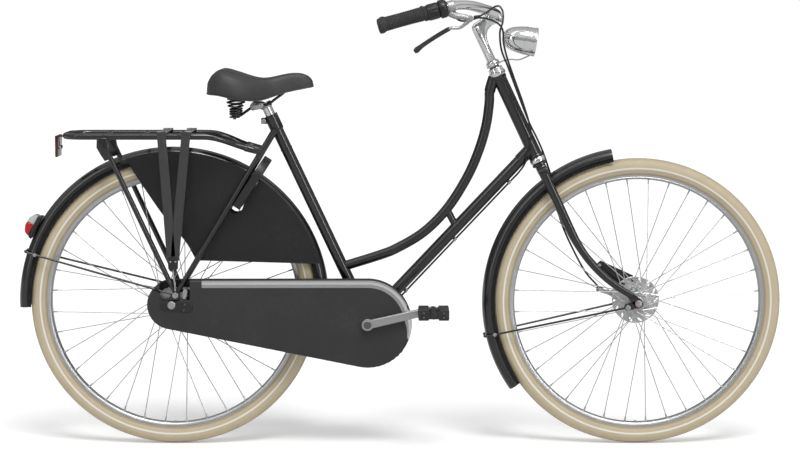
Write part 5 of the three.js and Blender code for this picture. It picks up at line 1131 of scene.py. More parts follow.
def stem_and_bar():
    dress(rod("quill", on_head(0, 0, 185), on_head(0, 0, 300), 11.1, sides=40, edge=1), chrome, "stem")
    neck = rod("stem_neck", on_head(0, 0, 277.4), on_head(0, 0, 371), 11.1, sides=48, edge=1.5)
    outline = [
        (-11, 340), (-11, 366), (-9.6, 373), (-5, 378.4), (2, 381), (14, 382.6), (30, 387), (46, 390.6), (52, 384),
        (52, 366), (46, 358.8), (34, 357), (24, 352), (16.4, 343), (12.4, 332), (11, 318), (0, 318),
    ]
    arm = plate("stem_arm", outline, -8.6, 8.6, HEAD, 5, 5)
    neck_ring = turned(
        "stem_foot", [(11.2, 277.3), (12.6, 277.3), (13.2, 278), (12.6, 280), (11.2, 280)], LOWER_HEAD, HEAD_UP, 48,
    )
    clamp = rod("stem_clamp", in_clamp(-22), in_clamp(22), 16.5, sides=48, edge=2)
    lip = plate(
        "stem_clamp_lip", belt(0, 0, 7, 19, -2, 6.5, 10), -11, 11, axes(in_clamp(0), HEAD_AHEAD, ACROSS, HEAD_UP), 1.4,
        3,
    )
    for piece in (neck, arm, clamp, lip):
        carve(piece, rod("bore", in_clamp(-60), in_clamp(60), BAR_RADIUS + 0.2, sides=40))
        dress(piece, chrome, "stem", angle=50)
    dress(neck_ring, chrome, "stem")
    shaft = rod("shaft", in_clamp(0, 18.5, -20), in_clamp(0, 18.5, 12), 3.6, sides=20, edge=0.4)
    head = rod("head", in_clamp(0, 18.5, 5), in_clamp(0, 18.5, 13), 5.6, sides=24, edge=0.8)
    dress(merge("stem_clamp_bolt", [shaft, head]), plain_steel, "stem")
    expander = rod("expander", on_head(0, 0, 350), on_head(0, 0, 356.5), 6, sides=6, edge=0.8)
    dress(named("stem_expander_bolt", expander), plain_steel, "stem")

    rail = []
    for side in (RIGHT, LEFT):
        row = [in_clamp(side * 22)] + [
            bar_point(share, side) - HEAD_UP * sag * MM for share, sag in zip(BAR_SHARES, BAR_SAG)
        ]
        rail.append(through(row, 40) + [on_bar(side, 1.5)])
    dress(tube("handlebar_tube", rail[0][::-1] + rail[1], BAR_RADIUS, sides=32, steps=3), chrome, "handlebar", angle=60)


def grips():
    for name, side in SIDES:
        along = bar_along(side)
        profile = [(11.4, 114), (17.2, 114), (17.9, 112.8), (17.9, 108.6), (17, 106.6), (15.4, 104.4)]
        for k in range(19):
            low = 101.5 - k * 4.6
            waist = 14.75 + 0.75 * ((low - 57) / 46) ** 2
            profile += [(waist, low), (waist + 0.75, low - 0.7), (waist + 0.75, low - 2.6), (waist, low - 3.3)]
        profile += [
            (15.8, 12), (17.6, 8.4), (18.5, 5.4), (18.5, 0.6), (17.8, -2), (15.4, -4), (12, -4.5), (0, -4.5),
            (0, -0.3), (11.4, -0.3),
        ]
        dress(turned("grip_sleeve_" + name, profile, bar_end(side), along, 60), grip_rubber, "grip_" + name, angle=30)


fork()
stem_and_bar()
grips()


# Hand controls

def controls():
    along = bar_along(RIGHT)
    ribs = []
    for k in range(7):
        low = 2.4 + k * 3.8
        ribs += [(18.4, low), (19, low + 0.8), (19, low + 2.2), (18.4, low + 3)]
    profile = [(11.4, 0), (17, 0), (18, 0.8), (18.2, 2)] + ribs + [(18.2, 29.2), (17.6, 30), (11.4, 30)]
    twist = turned("shifter_drum", profile, on_bar(RIGHT, GRIP_LENGTH + 0.3), along, 72)
    dress(twist, housing_plastic, "twist_shifter", angle=28)
    for k in range(8):
        turn = Matrix.Rotation(k * math.pi / 4, 4, along)
        side = turn @ along.orthogonal().normalized()
        place = on_bar(RIGHT, GRIP_LENGTH + 15.3) + side * 17.6 * MM
        pad = rod("shifter_lug_%d" % k, place - along * 0.011, place + along * 0.011, 2, sides=12, edge=0.8)
        dress(pad, housing_plastic, "twist_shifter")

    start = GRIP_LENGTH + 30.6
    body = turned(
        "shifter_housing_drum",
        [
            (11.5, 0), (19.6, 0), (21.2, 0.8), (22, 2.4), (22, 12), (20.6, 16), (17.6, 19), (15.4, 20), (11.5, 20),
        ],
        on_bar(RIGHT, start), along, 64,
    )
    dress(body, housing_plastic, "shifter_housing")
    middle = on_bar(RIGHT, start + 9.5)
    exit_at = middle + HEAD_AHEAD * 0.0133 + ACROSS * 0.0195 - HEAD_UP * 0.0226
    out = (exit_at - middle).normalized()
    bore = rod("bore", on_bar(RIGHT, 0), on_bar(RIGHT, 300), 11.5, sides=32)
    box = rod("shifter_outlet", middle, exit_at, 10.5, 7, sides=36, edge=1.6)
    carve(box, bore)
    dress(box, housing_plastic, "shifter_housing")
    nut = rod("shifter_adjuster", exit_at - out * 0.004, exit_at + out * 0.006, 4, 3.4, sides=16, edge=0.4)
    dress(nut, plain_steel, "shifter_housing")
    screw_at = on_bar(RIGHT, start + 7)
    face = (HEAD_UP * 0.25 - ACROSS * 0.2 - HEAD_AHEAD * 0.9).normalized()
    face = (face - along * face.dot(along)).normalized()
    screw = rod("shifter_clamp_screw", screw_at + face * 0.0195, screw_at + face * 0.0212, 2.6, sides=18, edge=0.4)
    dress(screw, plain_steel, "shifter_housing")


LEVER_PIVOT = (-10, -258, 401)
LEVER_SHARES = [
    (0, 0, 0), (-0.1, -0.003, -0.42), (-0.196, -0.006, -0.6), (-0.275, -0.009, -0.34), (-0.355, -0.012, -0.05),
    (-0.6, -0.02, -0.25), (-0.85, -0.03, -0.62), (-1, -0.04, -1),
]


def lever_place(share):
    x, y, z = share
    return on_head(LEVER_PIVOT[0] + x * 152, LEVER_PIVOT[1] + y * 152, LEVER_PIVOT[2] + z * 15)


def brake_lever():
    line = through([lever_place(share) for share in LEVER_SHARES], 36)
    blade = line[:22]
    rows = []
    for number, place in enumerate(blade):
        ahead = (line[number + 1] - line[max(0, number - 1)]).normalized()
        out = ahead.cross(ACROSS).normalized()
        high = 3.6 + 2.2 * math.exp(-((number - 2) / 3) ** 2)
        rows.append([
            place + (ACROSS * 5 * math.cos(turn) * abs(math.cos(turn)) ** -0.35 + out * high * math.sin(turn)) * MM
            if abs(math.cos(turn)) > 1e-6 else place + out * high * math.sin(turn) * MM
            for turn in spread(0, 2 * math.pi, 25)
        ])
    dress(skin("brake_lever_blade", rows, close=True), satin_alloy, "brake_lever", angle=50)
    shares = [0.94, 1, 1, 1, 1, 1, 1, 1, 1, 1.02, 1.05, 1.12, 1.24, 1.34, 1.26, 0.8]
    dress(tube("brake_lever_sleeve", line[20:], 5.2, shares, sides=24, steps=4), grip_rubber, "brake_lever", angle=60)
    low, high = (on_head(LEVER_PIVOT[0], LEVER_PIVOT[1] + y, LEVER_PIVOT[2]) for y in (-5, 5))
    boss = rod("brake_lever_boss", low, high, 8, sides=40, edge=0.8)
    carve(boss, rod("bore", low - ACROSS * 0.01, high + ACROSS * 0.01, 3.3, sides=24))
    dress(boss, satin_alloy, "brake_lever")


def lever_mount():
    """A clamp beside the shifter with a horn that carries the lever's pivot and the cable's end."""
    along = bar_along(RIGHT)
    centre = on_bar(RIGHT, GRIP_LENGTH + 60)
    collar = turned(
        "lever_clamp",
        [(11.2, -8), (13.2, -8), (14, -7.2), (14, 7.2), (13.2, 8), (11.2, 8)],
        centre, along, 64,
    )
    dress(collar, cast_alloy, "brake_lever_mount")
    pivot = on_head(*LEVER_PIVOT)
    reach = pivot - centre
    ahead = (reach - ACROSS * reach.y).normalized()
    out = ahead.cross(ACROSS).normalized()
    if out.z < 0:
        out = -out
    line = through(
        [
            centre - out * 0.013, mix(centre, pivot, 0.4) - out * 0.0125, mix(centre, pivot, 0.75) - out * 0.004,
            pivot + ahead * 0.004,
        ],
        20,
    )
    rows = []
    for number, place in enumerate(line):
        share = number / 19
        high = mix(9.5, 6, share) * (1 if 0 < number < 19 else 0.75)
        wide = mix(8.5, 7.6, share) * (1 if 0 < number < 19 else 0.75)
        rows.append(
            [
                place + (ACROSS * wide * math.cos(turn) + out * high * math.sin(turn)) * MM
                for turn in spread(0, 2 * math.pi, 25)
            ],
        )
    horn = skin("lever_horn", rows, close=True)
    carve(horn, rod("room", pivot - ACROSS * 0.0053, pivot + ACROSS * 0.0053, 9, sides=32))
    carve(horn, rod("bar_room", on_bar(RIGHT, 90), on_bar(RIGHT, 400), 11.2, sides=40))
    dress(horn, cast_alloy, "brake_lever_mount", angle=50)
    for name, side in SIDES:
        ear_low = pivot + ACROSS * side * 5.3 * MM
        ear = rod("lever_ear_" + name, ear_low, ear_low + ACROSS * side * 3 * MM, 8, sides=36, edge=0.6)
        dress(ear, cast_alloy, "brake_lever_mount")
    pin = rod("pin", pivot - ACROSS * 0.0095, pivot + ACROSS * 0.0095, 3, sides=20, edge=0.3)
    head = rod("head", pivot - ACROSS * 0.0103, pivot - ACROSS * 0.008, 5, sides=24, edge=0.5)
    dress(merge("lever_pivot_screw", [pin, head]), plain_steel, "brake_lever_mount")
    screw = rod("lever_clamp_screw", centre - out * 0.021, centre - out * 0.0245, 4, sides=6, edge=0.6)
    dress(screw, plain_steel, "brake_lever_mount")


# Head lamp

LAMP_TILT = math.radians(64.8 - 90 - 9)
LAMP_WAY = (HEAD_AHEAD * math.cos(LAMP_TILT) + HEAD_UP * math.sin(LAMP_TILT)).normalized()
LAMP_FRONT = on_head(119.5, 0, 273.4)


def headlamp():
    outer = [
        (0, -85), (4, -84.8), (9, -83.8), (14.2, -81.4), (19.4, -77.4), (24.2, -71), (28.2, -62.4), (31, -52),
        (33, -41), (33.9, -34), (34.3, -30), (35, -29.4), (35, -27), (34.4, -26.4), (34.6, -18), (34.6, -8),
        (35.3, -7), (35.5, -5.6), (35.5, -1.2), (35, -0.4), (34, 0), (33.4, -0.6), (33.4, -9.5), (30, -18),
        (24.8, -42), (14, -58), (0, -63),
    ]
    dress(turned("headlamp_bullet", outer, LAMP_FRONT, LAMP_WAY, 96), chrome, "headlamp_shell", angle=40)
    mirror = turned(
        "headlamp_mirror",
        [
            (33.2, -8), (32.6, -8), (26, -26), (18, -36), (10, -41.5), (0, -43.5), (0, -44.3), (10.4, -42.4),
            (18.6, -37), (26.8, -27), (33.2, -9.4),
        ],
        LAMP_FRONT, LAMP_WAY, 72,
    )
    dress(mirror, chrome, "headlamp_shell", angle=50)
    bulb = turned(
        "headlamp_bulb", [(0, -30), (3, -31), (4.6, -34), (4.4, -38), (3, -41), (3, -43), (0, -43)], LAMP_FRONT,
        LAMP_WAY, 32,
    )
    dress(bulb, lamp_glass, "headlamp_shell", angle=50)
    lens = turned(
        "headlamp_glass",
        [
            (0, -5.2), (20, -5.6), (32.6, -6.8), (33.1, -6.6), (33.1, -3.2), (32.4, -2.6), (27, -1.4), (18, -0.1),
            (9, 0.8), (0, 1),
        ],
        LAMP_FRONT, LAMP_WAY, 96,
    )
    dress(lens, lamp_glass, "headlamp_lens", angle=50)

    ring = turned(
        "lamp_bracket_ring", [(13, 265.3), (17.2, 265.3), (18, 265.9), (18, 267.6), (17.2, 268.2), (13, 268.2)],
        LOWER_HEAD, HEAD_UP, 48,
    )
    dress(ring, chrome, "headlamp_shell")
    foot = LAMP_FRONT - LAMP_WAY * 0.0255 - HEAD_UP * 0.0365
    row = through([
        on_head(12, 0, 266.8), on_head(26, 0, 266.8), on_head(45, 0, 262), on_head(64, 0, 252.5),
        foot - HEAD_AHEAD * 0.004,
    ], 26)
    strip = ribbon("lamp_bracket_strip", row, ACROSS, band_section(8, 0.6, 1.1, 1.5))
    carve(strip, rod("bore", on_head(0, 0, 250), on_head(0, 0, 280), 13, sides=32))
    dress(strip, chrome, "headlamp_shell", angle=40)
    yoke = block("lamp_yoke", Vector(), (13, 17, 13), 2.4, 3)
    yoke.data.transform(axes(foot + HEAD_UP * 0.0035, LAMP_WAY, ACROSS, LAMP_WAY.cross(ACROSS).normalized()))
    dress(yoke, chrome, "headlamp_shell")
    bolt = rod("bolt", foot - ACROSS * 0.0125, foot + ACROSS * 0.0125, 2.6, sides=20)
    heads = [
        rod("head", foot + ACROSS * side * 0.0088, foot + ACROSS * side * 0.0128, 5.2, sides=sides, edge=0.7)
        for side, sides in ((-1, 28), (1, 6))
    ]
    dress(merge("lamp_pivot_bolt", [bolt, *heads]), plain_steel, "headlamp_shell")


controls()
brake_lever()
lever_mount()
headlamp()


# Front roller brake and its axle

def axle_set(name, node, axle, inner, thickness):
    start = inner + thickness + 0.3
    pieces = [rod("shaft", axle - ACROSS * (start + 7) * MM, axle + ACROSS * (start + 7) * MM, 5, sides=24, edge=0.8)]
    for side in (-1, 1):
        washer = across("washer", axle, side * start, side * (start + 1.6), 9, sides=32, edge=0.3)
        nut = across("nut", axle, side * (start + 1.4), side * (start + 6.4), 8.8, sides=6, edge=0.9)
        pieces += [washer, nut]
    dress(merge(name, pieces), plain_steel, node)


DISC_SLOTS = 14


def roller_brake():
    disc = turned(
        "cooling_disc",
        [
            (26, 22.6), (34, 22.6), (36, 23.4), (55, 23.4), (57.4, 22.7), (59, 23.6), (59, 26.4), (57.4, 27.4),
            (55, 26.6), (36, 26.6), (34, 27.4), (26, 27.4),
        ],
        FRONT_AXLE, steps=120,
    )
    cutters = []
    for k in range(DISC_SLOTS):
        angle = k * 360 / DISC_SLOTS
        slot = plate("slot", belt(48, -3, 2.2, 54.4, 3, 2.4, 6), 10, 40, edge=0)
        slot.data.transform(AT_FRONT @ Matrix.Rotation(math.radians(angle), 4, ACROSS))
        cutters.append(slot)
    carve(disc, merge("slots", cutters))
    dress(disc, disc_alloy, "front_brake", angle=30)
    drum = turned(
        "brake_drum",
        [
            (0, 18.4), (24, 18.4), (25.6, 19.2), (26, 20.4), (26, 22.6), (27.6, 23), (27.6, 28), (26, 28.6),
            (25.4, 31), (25.8, 31.6), (25.2, 37), (24.4, 37.6), (23.6, 44.6), (22.6, 46), (12, 46), (0, 46),
        ],
        FRONT_AXLE, steps=80,
    )
    dress(drum, cast_alloy, "front_brake", angle=35)
    arm = plate("reaction_arm", [(-22, -6), (12, 20), (-5, 60), (-88, 98), (-102, 84)], 32.5, 36.5, AT_FRONT, 1, 3)
    dress(arm, gloss_paint, "front_brake")
    cam = plate("brake_cam_lever", belt(0, 0, 10, -88, 22, 5, 12), 39, 43, AT_FRONT, 0.9, 3)
    dress(cam, plain_steel, "front_brake")
    anchor = across("cable_anchor", FRONT_AXLE + at(-88, 0, 22), 36.8, 46, 4.4, sides=20, edge=0.6)
    dress(anchor, plain_steel, "front_brake")
    housing = across("brake_cam_housing", FRONT_AXLE + at(-45, 0, 14), 29, 46, 16, 14.5, sides=48, edge=2.4)
    dress(housing, cast_alloy, "front_brake")
    dress(block("brake_cable_clamp", FRONT_AXLE + at(-88, 44, 24), (17, 9, 13), 2, 3), housing_plastic, "front_brake")
    bolt_at = FRONT_AXLE + at(-90, 0, 86)
    dress(across("reaction_arm_bolt", bolt_at, 31, 40.5, 4.6, sides=6, edge=0.7), plain_steel, "front_brake")
    axle_set("front_axle_and_nuts", "front_brake", FRONT_AXLE, 50, 5)
    cap = turned(
        "front_axle_ring", [(3.2, -62), (6.6, -62), (7, -61.6), (7, -60.6), (3.2, -60.6)], FRONT_AXLE, steps=32,
    )
    dress(cap, anodised_red, "front_brake")


# Fenders and their stays

# The flanges are matte black sheets inside the fender's lips, down towards the tyre: painted shadow under the fender.
SHADOW_FLANGE_SECTION = ((367.5, 24.6), (355, 24), (355, 23.2), (367.5, 23.8))
STAY_RADIUS = 2.6
STAY_GAP = 0.3


def swept(name, section, axle, start, end, steps):
    """A closed section of (radius, y) pairs swept round an axle between two angles, with closed ends."""
    clear_selection()
    bpy.ops.mesh.primitive_circle_add(vertices=len(section), radius=MM, fill_type="NOTHING")
    piece = named(name)
    for vertex, (radius, y) in zip(piece.data.vertices, section):
        vertex.co = round_axle(axle, radius, start, y)
    edit(piece)
    bpy.ops.mesh.spin(steps=steps, angle=math.radians(end - start), center=axle, axis=ACROSS)
    bpy.ops.mesh.select_all(action="SELECT")
    bpy.ops.mesh.remove_doubles(threshold=WELD)
    bpy.ops.mesh.fill_holes(sides=0)
    bpy.ops.mesh.normals_make_consistent(inside=False)
    return done()


def fender_section():
    skin_row = []
    for turn in spread(-90, 90, 25):
        share = math.sin(math.radians(turn))
        skin_row.append(
            (FENDER_RADIUS - FENDER_DEPTH * (1 - math.cos(math.radians(turn))) ** 1.15, share * FENDER_HALF_WIDTH),
        )
    inner = [
        (radius - 1.3 * (0.35 + 0.65 * math.cos(math.asin(min(1, abs(y) / FENDER_HALF_WIDTH)))), y * 0.953)
        for radius, y in skin_row
    ]
    lip = FENDER_RADIUS - FENDER_DEPTH
    right = [(lip - 0.9, -26.2), (lip - 1.5, -26.9), (lip - 0.9, -27.5)]
    left = [(radius, -y) for radius, y in reversed(right)]
    return skin_row + left + inner[::-1] + right


def fender(end, axle, start, finish_angle, steps):
    body = swept(end + "_fender_sheet", fender_section(), axle, start, finish_angle, steps)
    dress(body, gloss_paint, end + "_fender", angle=50)
    for name, side in SIDES:
        # Each flange is a black sheet of painted shadow between the fender's lip and the tyre.
        section = [(radius, side * y) for radius, y in SHADOW_FLANGE_SECTION]
        flange = swept("%s_fender_shadow_flange_%s" % (end, name), section, axle, start, finish_angle, steps)
        dress(flange, shadow_black, end + "_fender", angle=50)


def stay_edge(axle, angle, side, radius):
    return round_axle(axle, radius, angle, side * (FENDER_HALF_WIDTH + STAY_GAP + STAY_RADIUS))


def fender_stay(end, axle, angle, eye_x, eye_z, eye_y):
    node = end + "_fender_stay"
    for name, side in SIDES:
        eye = axle + at(eye_x, side * eye_y, eye_z)
        ring = turned(
            "stay_eye", [(4.3, -2.6), (7.4, -2.6), (8, -2), (8, 2), (7.4, 2.6), (4.3, 2.6)], eye, steps=36,
        )
        foot = axle + at(eye_x, side * (eye_y + 0.6), eye_z)
        top = stay_edge(axle, angle, side, FENDER_RADIUS - 10)
        away = (top - foot).normalized()
        leg = tube(
            "leg",
            [
                foot + away * 0.0065, mix(foot, top, 0.3), mix(foot, top, 0.7), top,
                stay_edge(axle, angle, side, FENDER_RADIUS),
            ],
            STAY_RADIUS, sides=16, straight=True,
        )
        nut_at = mix(top, foot, 0.035)
        out = ACROSS * side
        dress(merge(end + "_stay_leg_" + name, [ring, leg]), gloss_paint, node)
        clamp = rod("clamp", nut_at - out * 0.0028, nut_at + out * 0.0042, 4.6, sides=20, edge=0.7)
        nut = rod("nut", nut_at + out * 0.0038, nut_at + out * 0.0062, 3.4, sides=6, edge=0.4)
        dress(merge(end + "_stay_clamp_" + name, [clamp, nut]), plain_steel, node)
    bow_y = FENDER_HALF_WIDTH + STAY_GAP + STAY_RADIUS + 1.3
    bow_radius = FENDER_RADIUS + 2.9
    row = [round_axle(axle, radius, angle, y) for radius, y in (
        (FENDER_RADIUS - 4, -bow_y + 1.3), (bow_radius - 2.4, -bow_y + 1), (bow_radius, -bow_y + 4), (bow_radius, 0),
        (bow_radius, bow_y - 4), (bow_radius - 2.4, bow_y - 1), (FENDER_RADIUS - 4, bow_y - 1.3),
    )]
    dress(tube(end + "_stay_bow", row, STAY_RADIUS, sides=16, steps=5), gloss_paint, node)


roller_brake()
fender("front", FRONT_AXLE, 100, 215, 110)
fender("rear", REAR_AXLE, -5, 182, 170)
fender_stay("front", FRONT_AXLE, 192.8, -27, -9, 58)
fender_stay("rear", REAR_AXLE, 161, 10, 25, 82)


# Skirt guards

GUARD_RADIUS = 376
GUARD_Y = 27.8
GUARD_WALL = 1.5
LOCK_ANGLE = 56.9
LOCK_WAY = direction(LOCK_ANGLE)


def across_guard(radius, size):
    middle = REAR_AXLE + LOCK_WAY * radius * MM
    return rod("opening", middle - ACROSS * 0.1, middle + ACROSS * 0.1, size, sides=48)


def skirt_guards():
    edge = arc(0, 0, GUARD_RADIUS, 15, 108, 72)
    corners = [Vector(edge[-1])] + [
        Vector(share) * GUARD_RADIUS for share in ((-0.078, 0.603), (0.081, 0.409), (0.153, 0.288), (0.186, 0.281))
    ]
    inner = [tuple(place) for place in through(corners, 24)[1:]]
    for name, side in SIDES:
        low = GUARD_Y if side > 0 else -GUARD_Y - GUARD_WALL
        panel = plate("skirt_guard_panel_" + name, edge + inner, low, low + GUARD_WALL, AT_REAR, 0)
        openings = [
            across_guard(radius, size)
            for radius, size in ((286, 17), (293, 15.5), (301, 14), (312, 12), (391, 21))
        ]
        carve(panel, *openings)
        dress(round_edges(panel, 0.3, 1, 50), guard_vinyl, "skirt_guard_" + name)
        hem = [REAR_AXLE + at(x, side * (GUARD_Y + GUARD_WALL), z) for x, z in [edge[0]] + inner[::-1]]
        dress(tube("skirt_guard_hem_" + name, hem, 1.1, sides=8, steps=2), guard_vinyl, "skirt_guard_" + name)
        for k, angle in enumerate((20, 38, 76, 92, 104)):
            place = round_axle(REAR_AXLE, 370, angle, side * GUARD_Y)
            stud = rod(
                "skirt_guard_stud_%s_%d" % (name, k), place, place + ACROSS * side * 0.0032, 3.6, 3, sides=18, edge=0.6,
            )
            dress(stud, guard_vinyl, "skirt_guard_" + name)


# Chain case: two covers, the clips round their edge, and the bright strip

CASE = (BOTTOM_BRACKET - REAR_AXLE) / MM


def case_outline(inset, count=64):
    return belt(0, 0, CASE_REAR_RADIUS - inset, CASE.x, CASE.z, CASE_FRONT_RADIUS - inset, count)


def case_shell(name, inset, face, rim, edge, segments):
    """The case's outline as a plate between two heights of y, rounded round its face."""
    shell = plate(name, case_outline(inset), min(face, rim), max(face, rim), AT_REAR, 0)
    pick(shell, "EDGE", lambda edge: all(
        abs(shell.data.vertices[end].co.y - face * MM) < 1e-6 for end in edge.vertices
    ))
    bpy.ops.mesh.bevel(offset=edge * MM, segments=segments, affect="EDGES")
    done()
    return shell


def case_cover(name, face, rim):
    inward = 1 if rim > face else -1
    shell = case_shell(name, 0, face, rim, 4, 4)
    inside = case_shell("hollow", CASE_WALL, face + CASE_WALL * inward, rim + 5 * inward, 3, 3)
    spindle = rod("spindle", BOTTOM_BRACKET - ACROSS * 0.12, BOTTOM_BRACKET, 22, sides=64)
    return carve(shell, inside, spindle)


def rise(piece, edge):
    """How far apart in y an edge's ends are, in metres."""
    first, last = (piece.data.vertices[end].co for end in edge.vertices)
    return abs((first - last).y)


def chain_case():
    outer = case_cover("chain_case_cover_outer", CASE_OUTER_Y, CASE_SPLIT_Y - 0.3)
    notch = plate("notch", [(-30, 10), (45, 10), (45, 109), (-30, 109)], -90, -50, AT_REAR, 0)
    pick(notch, "EDGE", lambda edge: rise(notch, edge) > 0.03)
    bpy.ops.mesh.bevel(offset=7 * MM, segments=5, affect="EDGES")
    done()
    groove = rod(
        "groove", REAR_AXLE + at(EYE[0], -82, EYE[1]), stay_edge(REAR_AXLE, 161, -1, FENDER_RADIUS), 5.7, sides=20,
    )
    carve(outer, notch, groove)
    dress(outer, case_paint, "chain_case_outer")

    inner = case_cover("chain_case_cover_inner", CASE_INNER_Y, CASE_SPLIT_Y + 0.3)
    start, middle, end = chain_stay_line(RIGHT)
    hub_hole = rod("hub_hole", REAR_AXLE - ACROSS * 0.08, REAR_AXLE, 33, sides=64)
    carve(inner, hub_hole, rod("stay", start, middle, 10.8, sides=32), rod("stay", middle, end, 10.8, sides=32))
    dress(inner, case_paint, "chain_case_inner")

    front = [
        (direction(angle) * CASE_FRONT_RADIUS + CASE, direction(angle))
        for angle in (-40.1, -47, -54, -61, -68, -75, -82, -89.5)
    ]
    start, end = (Vector((place[0], 0, place[1])) for place in (case_outline(0)[0], case_outline(0)[-1]))
    under = (start - end).cross(ACROSS).normalized()
    rear = [
        (mix(start, end, share), under)
        for share in (0.01, 0.065, 0.17, 0.275, 0.38, 0.485, 0.59, 0.695, 0.8, 0.905)
    ]
    for k, (place, out) in enumerate(front + rear):
        clip = block("clip", Vector(), (8, 9, 4), 1.2)
        clip.data.transform(axes(REAR_AXLE + place * MM + at(0, CASE_SPLIT_Y - 4.8, 0), out.cross(ACROSS), ACROSS, out))
        dress(named("chain_case_clip_%d" % k, clip), case_paint, "chain_case_outer")

    collar = turned(
        "chain_case_seal", [(15.2, -79), (22.2, -79), (22.2, -80.2), (21, -82.4), (17.4, -82.8), (15.2, -82.6)],
        BOTTOM_BRACKET, steps=72,
    )
    dress(collar, grip_rubber, "chain_case_outer")
    cap = plate("chain_case_axle_cover", belt(-18, -3, 11, 38, -4, 14, 18), -82.6, -78.6, AT_REAR, 1.4, 4)
    dress(cap, housing_plastic, "chain_case_outer")
    dress(
        rod("axle_cover_boss", REAR_AXLE - ACROSS * 0.082, REAR_AXLE - ACROSS * 0.0865, 11, 9.4, sides=48, edge=1.2),
        satin_alloy, "chain_case_outer",
    )
    for k, (x, z) in enumerate(((30, -13), (33, 2))):
        screw = across("axle_cover_screw_%d" % k, REAR_AXLE + at(x, 0, z), -82, -83.6, 2.4, sides=18, edge=0.5)
        dress(screw, dark_steel, "chain_case_outer")
    oval = plate("chain_case_window", belt(31, 19, 4.4, 33.5, 34, 5.4, 12), -79.2, -78, AT_REAR, 0.4)
    dress(oval, satin_alloy, "chain_case_outer")


def chain_case_strip():
    """A half-round bright strip along the upper edge and down round the front. Its inner half is duller satin alloy,
    painted shade on the chrome.
    """
    radius = CASE_FRONT_RADIUS - 1
    line = [
        Vector((x, mix(CASE_REAR_RADIUS, CASE.z + CASE_FRONT_RADIUS, x / CASE.x) - 1, 0))
        for x in spread(74.5, CASE.x - 12, 24)
    ]
    line += [Vector((x, z, 0)) for x, z in arc(CASE.x, CASE.z, radius, 88, -20, 42)]
    # The inner half in satin alloy is painted shade on the chrome strip.
    for name, finish, low, high, bulge in (("bright", chrome, 0, 9.2, 1), ("painted_shade", satin_alloy, 9.2, 17.6, 0)):
        rows = []
        for number, place in enumerate(line):
            ahead = line[min(number + 1, len(line) - 1)] - line[max(number - 1, 0)]
            inward = Vector((ahead.y, -ahead.x, 0)).normalized()
            taper = min(1, 0.25 + (len(line) - 1 - number) / 14)
            row = []
            for depth, lift in (
                (0, 0), (0.12, 0.55), (0.3, 0.85), (0.5, 1), (0.7, 0.85), (0.88, 0.55), (1, 0), (0.5, -0.2), (0, 0),
            ):
                flat = place + inward * mix(low, high, depth) * taper
                height = -80.4 - lift * (0.75 if bulge else 0.5)
                row.append(REAR_AXLE + at(flat.x, height, flat.y))
            rows.append(row)
        dress(skin("chain_case_strip_" + name, rows, close=True), finish, "chain_case_trim", angle=60)


# Chainring, sprocket and chain

CHAIN_Y = -47.5
PITCH = 12.7
CHAINRING_TEETH = 38
SPROCKET_TEETH = 19


def pitch_radius(teeth):
    return PITCH / 2 / math.sin(math.pi / teeth)


def toothed(name, teeth, centre, bore):
    pitch = pitch_radius(teeth)
    outline = []
    for k in range(teeth):
        for share, radius in (
            (0.08, -3.6), (0.22, -3.2), (0.36, 0.4), (0.46, 3.6), (0.54, 3.6), (0.64, 0.4), (0.78, -3.2),
            (0.92, -3.6),
        ):
            outline += arc(0, 0, pitch + radius, (k + share) * 360 / teeth, 0, 2)[:1]
    disc = plate(name, outline, CHAIN_Y - 1.1, CHAIN_Y + 1.1, Matrix.Translation(centre), 0.3, 1)
    return carve(disc, rod("bore", centre - ACROSS * 0.09, centre, bore, sides=64))


def drive():
    ring = toothed("chainring_disc", CHAINRING_TEETH, BOTTOM_BRACKET, 15.2)
    cutters = []
    for k in range(5):
        turn = k * 72 + CRANK_ANGLE + 36
        window = plate("window", belt(44, 0, 12, 55, 0, 14, 14), CHAIN_Y - 9, CHAIN_Y + 9, edge=0)
        window.data.transform(Matrix.Translation(BOTTOM_BRACKET) @ Matrix.Rotation(math.radians(-turn), 4, ACROSS))
        cutters.append(window)
    dress(carve(ring, *cutters), satin_alloy, "chainring")
    dress(toothed("rear_sprocket_disc", SPROCKET_TEETH, REAR_AXLE, 11), plain_steel, "rear_sprocket")
    driver = turned(
        "rear_sprocket_driver", [(11, -48.4), (19, -48.4), (20, -47.6), (20, -35), (19.2, -34.4), (11, -34.4)],
        REAR_AXLE, steps=48,
    )
    dress(driver, dark_steel, "rear_sprocket")

    path = belt(0, 0, pitch_radius(SPROCKET_TEETH), CASE.x, CASE.z, pitch_radius(CHAINRING_TEETH), 120)
    line = [Vector((x, 0, z)) for x, z in path]
    line.append(line[0])
    marks = [0]
    for first, last in zip(line, line[1:]):
        marks.append(marks[-1] + (last - first).length)
    count = 2 * round(marks[-1] / PITCH / 2)
    step = marks[-1] / count
    pins = []
    for k in range(count + 1):
        reach = min(k * step, marks[-1] - 1e-6)
        j = max(n for n in range(len(marks) - 1) if marks[n] <= reach)
        pins.append(mix(line[j], line[j + 1], (reach - marks[j]) / (marks[j + 1] - marks[j])))
    inner = chain_link("link", 3.4, 1.3, 2.2)
    outer = chain_link("link", 3.4, 2.8, 3.9)
    pieces = []
    for k in range(count):
        here, there = pins[k], pins[k + 1]
        ahead = (there - here).normalized()
        place = axes(REAR_AXLE + (here + there) / 2 * MM + at(0, CHAIN_Y, 0), ahead, ACROSS, ahead.cross(ACROSS))
        pieces.append(copy_of(inner if k % 2 else outer, "link", place))
        pieces.append(copy_of(CHAIN_ROLLER, "roller", Matrix.Translation(REAR_AXLE + here * MM + at(0, CHAIN_Y, 0))))
    for source in (inner, outer, CHAIN_ROLLER):
        bpy.data.objects.remove(source)
    dress(merge("chain_links", pieces), plain_steel, "chain")


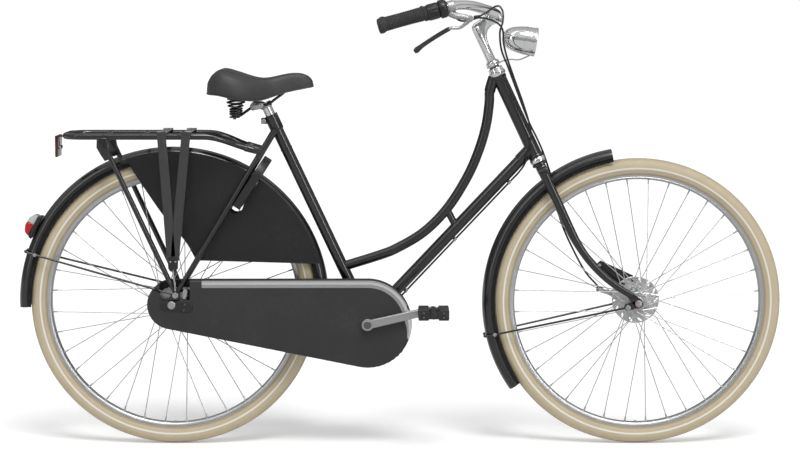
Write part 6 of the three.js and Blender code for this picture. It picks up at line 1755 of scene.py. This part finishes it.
def chain_link(name, half_height, near, far):
    """Two side plates of a chain link, at the world's origin."""
    waist = half_height * 0.75
    outline = arc(-PITCH / 2, 0, half_height, 60, 300, 7) + [(0, -waist)]
    outline += arc(PITCH / 2, 0, half_height, -120, 120, 7) + [(0, waist)]
    sides = [
        plate(name, outline, min(side * near, side * far), max(side * near, side * far), edge=0)
        for side in (-1, 1)
    ]
    return merge(name, sides)


CHAIN_ROLLER = across("roller", at(0, 0, 0), -4.3, 4.3, 2.3, sides=10)


# Cranks and pedals

def crank(name, side):
    angle = CRANK_ANGLE + (180 if side > 0 else 0)
    end = direction(angle) * CRANK_LENGTH
    node = "crank_" + name
    near, far = side * 84, side * 97
    arm = plate(
        "crank_arm_" + name, belt(0, 0, 11, end.x, end.z, 9.35, 26), min(near, far), max(near, far),
        Matrix.Translation(BOTTOM_BRACKET), 2.6, 4,
    )
    dress(arm, satin_alloy, node)
    hub_profile = [
        (8.4, 45.3), (13, 45.3), (13.6, 46), (13.6, 78), (14.8, 81), (14.8, 96.4), (13.8, 97.8), (12.6, 98),
        (8.4, 98),
    ]
    if side > 0:
        hub_profile = [(0, 80.2), (13.6, 80.2), (14.8, 81.4), (14.8, 96.4), (13.8, 97.8), (12.6, 98), (0, 98)]
    hub = turned("crank_boss_" + name, [(radius, side * y) for radius, y in hub_profile], BOTTOM_BRACKET, steps=64)
    dress(hub, satin_alloy, node)
    cap = turned(
        "crank_cap_" + name,
        [
            (0, side * 94.6), (9.6, side * 94.6), (9.6, side * 98.2), (8.8, side * 98.9), (7, side * 99),
            (0, side * 98.4),
        ],
        BOTTOM_BRACKET, steps=48,
    )
    dress(cap, dark_steel, node)
    if side > 0:
        spindle = rod(
            "crank_spindle", BOTTOM_BRACKET - ACROSS * 0.0942, BOTTOM_BRACKET + ACROSS * 0.0942, 8, sides=40, edge=0.6,
        )
        dress(spindle, dark_steel, node)
    tip = BOTTOM_BRACKET + end * MM
    shaft = across("shaft", tip, side * 96, side * 194.6, 5.9, 5.4, sides=28, edge=0.5)
    flats = across("flats", tip, side * 97.2, side * 100.6, 8.4, sides=6, edge=0.6)
    eye = across("eye", tip, side * 83.4, side * 84.6, 6.4, sides=32, edge=0.4)
    dress(merge("pedal_axle_" + name, [shaft, flats, eye]), plain_steel, node)
    pedal(name, side, tip)


def pedal(name, side, tip):
    node = "pedal_" + name
    middle = tip + at(0, side * 147, 0)
    for word, k in (("front", 1), ("rear", -1)):
        centre = middle + at(k * 24.4, 0, 0)
        dress(block("pedal_block_%s_%s" % (word, name), centre, (25.2, 82, 25), 2.2, 3), pedal_rubber, node)
        ribs = []
        for n in range(9):
            y = mix(-37, 37, n / 8)
            for high in (-1, 1):
                ribs.append(block("rib", centre + at(0, y, high * 12.6), (24, 4.6, 1.8), 0.5, 1))
            ribs.append(block("rib", centre + at(k * 12.5, y, 0), (1.2, 4.6, 20), 0.4, 1))
        dress(merge("pedal_ribs_%s_%s" % (word, name), ribs), pedal_rubber, node)
        for high in (-1, 1):
            bolts = [
                rod(
                    "bolt", centre + at(0, side_y, high * 5.4),
                    centre + at(0, side_y + math.copysign(2.4, side_y), high * 5.4), 2.6, sides=16, edge=0.5,
                )
                for side_y in (-45.4, 45.4)
            ]
            dress(merge("pedal_bolts_%s_%s_%d" % (word, name, high), bolts), dark_steel, node)
    for k in (-1, 1):
        y = k * 43.5
        cheek = plate(
            "pedal_end_%s_%d" % (name, k), belt(-20, 0, 9.4, 20, 0, 9.39, 16), y - 2.4, y + 2.4,
            Matrix.Translation(middle), 1,
        )
        carve(cheek, rod("bore", middle - ACROSS * 0.09, middle + ACROSS * 0.09, 6.3, sides=32))
        dress(cheek, satin_alloy if k == -side else housing_plastic, node)
    core = turned(
        "pedal_core_" + name, [(6.3, -46), (9.4, -46), (10, -45.2), (10, 45.2), (9.4, 46), (6.3, 46)], middle, steps=40,
    )
    dress(core, housing_plastic, node)
    out = middle + at(0, side * 46, 0)
    dress(
        rod("pedal_cap_" + name, out - at(0, side * 0.4, 0), out + at(0, side * 3, 0), 9, 7.6, sides=32, edge=0.8),
        housing_plastic, node,
    )


skirt_guards()
chain_case()
chain_case_strip()
drive()
for name, side in SIDES:
    crank(name, side)


# Seat post, clamp, rails, springs and saddle

SPRING = (-406, 52)
CLAMP = at(-352, 0, 845)


def seat_post():
    foot = SEAT_HEAD - SEAT_UP * 0.19
    top = SEAT_HEAD + SEAT_UP * (25 / SEAT_UP.z) * MM
    post = turned(
        "seat_post_tube",
        [
            (0, 0), (11.7, 0), (12.7, 1), (12.7, (top - foot).length / MM - 1), (11.7, (top - foot).length / MM),
            (0, (top - foot).length / MM),
        ],
        foot, SEAT_UP, 64,
    )
    dress(post, chrome, "seat_post")
    collar = turned(
        "seat_clamp_sleeve", [(12.9, 20), (14.2, 20), (15, 20.8), (15, 33.2), (14.2, 34), (12.9, 34)], SEAT_HEAD,
        SEAT_UP, 56,
    )
    dress(collar, cast_alloy, "seat_post")
    forged = [(-19, -8), (-13, -12), (12, -7), (18, 0), (16, 8), (8, 11), (-11, 9), (-19, 3)]
    dress(plate("seat_clamp_body", forged, -17, 17, Matrix.Translation(CLAMP), 2.4, 3), cast_alloy, "seat_post")
    for name, side in SIDES:
        cheek = plate(
            "seat_clamp_cheek_" + name, [(-17, -7), (-11, -10), (10, -6), (16, 1), (14, 9), (-12, 10), (-17, 4)], 0,
            4.4, Matrix.Translation(CLAMP + at(0, side * 25.2 - 2.2, 0)), 1.6, 3,
        )
        dress(cheek, cast_alloy, "seat_post")
        nut = across("nut", CLAMP, side * 27.2, side * 32, 7.4, sides=6, edge=0.9)
        washer = across("washer", CLAMP, side * 26.6, side * 28.2, 8.6, sides=32, edge=0.4)
        dress(merge("seat_clamp_nut_" + name, [nut, washer]), plain_steel, "seat_post")
    dress(rod("seat_clamp_bolt", CLAMP - ACROSS * 0.031, CLAMP + ACROSS * 0.031, 4, sides=24), plain_steel, "seat_post")


def saddle_rails():
    for name, side in SIDES:
        x, y = SPRING
        route = [
            at(x, side * y, 820), at(-394, side * 48, 822.4), at(-382, side * 36, 830), at(-367, side * 23, 840),
            at(-352, side * 20, 845),
            at(-338, side * 19.6, 847), at(-325, side * 17.6, 850), at(-308, side * 13, 862), at(-290, side * 7, 875),
        ]
        dress(tube("saddle_rail_" + name, route, 3.5, sides=20, steps=8), gloss_paint, "saddle_frame")
        pad = turned(
            "spring_seat_" + name,
            [(0, 817), (11.4, 817), (13, 817.8), (13, 820.6), (12.4, 821.4), (8, 821.8), (8, 823), (0, 823)],
            at(x, side * y, 0), UP, 40,
        )
        dress(pad, gloss_paint, "saddle_frame")
        bolt = rod("spring_bolt_" + name, at(x, side * y, 813.6), at(x, side * y, 818), 4.4, sides=6, edge=0.6)
        dress(bolt, gloss_paint, "saddle_frame")
    x, y = SPRING
    dress(across("saddle_rear_bar", at(x, 0, 820), -y - 9, y + 9, 4, sides=28, edge=1.2), gloss_paint, "saddle_frame")
    dress(across("saddle_nose_bar", at(-289, 0, 876), -10, 10, 3.5, sides=20, edge=0.8), gloss_paint, "saddle_frame")


def saddle_springs():
    for name, side in SIDES:
        x, y = SPRING
        route = []
        for k in range(121):
            turn = k / 24
            rise = max(0, (turn - 2.6) / 2.4)
            place = mix(823.6, 839, turn / 2.6) if turn < 2.6 else mix(839, 860, rise)
            width = mix(11.5, 18, min(1, rise * 1.6))
            angle = turn * 2 * math.pi
            route.append(at(x + width * math.cos(angle), side * (y + width * math.sin(angle)), place))
        coil = tube("saddle_spring_coil_" + name, route, 2.2, sides=12, steps=1)
        dress(coil, gloss_paint, "saddle_spring_" + name, angle=60)
        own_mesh(coil)


# station from tail to nose, top, skirt and half width, in millimetres
SADDLE = [
    (-476, 888, 878, 24), (-474, 898, 876, 46), (-469, 910, 875, 65), (-461, 922.5, 874.5, 82),
    (-450, 932, 874, 94), (-437, 937.3, 872, 101.5), (-422, 935.3, 868.5, 105.5), (-406, 930.5, 865.5, 106),
    (-388, 925, 862.5, 101), (-369, 919, 860, 90), (-350, 914.8, 859.5, 75), (-332, 914.2, 862.5, 60),
    (-315, 916.8, 868, 47), (-296, 921.2, 874.5, 37), (-276, 925, 880, 31), (-258, 926.2, 884, 27.5),
    (-242, 924.8, 887, 25), (-229.5, 920, 889.6, 22), (-220.5, 912, 891.2, 18), (-216, 903, 892.4, 12.5),
    (-214, 896.5, 893.4, 6),
]
SADDLE_SECTION = [
    (0, 0.985), (0.22, 0.995), (0.44, 1), (0.62, 0.985), (0.75, 0.935), (0.85, 0.84), (0.93, 0.68), (0.98, 0.46),
    (1, 0.26), (0.995, 0.1), (0.965, 0.02), (0.91, 0), (0.86, 0.03), (0.82, 0.12), (0.6, 0.16), (0.3, 0.18),
]


def saddle_stations():
    return [tuple(station) for station in through([Vector(station) for station in SADDLE], 61)]


def saddle_ring(station):
    x, top, skirt, half = station
    near = [at(x, half * y, mix(skirt, top, z)) for y, z in SADDLE_SECTION]
    far = [at(x, -half * y, mix(skirt, top, z)) for y, z in SADDLE_SECTION[1:]]
    return near + [at(x, 0, mix(skirt, top, 0.19))] + far[::-1] + near[:1]


def saddle_seam(stations, number, share):
    y, z = SADDLE_SECTION[number]
    y2, z2 = SADDLE_SECTION[number + 1]
    y, z = mix(y, y2, share), mix(z, z2, share)
    return [[at(x, side * half * y, mix(skirt, top, z)) for x, top, skirt, half in stations] for side in (1, -1)]


def saddle():
    body = body_of["saddle_top"]
    stations = saddle_stations()
    cover = skin("saddle_cover", [saddle_ring(station) for station in stations], close=True)
    modified(cover, "SUBSURF", levels=1, render_levels=1)
    dress(cover, saddle_vinyl, "saddle_top", angle=80)
    right, left = saddle_seam(stations[3:-3], 3, 0.5)
    dress(tube("saddle_seam", right + left[::-1], 0.9, sides=8, steps=1, closed=True), saddle_vinyl, body=body)
    right, left = saddle_seam(stations[1:-1], 10, 0.4)
    dress(tube("saddle_edge_piping", right + left[::-1], 1.5, sides=10, steps=1, closed=True), saddle_thread, body=body)
    dress(block("saddle_base_plate", at(-404, 0, 874), (80, 120, 5), 2, 3), housing_plastic, body=body)
    for name, side in SIDES:
        cup = rod(
            "spring_top_cup_" + name, at(SPRING[0], side * SPRING[1], 861.6), at(SPRING[0], side * SPRING[1], 873), 19,
            17, sides=40, edge=1,
        )
        dress(cup, housing_plastic, body=body)
    dress(block("saddle_nose_mount", at(-284, 0, 883), (24, 26, 8), 2, 3), housing_plastic, body=body)


# Carrier, straps and reflector

RAIL_Z = 773


def carrier():
    half = [
        (-362, 44, 738), (-384, 45.8, 745), (-446, 71.6, 767.6), (-467, 77.4, 772), (-497, 80, 773),
        (-530, 80, 773), (-640, 80, 773), (-760, 80, 773),
    ]
    corner = [(x, y, RAIL_Z) for x, y in arc(-778, 35, 45, 90, 180, 9) + [(-823, 22), (-823, 8)]]
    rails = {side: [at(x, side * y, z) for x, y, z in half + corner] for side in (-1, 1)}
    dress(tube("carrier_rail", rails[-1] + rails[1][::-1], 8, sides=32, steps=5), gloss_paint, "carrier", angle=60)
    for k, share in enumerate((0.3, 0.55, 0.8)):
        x = mix(-834, -467, share)
        dress(across("carrier_bar_%d" % k, at(x, 0, 775), -80, 80, 4, sides=24), gloss_paint, "carrier")
        for name, side in SIDES:
            stud = rod(
                "carrier_rivet_%s_%d" % (name, k), at(x, side * 85, 777), at(x, side * 88.2, 778), 2.4, 1.8, sides=16,
                edge=0.5,
            )
            dress(stud, gloss_paint, "carrier")
    foot = REAR_AXLE + at(EYE[0], 0, EYE[1])
    for name, side in SIDES:
        eye = turned(
            "carrier_eye_" + name,
            [
                (4.3, side * 73), (8.4, side * 73), (9, side * 73.6), (9, side * 77.4), (8.4, side * 78),
                (4.3, side * 78),
            ],
            foot, steps=48,
        )
        top = at(-732, side * 80, 771)
        low = foot + at(0, side * 75.5, 0)
        way = (top - low).normalized()
        leg = tube(
            "carrier_leg_tube_" + name,
            [
                low + way * 0.006, low + way * 0.017, low + way * 0.032, mix(low, top, 0.4), mix(low, top, 0.9),
                top - way * 0.004,
            ],
            6.5, [0.42, 0.7, 1, 1, 1, 1], sides=24,
        )
        carve(leg, rod("bore", foot - ACROSS * 0.1, foot + ACROSS * 0.1, 4.3, sides=24))
        dress(leg, gloss_paint, "carrier")
        dress(eye, gloss_paint, "carrier")
        outline = [(-741, 770), (-742, 746), (-732, 728), (-722, 713), (-706, 719), (-712, 742), (-717, 770)]
        gusset = plate("carrier_leg_bracket_" + name, outline, side * 80 - 7.4, side * 80 + 7.4, edge=2.2, segments=3)
        dress(gusset, gloss_paint, "carrier")
        for k, (x, z) in enumerate(((-730, 752), (-722, 733))):
            bolt = rod(
                "carrier_bracket_rivet_%s_%d" % (name, k), at(x, side * 87, z), at(x, side * 89.6, z), 3, 2.2, sides=20,
                edge=0.6,
            )
            dress(bolt, gloss_paint, "carrier")
        near, far = at(-383, side * 45.6, 744.8), at(-341, side * 31.5, 733.5)
        ahead = (far - near).normalized()
        up = ahead.cross(ACROSS * side).normalized() * side
        clamp = block("carrier_front_clamp", Vector(), ((far - near).length / MM, 13, 19), 3, 3)
        clamp.data.transform(axes((near + far) / 2, ahead, up.cross(ahead), up))
        dress(named("carrier_front_clamp_" + name, clamp), gloss_paint, "carrier")
        for k, share in enumerate((0.12, 0.36)):
            place = mix(near, far, share) + ACROSS * side * 0.0068
            screw = rod(
                "carrier_clamp_screw_%s_%d" % (name, k), place, place + ACROSS * side * 0.0024, 3.2, sides=20, edge=0.6,
            )
            dress(screw, dark_steel, "carrier")


STRAP_TOP = 781.3


def strap_band(name, x):
    """One elastic band, from its plate on the right up over the deck and just past the left rail."""
    low, z = 470, STRAP_TOP
    x_low = -557 + (4 if x > -557 else -4)
    line = [
        (x_low, -90.5, low), (mix(x_low, x, 0.5), -90.5, mix(low, z, 0.5)), (x, -90.5, z - 9), (x, -89.8, z - 3),
        (x, -86, z + 0.6), (x, -80, z + 1.2), (x, -70, z + 1.2), (x, 0, z + 1.2), (x, 70, z + 1.2),
        (x, 80, z + 1.2), (x, 86, z + 0.4), (x, 89.8, z - 4), (x, 90, z - 12),
    ]
    return ribbon(name, through([at(*place) for place in line], 90), AHEAD, band_section(11, 0.8, 0.7, 1.2))


def straps():
    for name, x in (("front", -523), ("rear", -582)):
        dress(strap_band("carrier_strap_" + name, x), strap_web, "carrier_straps", angle=50)
        for word, side in SIDES:
            centre = at(x, side * 80, 784.6)
            frame_bars = [block("bar", centre + at(k * 11.6, 0, 0), (2.4, 15, 2.2), 0.7) for k in (-1, 1)]
            frame_bars += [block("bar", centre + at(0, k * 6.3, 0), (23, 2.4, 2.2), 0.7) for k in (-1, 1)]
            dress(merge("strap_buckle_%s_%s" % (name, word), frame_bars), satin_alloy, "carrier_straps")
    name, side = "right", RIGHT
    outline = [(-13, 17), (-9, 19), (9, 19), (13, 17), (12, -10), (7, -18), (-7, -18), (-12, -10)]
    backing = plate(
        "strap_plate_" + name, outline, -2.1, 2.1, Matrix.Translation(at(-557, side * 89.9, 460)), 0.9, 3,
    )
    dress(backing, housing_plastic, "carrier_straps")
    for k in (-1, 1):
        place = at(-557 + k * 6.2, side * 91.8, 466)
        rivet = rod("strap_rivet_%s_%d" % (name, k), place, place + at(0, side * 1.6, 0), 2.6, 2, sides=20, edge=0.5)
        dress(rivet, plain_steel, "carrier_straps")
    hook = [
        at(-557, side * 89.8, 446), at(-556, side * 89.6, 430), at(-553.4, side * 88.6, 412),
        at(-552.5, side * 88, 398),
        at(-552.5, side * 88, 393.4),
    ]
    dress(tube("strap_hook_" + name, hook, 2.4, sides=16), plain_steel, "carrier_straps")


def reflector():
    outline = [(-842, 772.6), (-849.6, 772.6), (-851, 770.6), (-851, 721.4), (-849.8, 719.4), (-845, 719.4)]
    dress(plate("reflector_lens", outline[::-1], -35, 35, edge=1.4, segments=3), dull_red_plastic, "rear_reflector")
    for k in (-1, 1):
        place = at(-846.6, k * 17, 743)
        tip = place + at(7.4, 0, -0.8)
        screw = rod("screw", place, tip, 2.6, sides=16, edge=0.4)
        nut = rod("nut", tip - at(3.4, 0, 0), tip, 4.4, sides=6, edge=0.5)
        dress(merge("reflector_screw_%s" % ("left" if k > 0 else "right"), [screw, nut]), plain_steel, "rear_reflector")
    bracket = plate(
        "reflector_bracket", [(-845.4, 771), (-825, 771), (-825, 768.4), (-842.4, 768.4), (-842.4, 738), (-845.4, 738)],
        -13, 13, edge=0.5,
    )
    dress(bracket, gloss_paint, "carrier")


# Tail lamp on the rear fender

TAIL_OUT = direction(151.5)
TAIL_ALONG = Vector((-TAIL_OUT.z, 0, TAIL_OUT.x))
TAIL = axes(round_axle(REAR_AXLE, 386.3, 151.5), TAIL_ALONG, -ACROSS, TAIL_OUT)


def tail_lamp():
    base = plate(
        "tail_lamp_housing", [(-31, 0), (31, 0), (29.5, 6), (27, 9.8), (-28, 9.8), (-30, 6)], -22, 22, TAIL, 2, 3,
    )
    dress(base, housing_plastic, "tail_lamp_base")
    dome = plate(
        "tail_lamp_dome", [(-27, 9), (25, 9), (20, 15), (8, 17.6), (-10, 17.4), (-22, 14)], -18.5, 18.5, TAIL, 3, 4,
    )
    dress(dome, housing_plastic, "tail_lamp_base")
    clear = plate(
        "tail_lamp_window", [(-28.6, 10.2), (-4.2, 10.2), (-4.2, 28.4), (-15.5, 28), (-21, 24.6), (-26.4, 20)], -20.2,
        20.2, TAIL, 1.6, 3,
    )
    dress(clear, pale_plastic, "tail_lamp_lens")
    red = plate(
        "tail_lamp_red_lens",
        [(-3.8, 10.2), (27, 10.2), (24.8, 16.6), (21.6, 21.6), (14.6, 25.6), (6.2, 28.8), (-3.8, 28.6)], -20.2, 20.2,
        TAIL, 2.2, 4,
    )
    dress(red, red_plastic, "tail_lamp_lens")


# Ring lock

LOCK_BEND = 46
LOCK = axes(REAR_AXLE + LOCK_WAY * 0.345, ACROSS, Vector((-LOCK_WAY.z, 0, LOCK_WAY.x)), LOCK_WAY)


def lock_bend(name, radius, start, end, count=40):
    row = [LOCK @ at(x, 0, z) for x, z in arc(0, 0, LOCK_BEND, start, end, count)]
    return tube(name, row, radius, sides=24, steps=2)


def ring_lock():
    outline = [(56, -50), (53, -59), (41, -60), (37, -54)] + arc(0, 15, 36.5, 0, 180, 32)
    outline += [(-37, -54), (-41, -60), (-53, -59), (-56, -50)] + arc(0, 28, 56, 180, 0, 40)
    case = plate("ring_lock_case", outline, -13, 8, LOCK, 3, 4)
    carve(
        case, lock_bend("channel", 5.3, -68, 66), lock_bend("channel", 5.3, 112, 230),
        plate("slot", arc(0, 0, LOCK_BEND, -40, 66, 20) + arc(0, 0, 78, 66, -40, 20), -4.5, 4.5, LOCK, 0),
    )
    dress(case, housing_plastic, "ring_lock")
    keyhole = LOCK @ at(-45.8, -12.9, 18)
    back = (LOCK.to_3x3() @ Vector((0, -1, 0))).normalized()
    dress(
        rod("ring_lock_cylinder", keyhole, keyhole + back * 0.0012, 6.5, sides=36, edge=0.4), plain_steel, "ring_lock",
    )
    dress(lock_bend("ring_lock_rod", 4.5, -50, 62, 36), plain_steel, "ring_lock_bolt")
    turn = math.radians(56)
    inner, outer = (LOCK @ at(r * math.cos(turn), 0, r * math.sin(turn)) for r in (LOCK_BEND, 63))
    dress(rod("ring_lock_knob", inner, outer, 3.4, 3.5, sides=28, edge=1), housing_plastic, "ring_lock_bolt")


# Rear axle and the coaster brake's arm

def rear_axle():
    axle_set("rear_axle_and_nuts", "rear_axle", REAR_AXLE, 64, 6)
    boss = turned(
        "coaster_boss", [(5.4, 42.3), (19.4, 42.3), (20, 43), (20, 48.4), (18.6, 50.2), (5.4, 50.2)], REAR_AXLE,
        steps=56,
    )
    dress(boss, plain_steel, "rear_axle")
    dress(plate("coaster_arm", belt(0, 0, 12, 120, -8, 7, 20), 42.3, 46.3, AT_REAR, 0.8), plain_steel, "rear_axle")
    tip = REAR_AXLE + at(120, 46, -8)
    bolt = rod("bolt", tip, tip + at(0, 6, 0), 3, sides=20)
    head = across("head", tip, -5, -3.4, 5, sides=6, edge=0.5)
    dress(merge("coaster_arm_bolt", [bolt, head]), plain_steel, "rear_axle")
    middle, end = chain_stay_line(LEFT)[1:]
    on_stay = mix(end, middle, 118 / 265)
    way = (middle - end).normalized()
    band = turned(
        "coaster_clamp_band", [(8.7, -7), (10, -7), (10.3, -6.6), (10.3, 6.6), (10, 7), (8.7, 7)], on_stay, way, 40,
    )
    dress(band, plain_steel, "rear_axle")


# Kickstand, on the left chain stay behind the bottom bracket

STAND_BEHIND = 50
STAND_PIVOT = Vector(joints["kickstand_turn"]["pos_m"])
STAND_FOLDED = Vector((-0.99, 0.05, 0.03)).normalized()
STAND_AXIS = STAND_FOLDED.cross(Vector((-0.3, 0.17, -0.939)).normalized()).normalized()


def on_stand(along, out):
    return STAND_PIVOT + (STAND_FOLDED * along - STAND_AXIS * out) * MM


def kickstand():
    hub = turned(
        "kickstand_hub", [(4.9, -7), (11.4, -7), (12, -6.4), (12, 6.4), (11.4, 7), (4.9, 7)], STAND_PIVOT, STAND_AXIS,
        48,
    )
    dress(hub, satin_alloy, "kickstand")
    leg = tube(
        "kickstand_leg", [on_stand(9, 0), on_stand(24, 0), on_stand(140, 0), on_stand(262, 0)], 7,
        [0.86, 1, 0.93, 0.86], sides=28,
    )
    dress(leg, satin_alloy, "kickstand")
    boot = tube(
        "kickstand_foot", [on_stand(248, 0), on_stand(252, 0), on_stand(268, 0), on_stand(276, 0), on_stand(280, 0)],
        9.5,
        [0.72, 0.84, 0.94, 1, 0.9], sides=28,
    )
    dress(boot, grip_rubber, "kickstand")
    share = STAND_BEHIND / CHAIN_STAY_LENGTH / CHAIN_STAY_BEND
    stay_at = at(-130, mix(27, 45, share), 315)
    post = rod("kickstand_bracket", stay_at, on_stand(0, -7.4), 8, sides=36)
    swing = rod("swing", on_stand(0, -7.3), on_stand(0, 30), 20, sides=48)
    dress(carve(post, swing), gloss_paint, "chain_stay_left")
    boss = rod("kickstand_boss", on_stand(0, -12), on_stand(0, -7.4), 9.6, sides=40, edge=0.7)
    dress(boss, gloss_paint, "chain_stay_left")
    pin = rod("pin", on_stand(0, -9), on_stand(0, 7.4), 4.4, sides=28)
    head = rod("head", on_stand(0, 7.3), on_stand(0, 10), 7.2, sides=32, edge=0.7)
    dress(merge("kickstand_pivot", [pin, head]), plain_steel, "chain_stay_left")


# Cables

CABLE_RADIUS = 2.4
# Both cables' places: in the steering's own directions, and off the lower head and the rear axle
FRONT_CABLE = [
    (0, -258, 400), (14, -262, 397), (34, -252, 398), (54, -232, 401), (66, -206, 397), (70, -172, 387),
    (70, -128, 375), (62, -75, 355), (47, -42, 335), (33, -30, 295), (30, -25, 250), (26, -22, 200), (20, -20, 110),
    (21, -10, 60), (21, 12, 22), (19, 34, -8), (14, 51, -50), (0, 54, -105), (-11, 53, -165), (-13, 49.5, -228),
    (-9, 47, -300), (3.5, 43, -345), (4.6, 42, -354),
]
GEAR_START = [
    (-216, -249, 362), (-203, -240, 354), (-183, -226, 353), (-158, -192, 360), (-131, -150, 356),
    (-107, -112, 345), (-95, -88, 328), (-92, -68, 297), (-82, -54, 259), (-65, -43, 212), (-43, -38, 152),
    (-26, -36, 97), (-23, -34, 62), (-32, -25, 25), (-36, -14, -1), (-51, -4, -24),
]
GEAR_DROP = 19
GEAR_SHARES = (0.83, 0.5, 0.2, 0.1)
GEAR_END = [
    (520.5, 22, -21.5), (500.5, 38, -22.5), (467.5, 45, -26.5), (432.5, 48, -23.5), (352.5, 52, -17.5),
    (265.5, 56, -9.5), (142.5, 66, -3.5), (62.5, 73, 2.5), (30.5, 80, 8.5), (12.5, 86, 4.5), (0, 82, 0),
]


def cables():
    path = through([on_head(*place) for place in FRONT_CABLE], 160)
    cable = tube("front_brake_cable_sheath", path, CABLE_RADIUS, sides=14, steps=1)
    dress(cable, cable_sheath, "front_brake_cable", angle=60)
    boot_end = path[7]
    dress(
        tube("front_cable_boot", [path[0], path[3], boot_end], 3.8, [1, 0.95, 0.66], sides=18), cable_sheath,
        "front_brake_cable",
    )
    dress(rod("front_cable_end", path[-3], path[-1], 3.2, sides=18, edge=0.4), plain_steel, "front_brake_cable")

    down_top = on_head(0, 0, 42)
    out = (down_top - BOTTOM_BRACKET).cross(ACROSS).normalized()
    if out.z > 0:
        out = -out
    row = [LOWER_HEAD + at(*place) for place in GEAR_START]
    row += [mix(down_top, BOTTOM_BRACKET, 1 - share) + out * GEAR_DROP * MM for share in GEAR_SHARES]
    row += [REAR_AXLE + at(*place) for place in GEAR_END]
    path = through(row, 300)
    cable = tube("gear_cable_sheath", path, CABLE_RADIUS, sides=14, steps=1)
    dress(cable, cable_sheath, "gear_cable", angle=60, rides=False)
    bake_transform(cable)
    for k, share in enumerate(GEAR_SHARES[:3]):
        place = mix(down_top, BOTTOM_BRACKET, 1 - share)
        along = (down_top - BOTTOM_BRACKET).normalized()
        lug = tube(
            "gear_cable_clip_%d" % k, [place + out * 0.0135, place + out * 0.0162, place + out * 0.0166], 4.6, sides=16,
        )
        dress(lug, gloss_paint, "down_tube")
        wrap = turned(
            "gear_cable_band_%d" % k, [(2.6, -4), (3.7, -4), (3.9, -3.6), (3.9, 3.6), (3.7, 4), (2.6, 4)],
            place + out * GEAR_DROP * MM,
            along, 24,
        )
        dress(wrap, plain_steel, "down_tube")


seat_post()
saddle_rails()
saddle_springs()
saddle()
carrier()
straps()
reflector()
tail_lamp()
ring_lock()
rear_axle()
kickstand()
cables()
